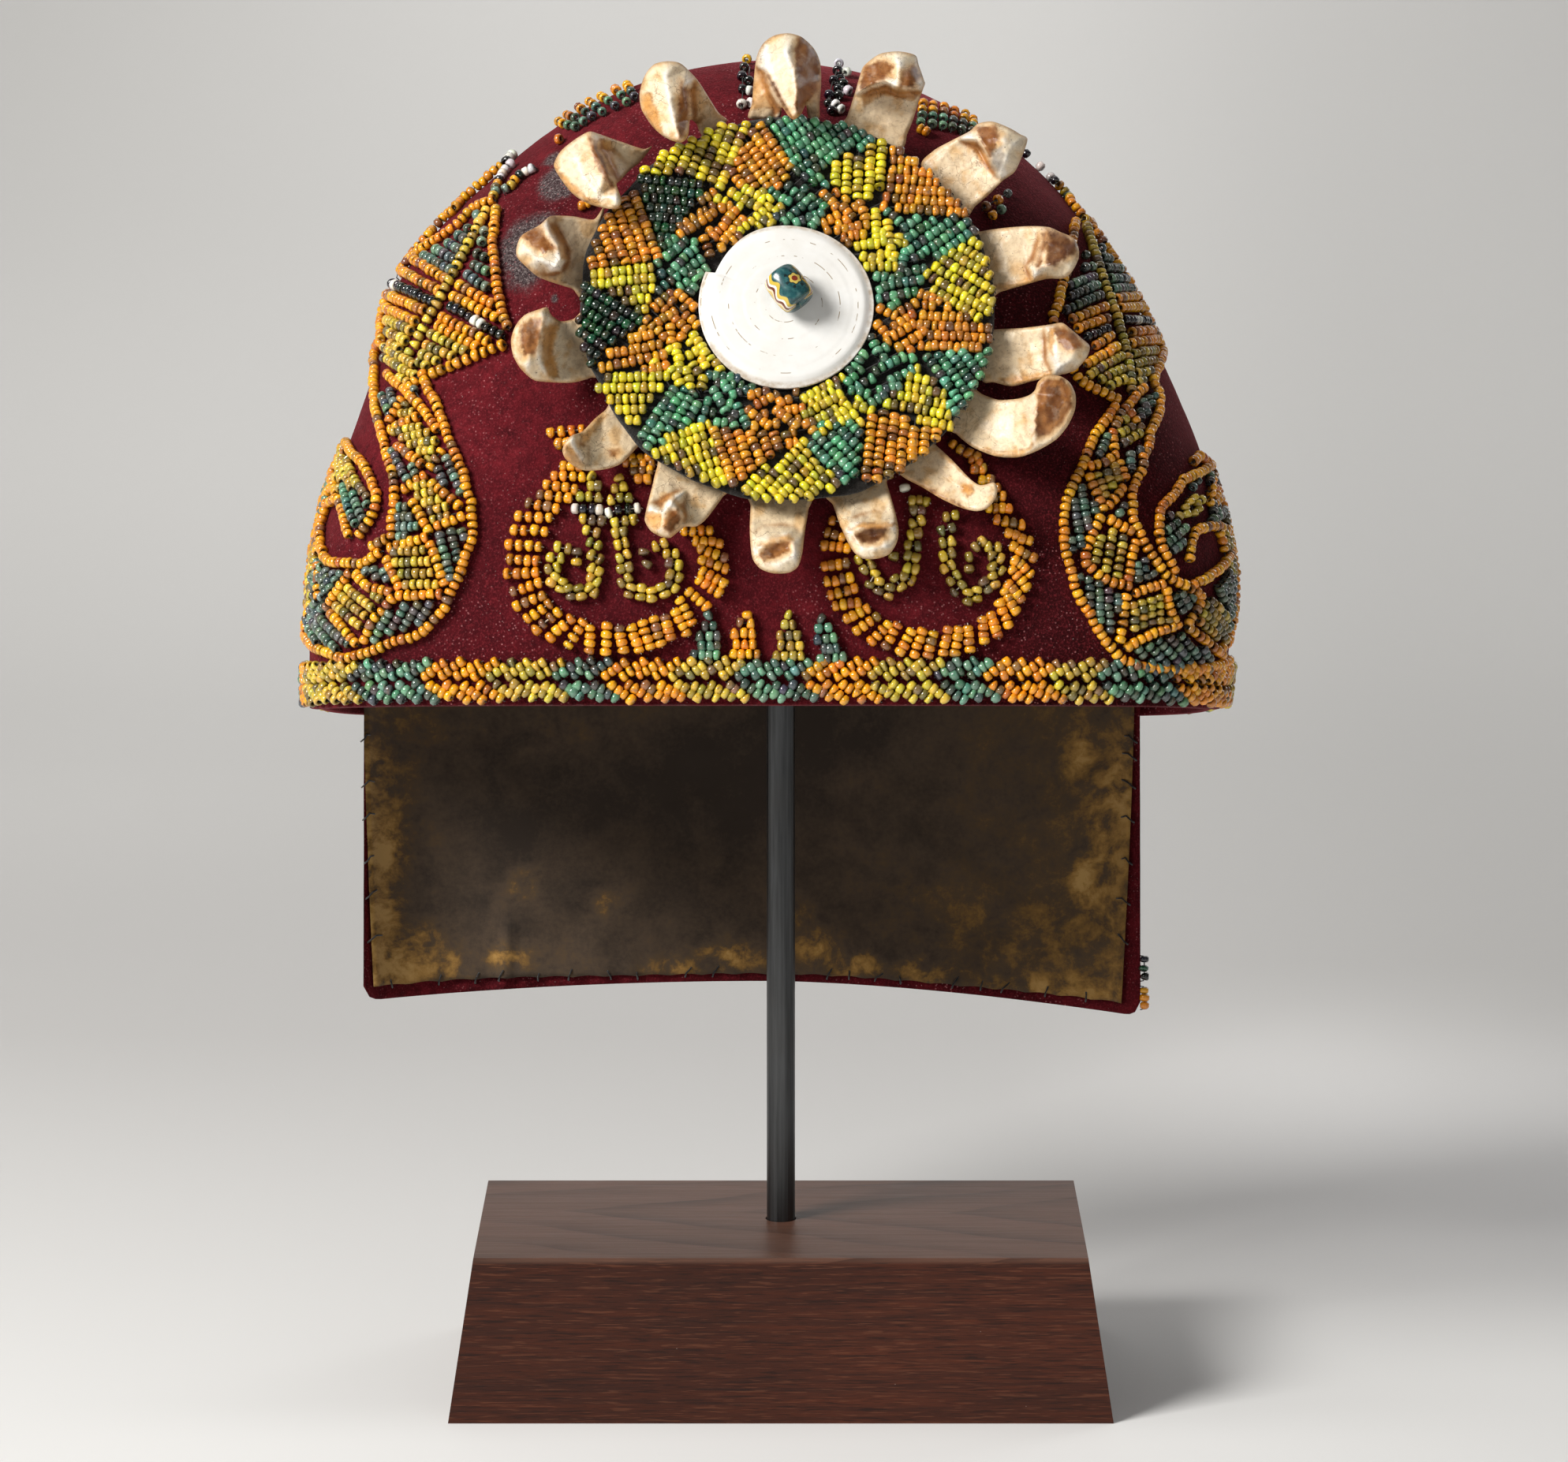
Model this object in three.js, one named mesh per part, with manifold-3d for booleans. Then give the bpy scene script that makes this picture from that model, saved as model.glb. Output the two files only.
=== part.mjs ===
// Beaded velvet headdress on a plain stand. Millimetres, +Z up, the front faces -Y,
// the origin is the middle of the base block's underside.
import * as THREE from 'three';
import { mergeVertices } from 'three/addons/utils/BufferGeometryUtils.js';
import Module from 'manifold-3d';

// ---------------------------------------------------------------- sizes
const GAP = 0.3;               // clearance between neighbouring pieces

// stand
const BASE_WIDTH = 146.5;      // of the underside
const BASE_DEPTH = 81.6;
const BASE_HEIGHT = 36;
const BASE_TAPER = 5.6;        // each side leans in by this much
const ROD_RADIUS = 3.175;
const SOCKET_DEPTH = 22;
const ROD_TOP = 256;           // where the rounded head begins
const HEAD_RADIUS = 10;
const HEAD_HEIGHT = 9;

// cap, drawn upright round its own axis and then tipped back
const CAP_CENTRE = new THREE.Vector3(-3.3, 0, 151.4);
const CAP_TILT = 11.5;         // degrees, front edge up
const WALL = 2.2;              // velvet, interlining and lining together
// sections of the crown: height, reach to each side, squareness of the plan
const CROWN = [
  { h: -1.8, left: 100.0, right: 99.5, front: 64.0, back: 64.0, power: 4.2 },
  { h: 14, left: 100.0, right: 101.5, front: 65.5, back: 65.5, power: 4.2 },
  { h: 30, left: 99.0, right: 102.0, front: 66.0, back: 66.0, power: 4.0 },
  { h: 47, left: 96.0, right: 99.0, front: 64.0, back: 65.0, power: 3.7 },
  { h: 62, left: 91.0, right: 94.0, front: 61.0, back: 62.5, power: 3.4 },
  { h: 78, left: 86.0, right: 87.5, front: 57.0, back: 58.5, power: 3.1 },
  { h: 93, left: 82.5, right: 80.5, front: 52.0, back: 53.5, power: 2.9 },
  { h: 106, left: 73.5, right: 72.5, front: 46.0, back: 47.5, power: 2.7 },
  { h: 118, left: 61.5, right: 63.0, front: 38.5, back: 40.0, power: 2.5 },
  { h: 128, left: 50.0, right: 52.0, front: 30.5, back: 32.0, power: 2.4 },
  { h: 136, left: 37.5, right: 39.0, front: 22.5, back: 23.5, power: 2.3 },
  { h: 142, left: 23.0, right: 24.0, front: 13.5, back: 14.0, power: 2.2 },
  { h: 145, left: 9.0, right: 9.0, front: 5.5, back: 5.5, power: 2.1 },
  { h: 145.6, left: 0, right: 0, front: 0, back: 0, power: 2.1 },
];
// soft hollows in the cloth: place on the wall (s round from the front middle, h up), size, depth
const HOLLOWS = [
  { s: -58, h: 28, spanS: 11, spanH: 16, depth: 0.9 },
  { s: 66, h: 62, spanS: 9, spanH: 14, depth: 0.8 },
  { s: -4, h: 18, spanS: 12, spanH: 9, depth: 0.6 },
  { s: -150, h: 60, spanS: 26, spanH: 20, depth: 1.6 },
  { s: 170, h: 48, spanS: 30, spanH: 18, depth: 1.8 },
  { s: 250, h: 70, spanS: 22, spanH: 24, depth: 1.4 },
];
const CROWN_COLUMNS = 56;

// neck flap, hanging on from the back wall
const FLAP_LEFT = -91.9;       // side edges, along the cap's width
const FLAP_RIGHT = 85.8;
const FLAP_TUCK = 7;           // sewn up inside the rim
const FLAP_LENGTH = 60;        // below the rim, at the middle
const FLAP_CORNER_DROP = 5;    // the corners hang lower
const FLAP_RIGHT_DROP = 2.5;
const FLAP_VELVET = 1.7;
const FLAP_LINING = 0.9;
const HEM = 2.6;               // velvet turned over the lining's edge
// soft folds of the flap: middle along the width, half width, depth at the foot
const FLAP_FOLDS = [
  { x: -62, half: 10, depth: 1.6 },
  { x: 20, half: 22, depth: -1.2 },
  { x: 66, half: 12, depth: 2.0 },
];

// beadwork
const BEAD_LIFT = 0.4;         // underside of the beadwork above the velvet
const BEAD_TOP = 2.6;          // top of the beadwork above the velvet
const BAND_LOW = 0.2;
const BAND_HIGH = 9.2;
const FLAP_BAND_HEIGHT = 9;
const FLAP_BAND_RISE = 1.5;

// rosette
const ROSETTE_CENTRE = new THREE.Vector3(1.2, -45.1, 246.3);
const ROSETTE_LEAN = 27.5;     // degrees its face looks up
const DISC_RADIUS = 44.6;
const DISC_THICKNESS = 3;
const PAD_RADIUS = 22;
const PAD_DEPTH = 4;
const PAVING_INNER = 18.7;
const PAVING_OUTER = 44.0;
const PAVING_THICKNESS = 2.2;
const SHELL_RADIUS = 18.1;
const SHELL_THICKNESS = 3.6;
const SHELL_HOLE = 1.1;
const BEAD_RADIUS = 3.7;
const BEAD_LENGTH = 7.6;
const BEAD_HOLE = 0.9;
const BEAD_TURN = -54;         // degrees, its axis in the plane of the shell

// teeth: clock angle where each leaves the disc and where it ends, reach from the
// rosette's middle, width, curl of the crown, length past the curl, width of the worn end
const TEETH = [
  { root: 0, end: 0, reach: 61.5, width: 14.0, curl: 122, crest: 13, tip: 4.5 },
  { root: 25.3, end: 24.0, reach: 62.0, width: 13.6, curl: 95, crest: 7, tip: 9.0 },
  { root: 52.3, end: 53.3, reach: 61.0, width: 14.2, curl: 75, crest: 6, tip: 10.0 },
  { root: 77.5, end: 80.4, reach: 62.0, width: 13.0, curl: 45, crest: 5, tip: 10.0 },
  { root: 104, end: 98.8, reach: 63.5, width: 12.0, curl: 48, crest: 6, tip: 9.5 },
  { root: 123, end: 112.5, reach: 63.0, width: 13.0, curl: 86, crest: 8, tip: 11.0 },
  { root: 143, end: 134.5, reach: 61.0, width: 11.5, curl: 48, crest: 5, tip: 5.0 },
  { root: 161, end: 161.2, reach: 60.0, width: 13.0, curl: 42, crest: 5, tip: 9.5 },
  { root: 182, end: 182, reach: 60.5, width: 12.6, curl: 42, crest: 5, tip: 9.5 },
  { root: 203.7, end: 206.5, reach: 59.5, width: 14.0, curl: 75, crest: 6, tip: 5.0 },
  { root: 229.5, end: 236.4, reach: 59.5, width: 12.5, curl: 52, crest: 5, tip: 5.0 },
  { root: 257, end: 262, reach: 61.0, width: 14.0, curl: 86, crest: 8, tip: 11.0 },
  { root: 282, end: 284, reach: 59.5, width: 13.6, curl: 80, crest: 7, tip: 6.0 },
  { root: 306, end: 307, reach: 61.0, width: 14.4, curl: 108, crest: 11, tip: 5.0 },
  { root: 333, end: 332.5, reach: 61.5, width: 14.0, curl: 115, crest: 12, tip: 4.5 },
];
const TOOTH_INSIDE = 38;       // radius where the roots begin, under the disc
const TOOTH_FLOOR = -5.0;      // level of the roots, from the disc's face
const TOOTH_BEND = 5.2;        // radius of the curl
const TOOTH_RISE = 0.1;        // climb of the scoop, per millimetre past the disc's edge
const TOOTH_HALF_THICKNESS = 1.6;

// outlines on the wall: s millimetres round from the front middle, h millimetres up
const LEFT_MOTIF = [
  { s: -62.6, h: 111.3 }, { s: -59.5, h: 97 }, { s: -55.5, h: 79.2 }, { s: -56.2, h: 76.6 },
  { s: -64, h: 74.5 }, { s: -73.5, h: 71.2 }, { s: -70.6, h: 62.5 }, { s: -66.1, h: 53.3 },
  { s: -63.2, h: 45 }, { s: -62.2, h: 38 }, { s: -63.2, h: 32.6 }, { s: -65.2, h: 26.4 },
  { s: -70.5, h: 17.6 }, { s: -75.9, h: 14.3 }, { s: -83.2, h: 11.8 }, { s: -91.6, h: 10.6 },
  { s: -103.5, h: 12.9 }, { s: -112, h: 18.5 }, { s: -118, h: 27 }, { s: -120, h: 38 },
  { s: -117, h: 48 }, { s: -110, h: 55 }, { s: -101, h: 56.5 }, { s: -92, h: 53 },
  { s: -86, h: 47.1 }, { s: -85, h: 42.2 }, { s: -88.6, h: 36.3 }, { s: -92.6, h: 36.6 },
  { s: -95.2, h: 41.3 }, { s: -99.8, h: 45.4 }, { s: -106.6, h: 44.8 }, { s: -109.5, h: 40 },
  { s: -105.4, h: 34 }, { s: -97.1, h: 31.5 }, { s: -89.6, h: 29.9 }, { s: -83.4, h: 32.3 },
  { s: -80.1, h: 38 }, { s: -80.5, h: 47 }, { s: -84, h: 55 }, { s: -88, h: 62 },
  { s: -91.7, h: 69.4 }, { s: -97.3, h: 76.4 }, { s: -99.5, h: 84 }, { s: -93.5, h: 96.5 },
  { s: -78, h: 105 },
];
const RIGHT_MOTIF = [
  { s: 76.8, h: 108.6 }, { s: 94.5, h: 97 }, { s: 99.5, h: 84 }, { s: 96, h: 77 },
  { s: 89.5, h: 70.4 }, { s: 91, h: 66 }, { s: 87.2, h: 60.3 }, { s: 82.9, h: 53.3 },
  { s: 79.6, h: 47.2 }, { s: 79, h: 41.7 }, { s: 80.6, h: 35.6 }, { s: 83.7, h: 31.1 },
  { s: 88, h: 27.4 }, { s: 88.6, h: 31.5 }, { s: 85.4, h: 36 }, { s: 85.6, h: 41 },
  { s: 89.4, h: 45.2 }, { s: 94.6, h: 49.4 }, { s: 103, h: 55.5 }, { s: 112, h: 54 },
  { s: 119, h: 46 }, { s: 121, h: 34 }, { s: 118, h: 23 }, { s: 110, h: 13 },
  { s: 98.5, h: 10.4 }, { s: 88.5, h: 10.0 }, { s: 79, h: 10.4 }, { s: 73.5, h: 12.2 },
  { s: 68.8, h: 19.5 }, { s: 65.6, h: 24.7 }, { s: 63.9, h: 32.4 }, { s: 63.5, h: 39 },
  { s: 65, h: 46 }, { s: 68, h: 52 }, { s: 70.5, h: 57 }, { s: 75.6, h: 65.6 },
  { s: 67.1, h: 70.2 }, { s: 62.6, h: 79.5 }, { s: 65.1, h: 90.9 }, { s: 71, h: 104 },
];
const RIGHT_EYE = { s: 101, h: 33, rs: 5.5, rh: 4.6 };
const OVALS = [
  { name: 'oval_ring_left', s: -31.9, h: 30.6, rs: 22.6, rh: 20.2, width: 6.2 },
  { name: 'oval_ring_right', s: 34.7, h: 31.0, rs: 23.6, rh: 20.4, width: 6.2 },
];
const HOOK_HALF_WIDTH = 2.2;
const HOOKS = {
  hook_left_outer: [
    { s: -36.4, h: 41 }, { s: -36.6, h: 35 }, { s: -37, h: 28.6 }, { s: -39.4, h: 24.8 },
    { s: -42.0, h: 25.0 }, { s: -43.8, h: 27.8 }, { s: -43.2, h: 31.2 },
  ],
  hook_left_inner: [
    { s: -31.0, h: 41 }, { s: -31.0, h: 35 }, { s: -30.4, h: 29.3 }, { s: -27.6, h: 25.2 },
    { s: -23.4, h: 24.2 }, { s: -20.0, h: 27.4 }, { s: -21.4, h: 31.6 },
  ],
  hook_right_inner: [
    { s: 32.0, h: 41 }, { s: 32.0, h: 35 }, { s: 31.2, h: 29.6 }, { s: 28.6, h: 26 },
    { s: 25.2, h: 26.2 }, { s: 23.2, h: 29.8 },
  ],
  hook_right_outer: [
    { s: 38.4, h: 41 }, { s: 38.4, h: 35 }, { s: 39.2, h: 28 }, { s: 41.6, h: 24.2 },
    { s: 45.6, h: 24.4 }, { s: 47.6, h: 28 }, { s: 46.4, h: 31.8 },
  ],
};
const SPIKES = [
  { name: 'spike_1', s: -11.4, top: 19.7 }, { name: 'spike_2', s: -4.2, top: 19.7 },
  { name: 'spike_3', s: 5.0, top: 19.7 }, { name: 'spike_4', s: 13.2, top: 18.9 },
];
const SPIKE_HALF_WIDTH = 3.2;
const CREST = {
  crest_left: {
    half: 3.4, path: [{ s: -49.4, h: 125.6 }, { s: -46.4, h: 129.6 }, { s: -41.4, h: 133 }, { s: -34.5, h: 135.6 }],
  },
  crest_right: {
    half: 3.4, path: [{ s: 33.4, h: 131 }, { s: 38.6, h: 131 }, { s: 43.4, h: 130 }, { s: 48.4, h: 128.4 }],
  },
};

// ---------------------------------------------------------------- looks
const look = (color, roughness, metalness = 0) =>
  new THREE.MeshStandardMaterial({ color, roughness, metalness });
const VELVET = look(0x5a1522, 0.92);
const LINING = look(0x57401f, 0.9);
const BLACK_CLOTH = look(0x1a1817, 0.95);
const AMBER = look(0xb5741a, 0.35);
const OLIVE = look(0x7d7c24, 0.38);
const GREEN = look(0x2c6149, 0.36);
const SHELL = look(0xefece6, 0.4);
const TEAL = look(0x44696a, 0.3);
const IVORY = look(0xd9c7a6, 0.45);
const WOOD = look(0x4a231a, 0.5);
const STEEL = look(0x45474a, 0.42, 0.85);

// ---------------------------------------------------------------- helpers
function bare(geometry) {
  geometry.deleteAttribute('normal');
  geometry.deleteAttribute('uv');
  return mergeVertices(geometry, 1e-4);
}

function named(name, geometry, material) {
  geometry.computeVertexNormals();
  const mesh = new THREE.Mesh(geometry, material);
  mesh.name = name;
  return mesh;
}

function fromTriangles(points, triangles) {
  const g = new THREE.BufferGeometry();
  g.setAttribute('position', new THREE.Float32BufferAttribute(points.flatMap((p) => [p.x, p.y, p.z]), 3));
  g.setIndex(triangles.flat());
  return g;
}

// rings of equal count joined in order, with a point (or the ring's own middle) closing each end
function loft(rings, startPole, endPole) {
  const count = rings[0].length;
  const points = rings.flat();
  const triangles = [];
  for (let r = 0; r + 1 < rings.length; r++) {
    for (let k = 0; k < count; k++) {
      const a = r * count + k;
      const b = r * count + ((k + 1) % count);
      triangles.push([a, b, b + count], [a, b + count, a + count]);
    }
  }
  const middle = (ring) => ring.reduce((m, p) => m.add(p), new THREE.Vector3()).divideScalar(ring.length);
  const first = points.push(startPole ?? middle(rings[0])) - 1;
  const last = points.push(endPole ?? middle(rings[rings.length - 1])) - 1;
  const top = (rings.length - 1) * count;
  for (let k = 0; k < count; k++) {
    const next = (k + 1) % count;
    triangles.push([first, next, k], [last, top + k, top + next]);
  }
  return fromTriangles(points, triangles);
}

// a slab between two faces given as functions of (u, v) in 0..1
function slab(face, nu, nv) {
  const points = [];
  const at = (i, j, side) => (side * (nv + 1) + j) * (nu + 1) + i;
  for (let side = 0; side < 2; side++) {
    for (let j = 0; j <= nv; j++) {
      for (let i = 0; i <= nu; i++) points.push(face(i / nu, j / nv, side));
    }
  }
  const triangles = [];
  const quad = (a, b, c, d) => triangles.push([a, b, c], [a, c, d]);
  for (let j = 0; j < nv; j++) {
    for (let i = 0; i < nu; i++) {
      quad(at(i, j, 1), at(i + 1, j, 1), at(i + 1, j + 1, 1), at(i, j + 1, 1));
      quad(at(i, j, 0), at(i, j + 1, 0), at(i + 1, j + 1, 0), at(i + 1, j, 0));
    }
  }
  for (let i = 0; i < nu; i++) {
    quad(at(i, 0, 0), at(i + 1, 0, 0), at(i + 1, 0, 1), at(i, 0, 1));
    quad(at(i, nv, 0), at(i, nv, 1), at(i + 1, nv, 1), at(i + 1, nv, 0));
  }
  for (let j = 0; j < nv; j++) {
    quad(at(0, j, 0), at(0, j, 1), at(0, j + 1, 1), at(0, j + 1, 0));
    quad(at(nu, j, 0), at(nu, j + 1, 0), at(nu, j + 1, 1), at(nu, j, 1));
  }
  return fromTriangles(points, triangles);
}

function turned(profile, segments) {
  const g = new THREE.LatheGeometry(profile.map(([r, z]) => new THREE.Vector2(r, z)), segments);
  g.rotateX(Math.PI / 2);
  return bare(g);
}

// ---------------------------------------------------------------- crown surface
const COLUMNS = ['h', 'left', 'right', 'front', 'back', 'power'];
function crownRow(t) {
  const last = CROWN.length - 1;
  const i = Math.min(Math.floor(t), last - 1);
  const f = t - i;
  const row = {};
  for (const c of COLUMNS) {
    const p1 = CROWN[i][c];
    const p2 = CROWN[i + 1][c];
    const p0 = i > 0 ? CROWN[i - 1][c] : 2 * p1 - p2;
    let p3 = i + 2 <= last ? CROWN[i + 2][c] : 2 * p2 - p1;
    if (i + 2 > last && c === 'h') p3 = p1;
    const m1 = (p2 - p0) / 2;
    const m2 = (p3 - p1) / 2;
    row[c] = (2 * f ** 3 - 3 * f ** 2 + 1) * p1 + (f ** 3 - 2 * f ** 2 + f) * m1
      + (3 * f ** 2 - 2 * f ** 3) * p2 + (f ** 3 - f ** 2) * m2;
  }
  return row;
}

function rowParameter(h) {
  let low = 0;
  let high = CROWN.length - 1;
  for (let k = 0; k < 40; k++) {
    const mid = (low + high) / 2;
    if (crownRow(mid).h < h) low = mid; else high = mid;
  }
  return (low + high) / 2;
}

const OUTLINE_STEPS = 256;
const outlines = new Map();
function outline(t) {
  const key = Math.round(t * 1e6);
  if (outlines.has(key)) return outlines.get(key);
  const row = crownRow(t);
  const points = [];
  for (let k = 0; k <= OUTLINE_STEPS; k++) {
    const a = (k / OUTLINE_STEPS) * 2 * Math.PI;
    const bend = (v) => Math.sign(v) * Math.abs(v) ** (2 / row.power);
    const x = bend(Math.sin(a));
    const y = bend(-Math.cos(a));
    points.push(new THREE.Vector2(x * (x > 0 ? row.right : row.left), y * (y > 0 ? row.back : row.front)));
  }
  const run = [0];
  for (let k = 1; k <= OUTLINE_STEPS; k++) run.push(run[k - 1] + points[k].distanceTo(points[k - 1]));
  const found = { h: row.h, points, run, length: run[OUTLINE_STEPS] };
  outlines.set(key, found);
  return found;
}

function onOutline(t, s) {
  const o = outline(t);
  if (o.length < 1e-6) return new THREE.Vector3(0, 0, o.h);
  const d = ((s % o.length) + o.length) % o.length;
  let low = 0;
  let high = OUTLINE_STEPS;
  while (high - low > 1) {
    const mid = (low + high) >> 1;
    if (o.run[mid] <= d) low = mid; else high = mid;
  }
  const f = (d - o.run[low]) / Math.max(o.run[high] - o.run[low], 1e-9);
  const p = o.points[low].clone().lerp(o.points[high], f);
  let sink = 0;
  for (const q of HOLLOWS) {
    const raw = Math.abs(d - ((q.s % o.length) + o.length) % o.length);
    const ds = Math.min(raw, o.length - raw) / q.spanS;
    const dh = (o.h - q.h) / q.spanH;
    sink += q.depth * Math.exp(-ds * ds - dh * dh);
  }
  p.multiplyScalar(1 - sink / Math.max(p.length(), 1));
  return new THREE.Vector3(p.x, p.y, o.h);
}

const onWallCache = new Map();
// the crown's outer face at s round and h up, raised by lift
function onWall(s, h, lift = 0) {
  const step = 0.6;
  const here = (ds, dh) => {
    const hh = Math.min(h + dh, CROWN[CROWN.length - 1].h - 0.05);
    const key = Math.round(hh * 1e5);
    if (!onWallCache.has(key)) onWallCache.set(key, rowParameter(hh));
    return onOutline(onWallCache.get(key), s + ds);
  };
  const p = here(0, 0);
  if (lift === 0) return p;
  const across = here(step, 0).sub(here(-step, 0));
  const along = here(0, step).sub(here(0, -step));
  return p.addScaledVector(across.cross(along).normalize(), lift);
}

// ---------------------------------------------------------------- beadwork patches
function splitLong(points, triangles, longest) {
  for (let pass = 0; pass < 8; pass++) {
    const middles = new Map();
    const half = (a, b) => {
      if (Math.hypot(points[a].x - points[b].x, points[a].y - points[b].y) <= longest) return -1;
      const key = Math.min(a, b) * 1e6 + Math.max(a, b);
      if (!middles.has(key)) middles.set(key, points.push(points[a].clone().lerp(points[b], 0.5)) - 1);
      return middles.get(key);
    };
    const next = [];
    for (const [a, b, c] of triangles) {
      const m = [half(a, b), half(b, c), half(c, a)];
      const cut = m.filter((v) => v >= 0).length;
      if (cut === 0) next.push([a, b, c]);
      else if (cut === 3) next.push([a, m[0], m[2]], [m[0], b, m[1]], [m[2], m[1], c], [m[0], m[1], m[2]]);
      else {
        // turn the corners so that the first edge is cut (and the last is whole where two are cut)
        let v = [a, b, c];
        let e = m;
        while (!(e[0] >= 0 && (cut === 1 || e[2] < 0))) {
          v = [v[1], v[2], v[0]];
          e = [e[1], e[2], e[0]];
        }
        if (cut === 1) next.push([v[0], e[0], v[2]], [e[0], v[1], v[2]]);
        else next.push([e[0], v[1], e[1]], [v[0], e[0], e[1]], [v[0], e[1], v[2]]);
      }
    }
    triangles = next;
    if (middles.size === 0) break;
  }
  return triangles;
}

// a flat outline in (s, h) laid on the crown as a thin paved layer
function patch(shape, longest = 9) {
  const flat = bare(new THREE.ExtrudeGeometry(shape, { depth: 1, bevelEnabled: false, steps: 1, curveSegments: 10 }));
  const at = flat.getAttribute('position');
  const points = [];
  for (let i = 0; i < at.count; i++) points.push(new THREE.Vector3(at.getX(i), at.getY(i), at.getZ(i)));
  const ix = flat.getIndex().array;
  let triangles = [];
  for (let i = 0; i < ix.length; i += 3) triangles.push([ix[i], ix[i + 1], ix[i + 2]]);
  triangles = splitLong(points, triangles, longest);
  return fromTriangles(points.map((p) => onWall(p.x, p.y, p.z < 0.5 ? BEAD_LIFT : BEAD_TOP)), triangles);
}

const ring = (rows) => rows.map((r) => new THREE.Vector2(r.s, r.h));

// a stroke of even width along a smooth path, as a flat outline
function stroke(path, half, steps) {
  const curve = new THREE.SplineCurve(ring(path));
  const left = [];
  const right = [];
  for (let k = 0; k <= steps; k++) {
    const p = curve.getPoint(k / steps);
    const d = curve.getTangent(k / steps);
    left.push(new THREE.Vector2(p.x - d.y * half, p.y + d.x * half));
    right.push(new THREE.Vector2(p.x + d.y * half, p.y - d.x * half));
  }
  return new THREE.Shape([...right, ...left.reverse()]);
}

// ---------------------------------------------------------------- the cap's pieces
const cap = new THREE.Group();
cap.name = 'cap';
cap.position.copy(CAP_CENTRE);
cap.rotation.x = -THREE.MathUtils.degToRad(CAP_TILT);

{ // crown: rings from the outer top down to the rim and up inside
  const outer = [];
  const inner = [];
  for (let t = CROWN.length - 2; t >= 0; t--) {
    const o = outline(t);
    const rowOut = [];
    const rowIn = [];
    for (let k = 0; k < CROWN_COLUMNS; k++) {
      const s = (k / CROWN_COLUMNS) * o.length;
      rowOut.push(onWall(s, o.h, 0));
      const inside = onWall(s, Math.max(o.h, CROWN[0].h + 0.7), -WALL);
      if (t === 0) inside.z = o.h;
      rowIn.push(inside);
    }
    outer.push(rowOut);
    inner.unshift(rowIn);
  }
  const top = CROWN[CROWN.length - 1].h;
  const g = loft([...outer, ...inner].map((r) => r.slice().reverse()),
    new THREE.Vector3(0, 0, top), new THREE.Vector3(0, 0, top - WALL));
  cap.add(named('crown', g, VELVET));
}

{ // rim band: a closed ring of beadwork
  const rows = [
    { h: BAND_LOW, lift: BEAD_LIFT }, { h: BAND_LOW, lift: BEAD_TOP },
    { h: BAND_HIGH, lift: BEAD_TOP }, { h: BAND_HIGH, lift: BEAD_LIFT },
  ];
  const columns = CROWN_COLUMNS + 16;
  const points = [];
  const triangles = [];
  for (let k = 0; k < columns; k++) {
    for (const r of rows) points.push(onWall((k / columns) * outline(rowParameter(r.h)).length, r.h, r.lift));
  }
  for (let k = 0; k < columns; k++) {
    for (let j = 0; j < 4; j++) {
      const a = k * 4 + j;
      const b = k * 4 + ((j + 1) % 4);
      const c = ((k + 1) % columns) * 4 + ((j + 1) % 4);
      const d = ((k + 1) % columns) * 4 + j;
      triangles.push([a, d, c], [a, c, b]);
    }
  }
  cap.add(named('rim_band', fromTriangles(points, triangles), AMBER));
}

// neck flap: the back wall's section carried straight down
const flapDrop = (x) => {
  const f = x / Math.max(-FLAP_LEFT, FLAP_RIGHT);
  return FLAP_LENGTH + FLAP_CORNER_DROP * f * f + (x > 0 ? FLAP_RIGHT_DROP * f * f : 0);
};
function flapPoint(x, h, inset) {
  const rim = CROWN[0];
  const reach = x > 0 ? rim.right : rim.left;
  const y = (rim.back - inset) * (1 - Math.abs(x / (reach - inset)) ** rim.power) ** (1 / rim.power);
  const low = THREE.MathUtils.clamp(-h / FLAP_LENGTH, 0, 1);
  let fold = 0;
  for (const q of FLAP_FOLDS) fold += q.depth * Math.exp(-(((x - q.x) / q.half) ** 2));
  return new THREE.Vector3(x, y - fold * low * low, h);
}
// shared stations along the flap's width, from right to left, so that its layers run parallel
const FLAP_STEPS = 20;
const FLAP_STATIONS = [FLAP_RIGHT];
for (let k = 0; k <= FLAP_STEPS; k++) {
  FLAP_STATIONS.push(THREE.MathUtils.lerp(FLAP_RIGHT - HEM, FLAP_LEFT + HEM, k / FLAP_STEPS));
}
FLAP_STATIONS.push(FLAP_LEFT);
function flapLayer(nearInset, farInset, stations, footInset, tuck, rows) {
  const columns = stations.length - 1;
  return slab((u, v, side) => {
    const x = stations[Math.round(u * columns)];
    const h = THREE.MathUtils.lerp(-flapDrop(x) + footInset, tuck, v);
    return flapPoint(x, h, side ? farInset : nearInset);
  }, columns, rows);
}
const FLAP_INSET = WALL + GAP + 0.7;
cap.add(named('neck_flap', flapLayer(FLAP_INSET + FLAP_VELVET, FLAP_INSET, FLAP_STATIONS, 0, FLAP_TUCK, 7), VELVET));
cap.add(named('flap_lining', flapLayer(FLAP_INSET + FLAP_VELVET + GAP + FLAP_LINING,
  FLAP_INSET + FLAP_VELVET + GAP, FLAP_STATIONS.slice(1, -1), HEM, FLAP_TUCK, 7), LINING));
{
  const stations = FLAP_STATIONS.slice(1, -1);
  const band = slab((u, v, side) => {
    const x = stations[Math.round(u * FLAP_STEPS)];
    const h = -flapDrop(x) + FLAP_BAND_RISE + FLAP_BAND_HEIGHT * v;
    return flapPoint(x, h, FLAP_INSET - (side ? BEAD_TOP : BEAD_LIFT));
  }, FLAP_STEPS, 1);
  cap.add(named('flap_band', band, AMBER));
}

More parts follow.
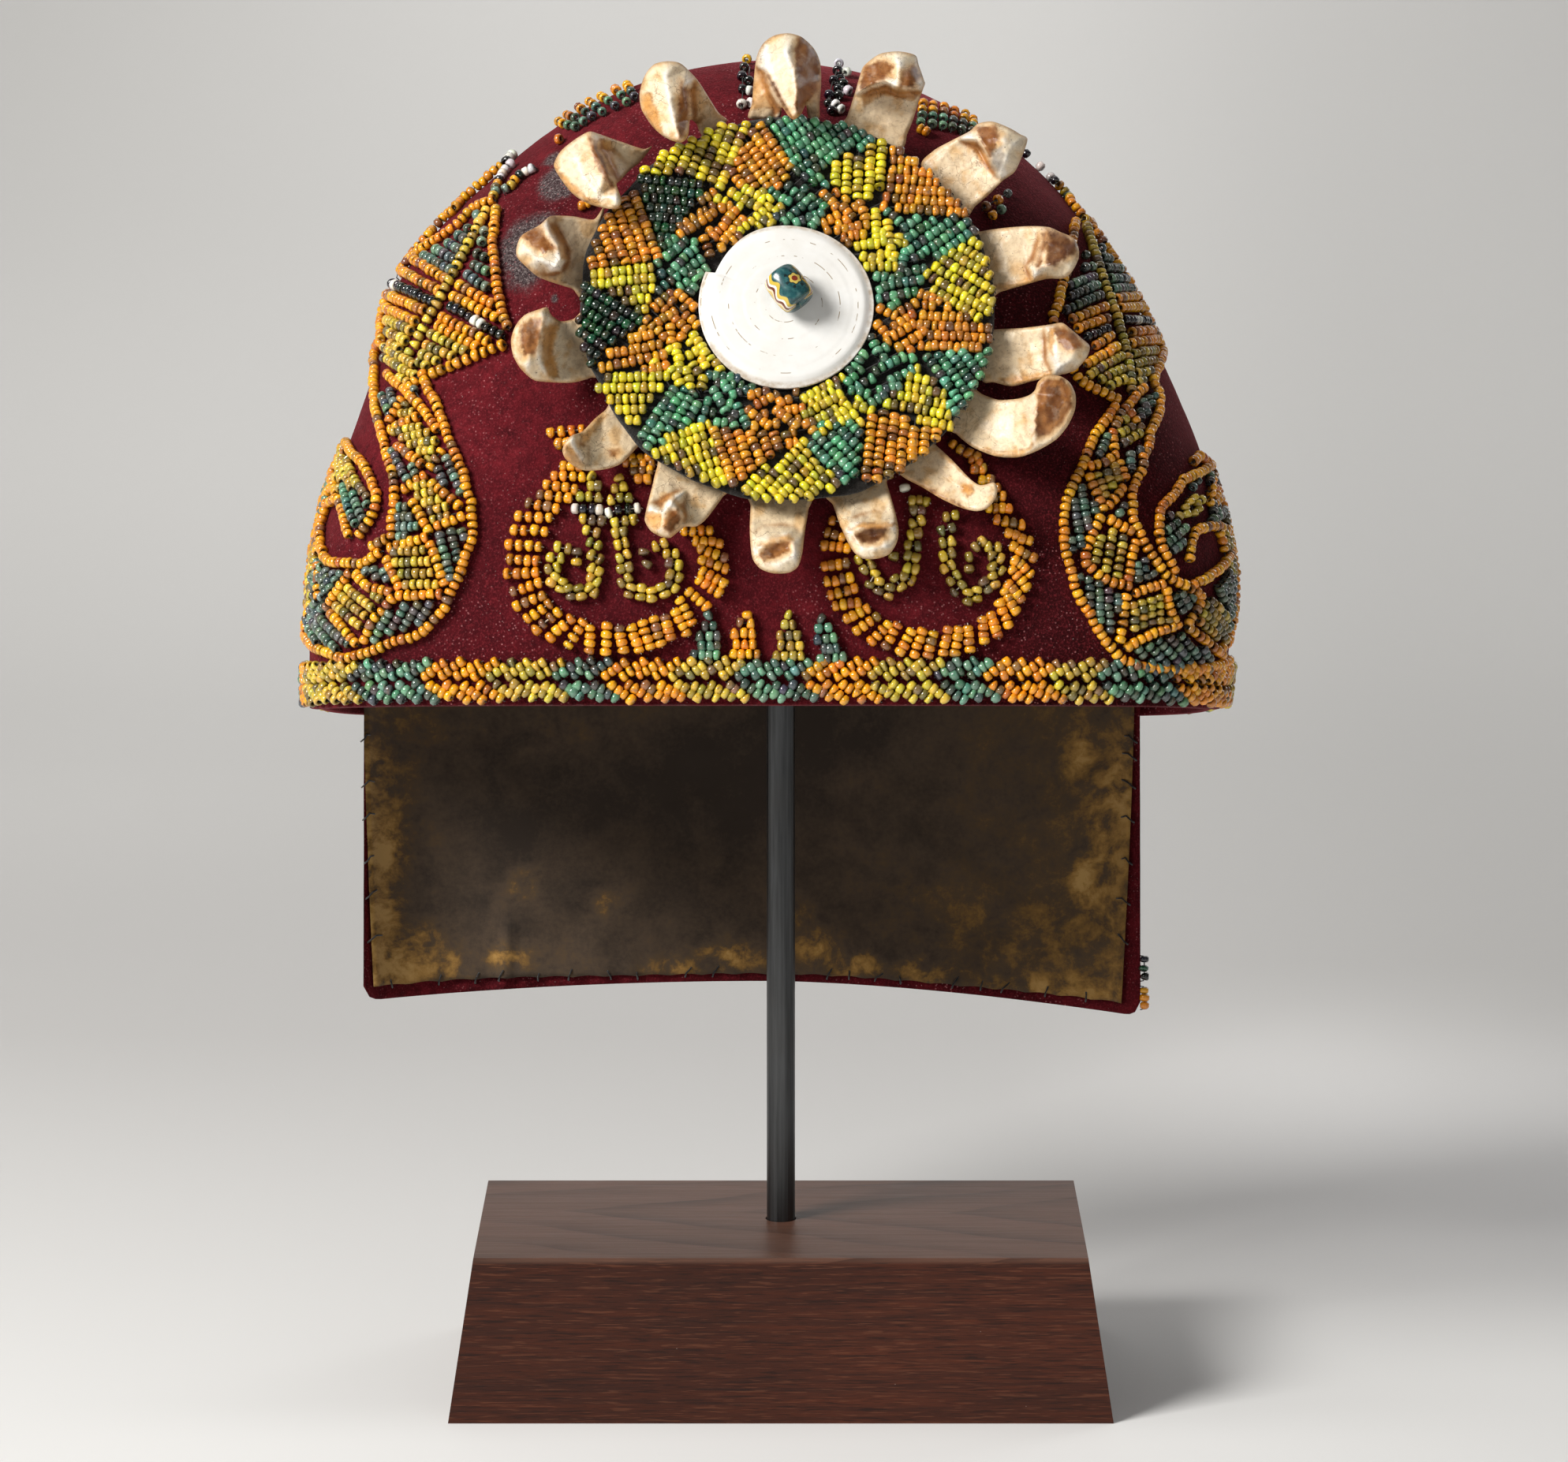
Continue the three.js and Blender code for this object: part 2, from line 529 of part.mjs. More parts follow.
// motifs
cap.add(named('side_motif_left', patch(new THREE.Shape(ring(LEFT_MOTIF).reverse()), 8), AMBER));
{
  const shape = new THREE.Shape(ring(RIGHT_MOTIF).reverse());
  shape.holes.push(new THREE.Path().absellipse(RIGHT_EYE.s, RIGHT_EYE.h, RIGHT_EYE.rs, RIGHT_EYE.rh, 0, 2 * Math.PI, true));
  cap.add(named('side_motif_right', patch(shape, 8), AMBER));
}
for (const o of OVALS) {
  const shape = new THREE.Shape().absellipse(o.s, o.h, o.rs, o.rh, 0, 2 * Math.PI, false);
  shape.holes.push(new THREE.Path().absellipse(o.s, o.h, o.rs - o.width, o.rh - o.width, 0, 2 * Math.PI, true));
  cap.add(named(o.name, patch(shape, 12), AMBER));
}
for (const [name, path] of Object.entries(HOOKS)) {
  cap.add(named(name, patch(stroke(path, HOOK_HALF_WIDTH, 14), 12), OLIVE));
}
SPIKES.forEach((q, i) => {
  const low = BAND_HIGH + 0.5;
  const shape = new THREE.Shape(ring([
    { s: q.s - SPIKE_HALF_WIDTH, h: low }, { s: q.s + SPIKE_HALF_WIDTH, h: low },
    { s: q.s + 1, h: q.top }, { s: q.s - 1, h: q.top },
  ]));
  cap.add(named(q.name, patch(shape, 12), [GREEN, AMBER, OLIVE, GREEN][i]));
});
for (const [name, c] of Object.entries(CREST)) {
  cap.add(named(name, patch(stroke(c.path, c.half, 6), 6), GREEN));
}

// ---------------------------------------------------------------- the rosette
const rosette = new THREE.Group();
rosette.name = 'rosette';
rosette.position.copy(ROSETTE_CENTRE);
rosette.rotation.x = Math.PI / 2 - THREE.MathUtils.degToRad(ROSETTE_LEAN);

rosette.add(named('rosette_disc', turned([
  [0, -DISC_THICKNESS - PAD_DEPTH], [PAD_RADIUS, -DISC_THICKNESS - PAD_DEPTH], [PAD_RADIUS, -DISC_THICKNESS],
  [DISC_RADIUS - 0.8, -DISC_THICKNESS], [DISC_RADIUS, -DISC_THICKNESS / 2], [DISC_RADIUS - 0.8, 0], [0, 0],
], 40), BLACK_CLOTH));
rosette.add(named('rosette_beadwork', turned([
  [PAVING_INNER, GAP], [PAVING_OUTER, GAP], [PAVING_OUTER, PAVING_THICKNESS - 0.5],
  [PAVING_OUTER - 1, PAVING_THICKNESS + GAP], [PAVING_INNER + 1, PAVING_THICKNESS + GAP],
  [PAVING_INNER, PAVING_THICKNESS - 0.5], [PAVING_INNER, GAP],
], 40), AMBER));
rosette.add(named('shell_disc', turned([
  [SHELL_HOLE, GAP], [SHELL_RADIUS - 0.7, GAP], [SHELL_RADIUS, 1.1], [SHELL_RADIUS - 0.3, 2.0],
  [SHELL_RADIUS * 0.6, SHELL_THICKNESS - 0.3], [SHELL_HOLE, SHELL_THICKNESS], [SHELL_HOLE, GAP],
], 40), SHELL));
{
  const half = BEAD_LENGTH / 2;
  const g = turned([
    [BEAD_HOLE, -half], [BEAD_RADIUS * 0.74, -half], [BEAD_RADIUS * 0.93, -half * 0.6], [BEAD_RADIUS, 0],
    [BEAD_RADIUS * 0.93, half * 0.6], [BEAD_RADIUS * 0.74, half], [BEAD_HOLE, half], [BEAD_HOLE, -half],
  ], 18);
  g.rotateY(Math.PI / 2);
  g.rotateZ(THREE.MathUtils.degToRad(BEAD_TURN));
  g.translate(0.3, 1.2, SHELL_THICKNESS + GAP + BEAD_RADIUS);
  rosette.add(named('centre_bead', g, TEAL));
}

// a tooth: a shallow scoop that runs out from under the disc and curls up to a worn end
function tooth(row) {
  const polar = (deg, r) => new THREE.Vector2(Math.sin(THREE.MathUtils.degToRad(deg)), Math.cos(THREE.MathUtils.degToRad(deg))).multiplyScalar(r);
  const from = polar(row.root, DISC_RADIUS);
  const to = polar(row.end, row.reach);
  const out = to.clone().sub(from);
  const length = out.length();
  out.normalize();
  const side = new THREE.Vector2(out.y, -out.x);
  const curl = THREE.MathUtils.degToRad(row.curl);
  const bulge = TOOTH_BEND * Math.sin(Math.min(curl, Math.PI / 2)) + Math.max(0, row.crest * Math.cos(curl));
  const bendAt = length - bulge - TOOTH_HALF_THICKNESS;
  const begin = TOOTH_INSIDE - DISC_RADIUS;
  // stations along the tooth: straight run, curl and crest
  const stations = [
    { run: begin, turn: 0, past: 0, half: row.width * 0.3, thick: 1.35, cup: 0.3 },
    { run: (begin + bendAt) / 2, turn: 0, past: 0, half: row.width * 0.47, thick: TOOTH_HALF_THICKNESS, cup: 0.8 },
    { run: bendAt, turn: 0, past: 0, half: row.width * 0.5, thick: TOOTH_HALF_THICKNESS * 1.1, cup: 1.1 },
    { run: bendAt, turn: 0.4, past: 0, half: row.width * 0.5, thick: TOOTH_HALF_THICKNESS * 1.4, cup: 0.9 },
    { run: bendAt, turn: 0.75, past: 0, half: row.width * 0.47, thick: TOOTH_HALF_THICKNESS * 1.6, cup: 0.6 },
    { run: bendAt, turn: 1, past: 0, half: row.width * 0.43, thick: TOOTH_HALF_THICKNESS * 1.6, cup: 0.3 },
    { run: bendAt, turn: 1, past: 0.6, half: (row.width * 0.4 + row.tip * 0.5) / 2, thick: TOOTH_HALF_THICKNESS * 1.45, cup: 0.1 },
    { run: bendAt, turn: 1, past: 1, half: row.tip / 2, thick: TOOTH_HALF_THICKNESS, cup: 0 },
  ];
  const around = 10;
  const rings = stations.map((q) => {
    const a = curl * q.turn;
    const r = q.run + TOOTH_BEND * Math.sin(a) + row.crest * q.past * Math.cos(a);
    const n = TOOTH_FLOOR + TOOTH_RISE * Math.max(0, q.run) + TOOTH_BEND * (1 - Math.cos(a)) + row.crest * q.past * Math.sin(a);
    const points = [];
    for (let k = 0; k < around; k++) {
      const w = (k / around) * 2 * Math.PI;
      const across = q.half * Math.cos(w);
      const up = q.thick * Math.sin(w) + q.cup * Math.cos(w) ** 2;
      const rr = r - up * Math.sin(a);
      points.push(new THREE.Vector3(
        from.x + out.x * rr + side.x * across, from.y + out.y * rr + side.y * across, n + up * Math.cos(a)));
    }
    return points;
  });
  return loft(rings.map((r) => r.slice().reverse()));
}
TEETH.forEach((row, i) => {
  rosette.add(named(`tooth_${String(i + 1).padStart(2, '0')}`, tooth(row), IVORY));
});

// ---------------------------------------------------------------- the stand
const stand = new THREE.Group();
stand.name = 'stand';
{
  const wasm = await Module();
  wasm.setup();
  const solid = (g) => {
    const clean = bare(g);
    return new wasm.Manifold(new wasm.Mesh({
      numProp: 3,
      vertProperties: new Float32Array(clean.getAttribute('position').array),
      triVerts: new Uint32Array(clean.getIndex().array),
    }));
  };
  const block = new THREE.BoxGeometry(BASE_WIDTH, BASE_DEPTH, BASE_HEIGHT);
  const at = block.getAttribute('position');
  for (let i = 0; i < at.count; i++) {
    if (at.getZ(i) > 0) {
      at.setX(i, at.getX(i) - Math.sign(at.getX(i)) * BASE_TAPER);
      at.setY(i, at.getY(i) - Math.sign(at.getY(i)) * BASE_TAPER);
    }
  }
  block.translate(0, 0, BASE_HEIGHT / 2);
  const drill = new THREE.CylinderGeometry(ROD_RADIUS + GAP, ROD_RADIUS + GAP, SOCKET_DEPTH * 2, 24);
  drill.rotateX(Math.PI / 2);
  drill.translate(0, 0, BASE_HEIGHT);
  const cut = solid(block).subtract(solid(drill)).getMesh();
  const g = new THREE.BufferGeometry();
  g.setAttribute('position', new THREE.Float32BufferAttribute(cut.vertProperties, 3));
  g.setIndex(Array.from(cut.triVerts));
  stand.add(named('base_block', g, WOOD));
}
{
  const low = BASE_HEIGHT - SOCKET_DEPTH + GAP;
  const profile = [[0, low], [ROD_RADIUS, low], [ROD_RADIUS, ROD_TOP]];
  for (let k = 0; k <= 5; k++) {
    const a = -Math.PI / 3 + (k / 5) * (Math.PI / 2 + Math.PI / 3);
    profile.push([HEAD_RADIUS * Math.cos(a), ROD_TOP + HEAD_HEIGHT * (0.9 + Math.sin(a))]);
  }
  profile[profile.length - 1][0] = 0;
  stand.add(named('rod', turned(profile, 24), STEEL));
}

const headdress = new THREE.Group();
headdress.name = 'beaded_headdress_on_stand';
headdress.add(cap, rosette, stand);
export default headdress;
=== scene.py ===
import math

import bpy
import numpy as np
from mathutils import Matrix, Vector
from mathutils.bvhtree import BVHTree
from mathutils.geometry import delaunay_2d_cdt


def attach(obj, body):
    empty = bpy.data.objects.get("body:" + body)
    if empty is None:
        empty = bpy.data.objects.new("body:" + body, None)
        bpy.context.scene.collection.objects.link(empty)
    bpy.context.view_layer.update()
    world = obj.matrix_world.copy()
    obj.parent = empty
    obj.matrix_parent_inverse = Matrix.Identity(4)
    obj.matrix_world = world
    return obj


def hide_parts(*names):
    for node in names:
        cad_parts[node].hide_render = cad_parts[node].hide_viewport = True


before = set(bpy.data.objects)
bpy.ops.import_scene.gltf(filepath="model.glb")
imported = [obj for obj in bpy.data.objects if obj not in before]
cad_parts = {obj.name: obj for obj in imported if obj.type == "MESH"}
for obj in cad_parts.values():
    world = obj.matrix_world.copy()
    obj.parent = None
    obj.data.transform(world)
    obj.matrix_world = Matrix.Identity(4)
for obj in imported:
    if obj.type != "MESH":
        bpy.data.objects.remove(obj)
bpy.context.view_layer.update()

rng = np.random.default_rng(11)
scene = bpy.context.scene
scene.view_settings.view_transform = "Standard"

# ------------------------------------------------------------------ camera
PICTURE = (1988, 1854)
FOCAL = 7808.0                                  # in pixels of that picture
EYE = np.array([0.7, -1350.0, 381.5])           # millimetres
PITCH = math.radians(9.83)
FORWARD = np.array([0.0, math.cos(PITCH), -math.sin(PITCH)])
UPWARD = np.array([0.0, math.sin(PITCH), math.cos(PITCH)])
SIDEWAYS = np.array([1.0, 0.0, 0.0])

camera_data = bpy.data.cameras.new("camera")
camera_data.sensor_fit = "HORIZONTAL"
camera_data.sensor_width = 36.0
camera_data.lens = 36.0 * FOCAL / PICTURE[0]
camera_data.clip_end = 50.0
camera = bpy.data.objects.new("camera", camera_data)
camera.location = Vector(EYE * 0.001)
camera.rotation_euler = (math.pi / 2 - PITCH, 0.0, 0.0)
scene.collection.objects.link(camera)
scene.camera = camera


def ray(x, y):
    d = FORWARD + (x - PICTURE[0] / 2) / FOCAL * SIDEWAYS - (y - PICTURE[1] / 2) / FOCAL * UPWARD
    return d / np.linalg.norm(d)


# ------------------------------------------------------------------ small helpers
def linear(rgb):
    c = np.asarray(rgb, float) / 255.0
    return np.where(c <= 0.04045, c / 12.92, ((c + 0.055) / 1.055) ** 2.4)


def rgba(rgb):
    return tuple(float(v) for v in linear(rgb)) + (1.0,)


def unit(v):
    v = np.asarray(v, float)
    return v / np.maximum(np.linalg.norm(v, axis=-1, keepdims=True), 1e-12)


def smooth(a, b, x):
    t = np.clip((np.asarray(x, float) - a) / (b - a), 0.0, 1.0)
    return t * t * (3 - 2 * t)


def mesh_object(name, verts, quads=None, tris=None, material=None, smooth_shade=True):
    """A mesh from arrays in millimetres."""
    me = bpy.data.meshes.new(name)
    verts = np.asarray(verts, float) * 0.001
    me.vertices.add(len(verts))
    me.vertices.foreach_set("co", verts.astype(np.float32).ravel())
    loops, starts = [], []
    at = 0
    for faces, k in ((quads, 4), (tris, 3)):
        if faces is None or len(faces) == 0:
            continue
        faces = np.asarray(faces, np.int32)
        loops.append(faces.ravel())
        starts.append(at + np.arange(len(faces)) * k)
        at += faces.size
    loops = np.concatenate(loops).astype(np.int32)
    starts = np.concatenate(starts).astype(np.int32)
    me.loops.add(len(loops))
    me.loops.foreach_set("vertex_index", loops)
    me.polygons.add(len(starts))
    me.polygons.foreach_set("loop_start", starts)
    me.update(calc_edges=True)
    me.validate()
    if smooth_shade:
        me.polygons.foreach_set("use_smooth", np.ones(len(me.polygons), bool))
    ob = bpy.data.objects.new(name, me)
    scene.collection.objects.link(ob)
    if material is not None:
        me.materials.append(material)
    return ob


def put_float(ob, name, values):
    a = ob.data.attributes.new(name, "FLOAT", "POINT")
    a.data.foreach_set("value", np.asarray(values, np.float32).ravel())


def put_vector(ob, name, values):
    a = ob.data.attributes.new(name, "FLOAT_VECTOR", "POINT")
    a.data.foreach_set("vector", np.asarray(values, np.float32).ravel())


def put_colour(ob, name, values):
    values = np.asarray(values, np.float32)
    if values.shape[1] == 3:
        values = np.concatenate([values, np.ones((len(values), 1), np.float32)], 1)
    a = ob.data.color_attributes.new(name, "FLOAT_COLOR", "POINT")
    a.data.foreach_set("color", values.ravel())


def ring_quads(rows, cols, closed=True, offset=0):
    r = np.arange(rows - 1)[:, None]
    c = np.arange(cols if closed else cols - 1)[None, :]
    a = r * cols + c
    b = r * cols + (c + 1) % cols
    return (np.stack([a, b, b + cols, a + cols], -1).reshape(-1, 4) + offset)


def wobble(p, scale, seed, octaves=3):
    """Smooth noise at points p (n, 3), about -1..1, the same on each run."""
    g = np.random.default_rng(seed)
    out = np.zeros(len(p))
    amp, total = 1.0, 0.0
    for o in range(octaves):
        for _ in range(5):
            k = unit(g.normal(size=3)) * (2 * math.pi / scale) * (0.7 + 0.6 * g.random()) * 2 ** o
            out += amp * np.sin(p @ k + g.random() * 6.283) / 5 ** 0.5
        total += amp
        amp *= 0.5
    return out / total


# ------------------------------------------------------------------ material helpers
class Mat:
    def __init__(self, name):
        self.m = bpy.data.materials.new(name)
        self.m.use_nodes = True
        self.t = self.m.node_tree
        self.t.nodes.clear()
        self.out = self.t.nodes.new("ShaderNodeOutputMaterial")
        self.b = self.t.nodes.new("ShaderNodeBsdfPrincipled")
        self.t.links.new(self.b.outputs[0], self.out.inputs[0])
        self._coord = None

    def node(self, kind, **props):
        n = self.t.nodes.new(kind)
        for k, v in props.items():
            setattr(n, k, v)
        return n

    def link(self, a, b):
        self.t.links.new(a, b)

    def set(self, **values):
        for k, v in values.items():
            self.b.inputs[k.replace("_", " ")].default_value = v
        return self

    def feed(self, socket, source):
        self.link(source, self.b.inputs[socket])

    def coord(self):
        if self._coord is None:
            self._coord = self.node("ShaderNodeTexCoord").outputs["Object"]
        return self._coord

    def attribute(self, name, output="Fac"):
        n = self.node("ShaderNodeAttribute", attribute_name=name)
        return n.outputs[output]

    def stretch(self, scale, source=None, rotation=(0, 0, 0)):
        n = self.node("ShaderNodeMapping")
        n.inputs["Scale"].default_value = scale
        n.inputs["Rotation"].default_value = rotation
        self.link(source or self.coord(), n.inputs["Vector"])
        return n.outputs[0]

    def noise(self, scale, detail=3.0, rough=0.55, source=None, distort=0.0, output="Fac"):
        n = self.node("ShaderNodeTexNoise")
        n.inputs["Scale"].default_value = scale
        n.inputs["Detail"].default_value = detail
        n.inputs["Roughness"].default_value = rough
        n.inputs["Distortion"].default_value = distort
        self.link(source or self.coord(), n.inputs["Vector"])
        return n.outputs[output]

    def voronoi(self, scale, source=None, feature="F1", randomness=1.0, output="Distance"):
        n = self.node("ShaderNodeTexVoronoi", feature=feature)
        n.inputs["Scale"].default_value = scale
        n.inputs["Randomness"].default_value = randomness
        self.link(source or self.coord(), n.inputs["Vector"])
        return n.outputs[output]

    def wave(self, scale, source=None, direction="X", distortion=0.0, detail=0.0, detail_scale=1.0, bands="BANDS"):
        n = self.node("ShaderNodeTexWave", wave_type=bands)
        if bands == "BANDS":
            n.bands_direction = direction
        else:
            n.rings_direction = direction
        n.inputs["Scale"].default_value = scale
        n.inputs["Distortion"].default_value = distortion
        n.inputs["Detail"].default_value = detail
        n.inputs["Detail Scale"].default_value = detail_scale
        self.link(source or self.coord(), n.inputs["Vector"])
        return n.outputs["Fac"]

    def ramp(self, source, *stops, interpolation="LINEAR"):
        n = self.node("ShaderNodeValToRGB")
        n.color_ramp.interpolation = interpolation
        e = n.color_ramp.elements
        while len(e) < len(stops):
            e.new(0.5)
        for el, (pos, col) in zip(e, stops):
            el.position = pos
            el.color = col if len(col) == 4 else tuple(col) + (1.0,)
        self.link(source, n.inputs["Fac"])
        return n.outputs["Color"]

    def step(self, source, low, high):
        n = self.node("ShaderNodeMapRange", interpolation_type="SMOOTHSTEP")
        n.inputs["From Min"].default_value = low
        n.inputs["From Max"].default_value = high
        self.link(source, n.inputs["Value"])
        return n.outputs["Result"]

    def span(self, source, low, high, to_low, to_high):
        n = self.node("ShaderNodeMapRange")
        n.inputs["From Min"].default_value = low
        n.inputs["From Max"].default_value = high
        n.inputs["To Min"].default_value = to_low
        n.inputs["To Max"].default_value = to_high
        self.link(source, n.inputs["Value"])
        return n.outputs["Result"]

    def math(self, op, a, b=0.5, clamp=False):
        n = self.node("ShaderNodeMath", operation=op, use_clamp=clamp)
        for sock, v in zip(n.inputs, (a, b)):
            if isinstance(v, (int, float)):
                sock.default_value = v
            else:
                self.link(v, sock)
        return n.outputs[0]

    def mix(self, fac, a, b, blend="MIX"):
        n = self.node("ShaderNodeMix", data_type="RGBA", blend_type=blend)
        for sock, v in ((n.inputs[0], fac), (n.inputs[6], a), (n.inputs[7], b)):
            if isinstance(v, (int, float)):
                sock.default_value = v
            elif isinstance(v, tuple):
                sock.default_value = v
            else:
                self.link(v, sock)
        return n.outputs[2]

    def separate(self, source):
        n = self.node("ShaderNodeSeparateXYZ")
        self.link(source, n.inputs[0])
        return n.outputs

    def node_distort(self, source, scale=0.7, amount=1.4):
        n = self.node("ShaderNodeVectorMath", operation="MULTIPLY_ADD")
        self.link(self.noise(scale, 3.0, 0.6, source, output="Color"), n.inputs[0])
        n.inputs[1].default_value = (amount, amount, amount)
        self.link(source, n.inputs[2])
        return n.outputs[0]

    def bump(self, height, strength=0.5, distance=0.0005, after=None):
        n = self.node("ShaderNodeBump")
        n.inputs["Strength"].default_value = strength
        n.inputs["Distance"].default_value = distance
        self.link(height, n.inputs["Height"])
        if after is not None:
            self.link(after, n.inputs["Normal"])
        return n.outputs[0]


def finish_piece(ob, nodes=()):
    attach(ob, "root")
    if nodes:
        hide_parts(*nodes)
    return ob


# ------------------------------------------------------------------ materials
def velvet_material():
    m = Mat("velvet_burgundy")
    m.set(Roughness=0.88, Sheen_Weight=0.4, Sheen_Roughness=0.4, Sheen_Tint=rgba((226, 112, 122)), Specular_IOR_Level=0.1)
    broad = m.noise(26.0, 4.0, 0.6)
    fine = m.noise(420.0, 3.0, 0.65)
    pile = m.noise(2100.0, 2.0, 0.7)
    colour = m.ramp(broad, (0.3, rgba((68, 10, 18))), (0.5, rgba((86, 15, 23))), (0.72, rgba((112, 27, 35))))
    colour = m.mix(m.span(fine, 0.35, 0.75, 0.0, 0.75), colour, rgba((40, 5, 10)))
    # painted shade: the crown's right front is darkened in the colour, standing in for the nap and the light turning
    # away there
    nap = m.attribute("nap")
    colour = m.mix(nap, colour, m.mix(1.0, colour, (0.42, 0.38, 0.38, 1.0), "MULTIPLY"))
    colour = m.mix(m.span(pile, 0.5, 0.8, 0.0, 0.6), colour, rgba((142, 48, 56)))
    # rubbed places where the ground weave shows
    wear = m.attribute("wear")
    worn = m.step(m.math("MULTIPLY", wear, m.span(m.noise(260.0, 4.0, 0.7), 0.2, 0.7, 0.6, 1.4)), 0.22, 0.66)
    colour = m.mix(worn, colour, m.ramp(m.noise(1900.0, 4.0, 0.85), (0.38, rgba((30, 22, 24))), (0.53, rgba((74, 64, 65))), (0.68, rgba((158, 148, 145)))))
    # lint and dust caught in the pile
    patch = m.step(m.noise(55.0, 3.0, 0.6), 0.42, 0.68)
    lint = m.math("MULTIPLY", m.step(m.voronoi(1050.0), 0.26, 0.12), patch)
    colour = m.mix(m.math("MULTIPLY", lint, 0.62), colour, rgba((186, 118, 120)))
    specks = m.math("MULTIPLY", m.step(m.voronoi(560.0), 0.085, 0.035), m.span(patch, 0.0, 1.0, 0.3, 1.0))
    colour = m.mix(m.math("MULTIPLY", specks, 0.55), colour, rgba((214, 188, 184)))
    m.feed("Base Color", colour)
    m.feed("Normal", m.bump(pile, 0.5, 0.0006, m.bump(fine, 0.3, 0.0008)))
    return m.m


def bead_material():
    m = Mat("glass_seed_beads")
    m.set(Coat_Weight=0.85, Coat_Roughness=0.08, IOR=1.5, Specular_IOR_Level=0.5)
    col = m.attribute("col", "Color")
    dirt = m.attribute("dirt")
    cloud = m.noise(420.0, 4.0, 0.65)
    spots = m.noise(1250.0, 3.0, 0.6)
    grime = m.math("MULTIPLY", m.step(m.math("ADD", m.math("MULTIPLY", cloud, 0.55), m.math("MULTIPLY", spots, 0.45)), 0.5, 0.62), dirt, True)
    colour = m.mix(m.math("MULTIPLY", grime, 0.85), col, rgba((104, 74, 50)))
    pits = m.math("MULTIPLY", m.step(m.voronoi(1500.0), 0.15, 0.08), dirt, True)
    colour = m.mix(m.math("MULTIPLY", pits, 0.7), colour, rgba((60, 36, 18)))
    m.feed("Base Color", colour)
    m.feed("Roughness", m.span(grime, 0.0, 1.0, 0.2, 0.55))
    m.feed("Normal", m.bump(spots, 0.12, 0.0003))
    return m.m


def thread_material():
    m = Mat("sewing_thread")
    m.set(Roughness=0.9, Sheen_Weight=0.2)
    m.feed("Base Color", m.ramp(m.noise(700.0), (0.35, rgba((186, 168, 150))), (0.7, rgba((226, 214, 204)))))
    m.feed("Normal", m.bump(m.noise(4000.0), 0.4, 0.0002))
    return m.m


def dark_thread_material():
    m = Mat("dark_thread")
    m.set(Roughness=0.85, Sheen_Weight=0.2)
    m.feed("Base Color", m.ramp(m.noise(900.0), (0.35, rgba((16, 14, 13))), (0.7, rgba((44, 40, 37)))))
    m.feed("Normal", m.bump(m.noise(4000.0), 0.4, 0.0002))
    return m.m


def felt_material():
    m = Mat("black_cloth")
    m.set(Roughness=0.95, Sheen_Weight=0.25, Sheen_Roughness=0.5, Specular_IOR_Level=0.1)
    fibre = m.noise(1500.0, 4.0, 0.75, distort=1.2)
    broad = m.noise(150.0, 3.0, 0.6)
    colour = m.ramp(fibre, (0.3, rgba((14, 13, 12))), (0.55, rgba((34, 31, 29))), (0.8, rgba((86, 80, 74))))
    colour = m.mix(m.span(broad, 0.4, 0.8, 0.0, 0.35), colour, rgba((52, 44, 36)))
    m.feed("Base Color", colour)
    m.feed("Normal", m.bump(fibre, 0.8, 0.0009))
    return m.m


def lining_material():
    m = Mat("stained_cotton")
    m.set(Roughness=0.88, Sheen_Weight=0.18, Sheen_Roughness=0.5, Specular_IOR_Level=0.18)
    at = m.attribute("cut", "Vector")        # millimetres across and up the flap
    edge = m.attribute("edge")               # 0 in the middle, 1 at the margins
    cloud = m.noise(0.03, 4.0, 0.55, at, 0.4)
    patchy = m.noise(0.085, 5.0, 0.6, at, 0.5)
    tan = m.attribute("tan")
    grain = m.noise(0.9, 4.0, 0.7, at)
    broken = m.noise(0.2, 5.0, 0.65, m.node_distort(at, 0.06, 9.0))
    tan = m.math("MULTIPLY", tan, m.span(broken, 0.36, 0.62, 0.4, 1.35))
    level = m.math("ADD", m.math("ADD", m.math("MULTIPLY", cloud, 0.3), m.math("MULTIPLY", patchy, 0.34)), m.math("MULTIPLY", tan, 0.47))
    level = m.math("ADD", level, m.span(m.math("MULTIPLY", edge, m.span(broken, 0.34, 0.66, 0.2, 1.4)), 0.0, 1.0, 0.0, 0.13))
    level = m.math("ADD", level, m.span(grain, 0.3, 0.7, -0.04, 0.04))
    level = m.math("ADD", level, m.span(broken, 0.3, 0.7, -0.045, 0.045))
    level = m.math("ADD", level, m.span(m.separate(at)[0], 10.0, 70.0, 0.0, 0.05))
    colour = m.ramp(level, (0.22, rgba((58, 48, 40))), (0.36, rgba((84, 69, 55))), (0.445, rgba((95, 75, 52))),
                    (0.53, rgba((132, 99, 53))), (0.64, rgba((166, 126, 66))), (0.82, rgba((198, 158, 94))))
    warp = m.wave(2.6, at, "X", 0.8, 1.0, 1.5)
    weft = m.wave(2.6, at, "Y", 0.8, 1.0, 1.5)
    weave = m.math("MULTIPLY", warp, weft)
    colour = m.mix(m.span(weave, 0.0, 0.8, 0.2, 0.0), colour, rgba((24, 18, 12)))
    m.feed("Base Color", colour)
    m.feed("Normal", m.bump(weave, 0.3, 0.0003, m.bump(patchy, 0.25, 0.0008)))
    return m.m


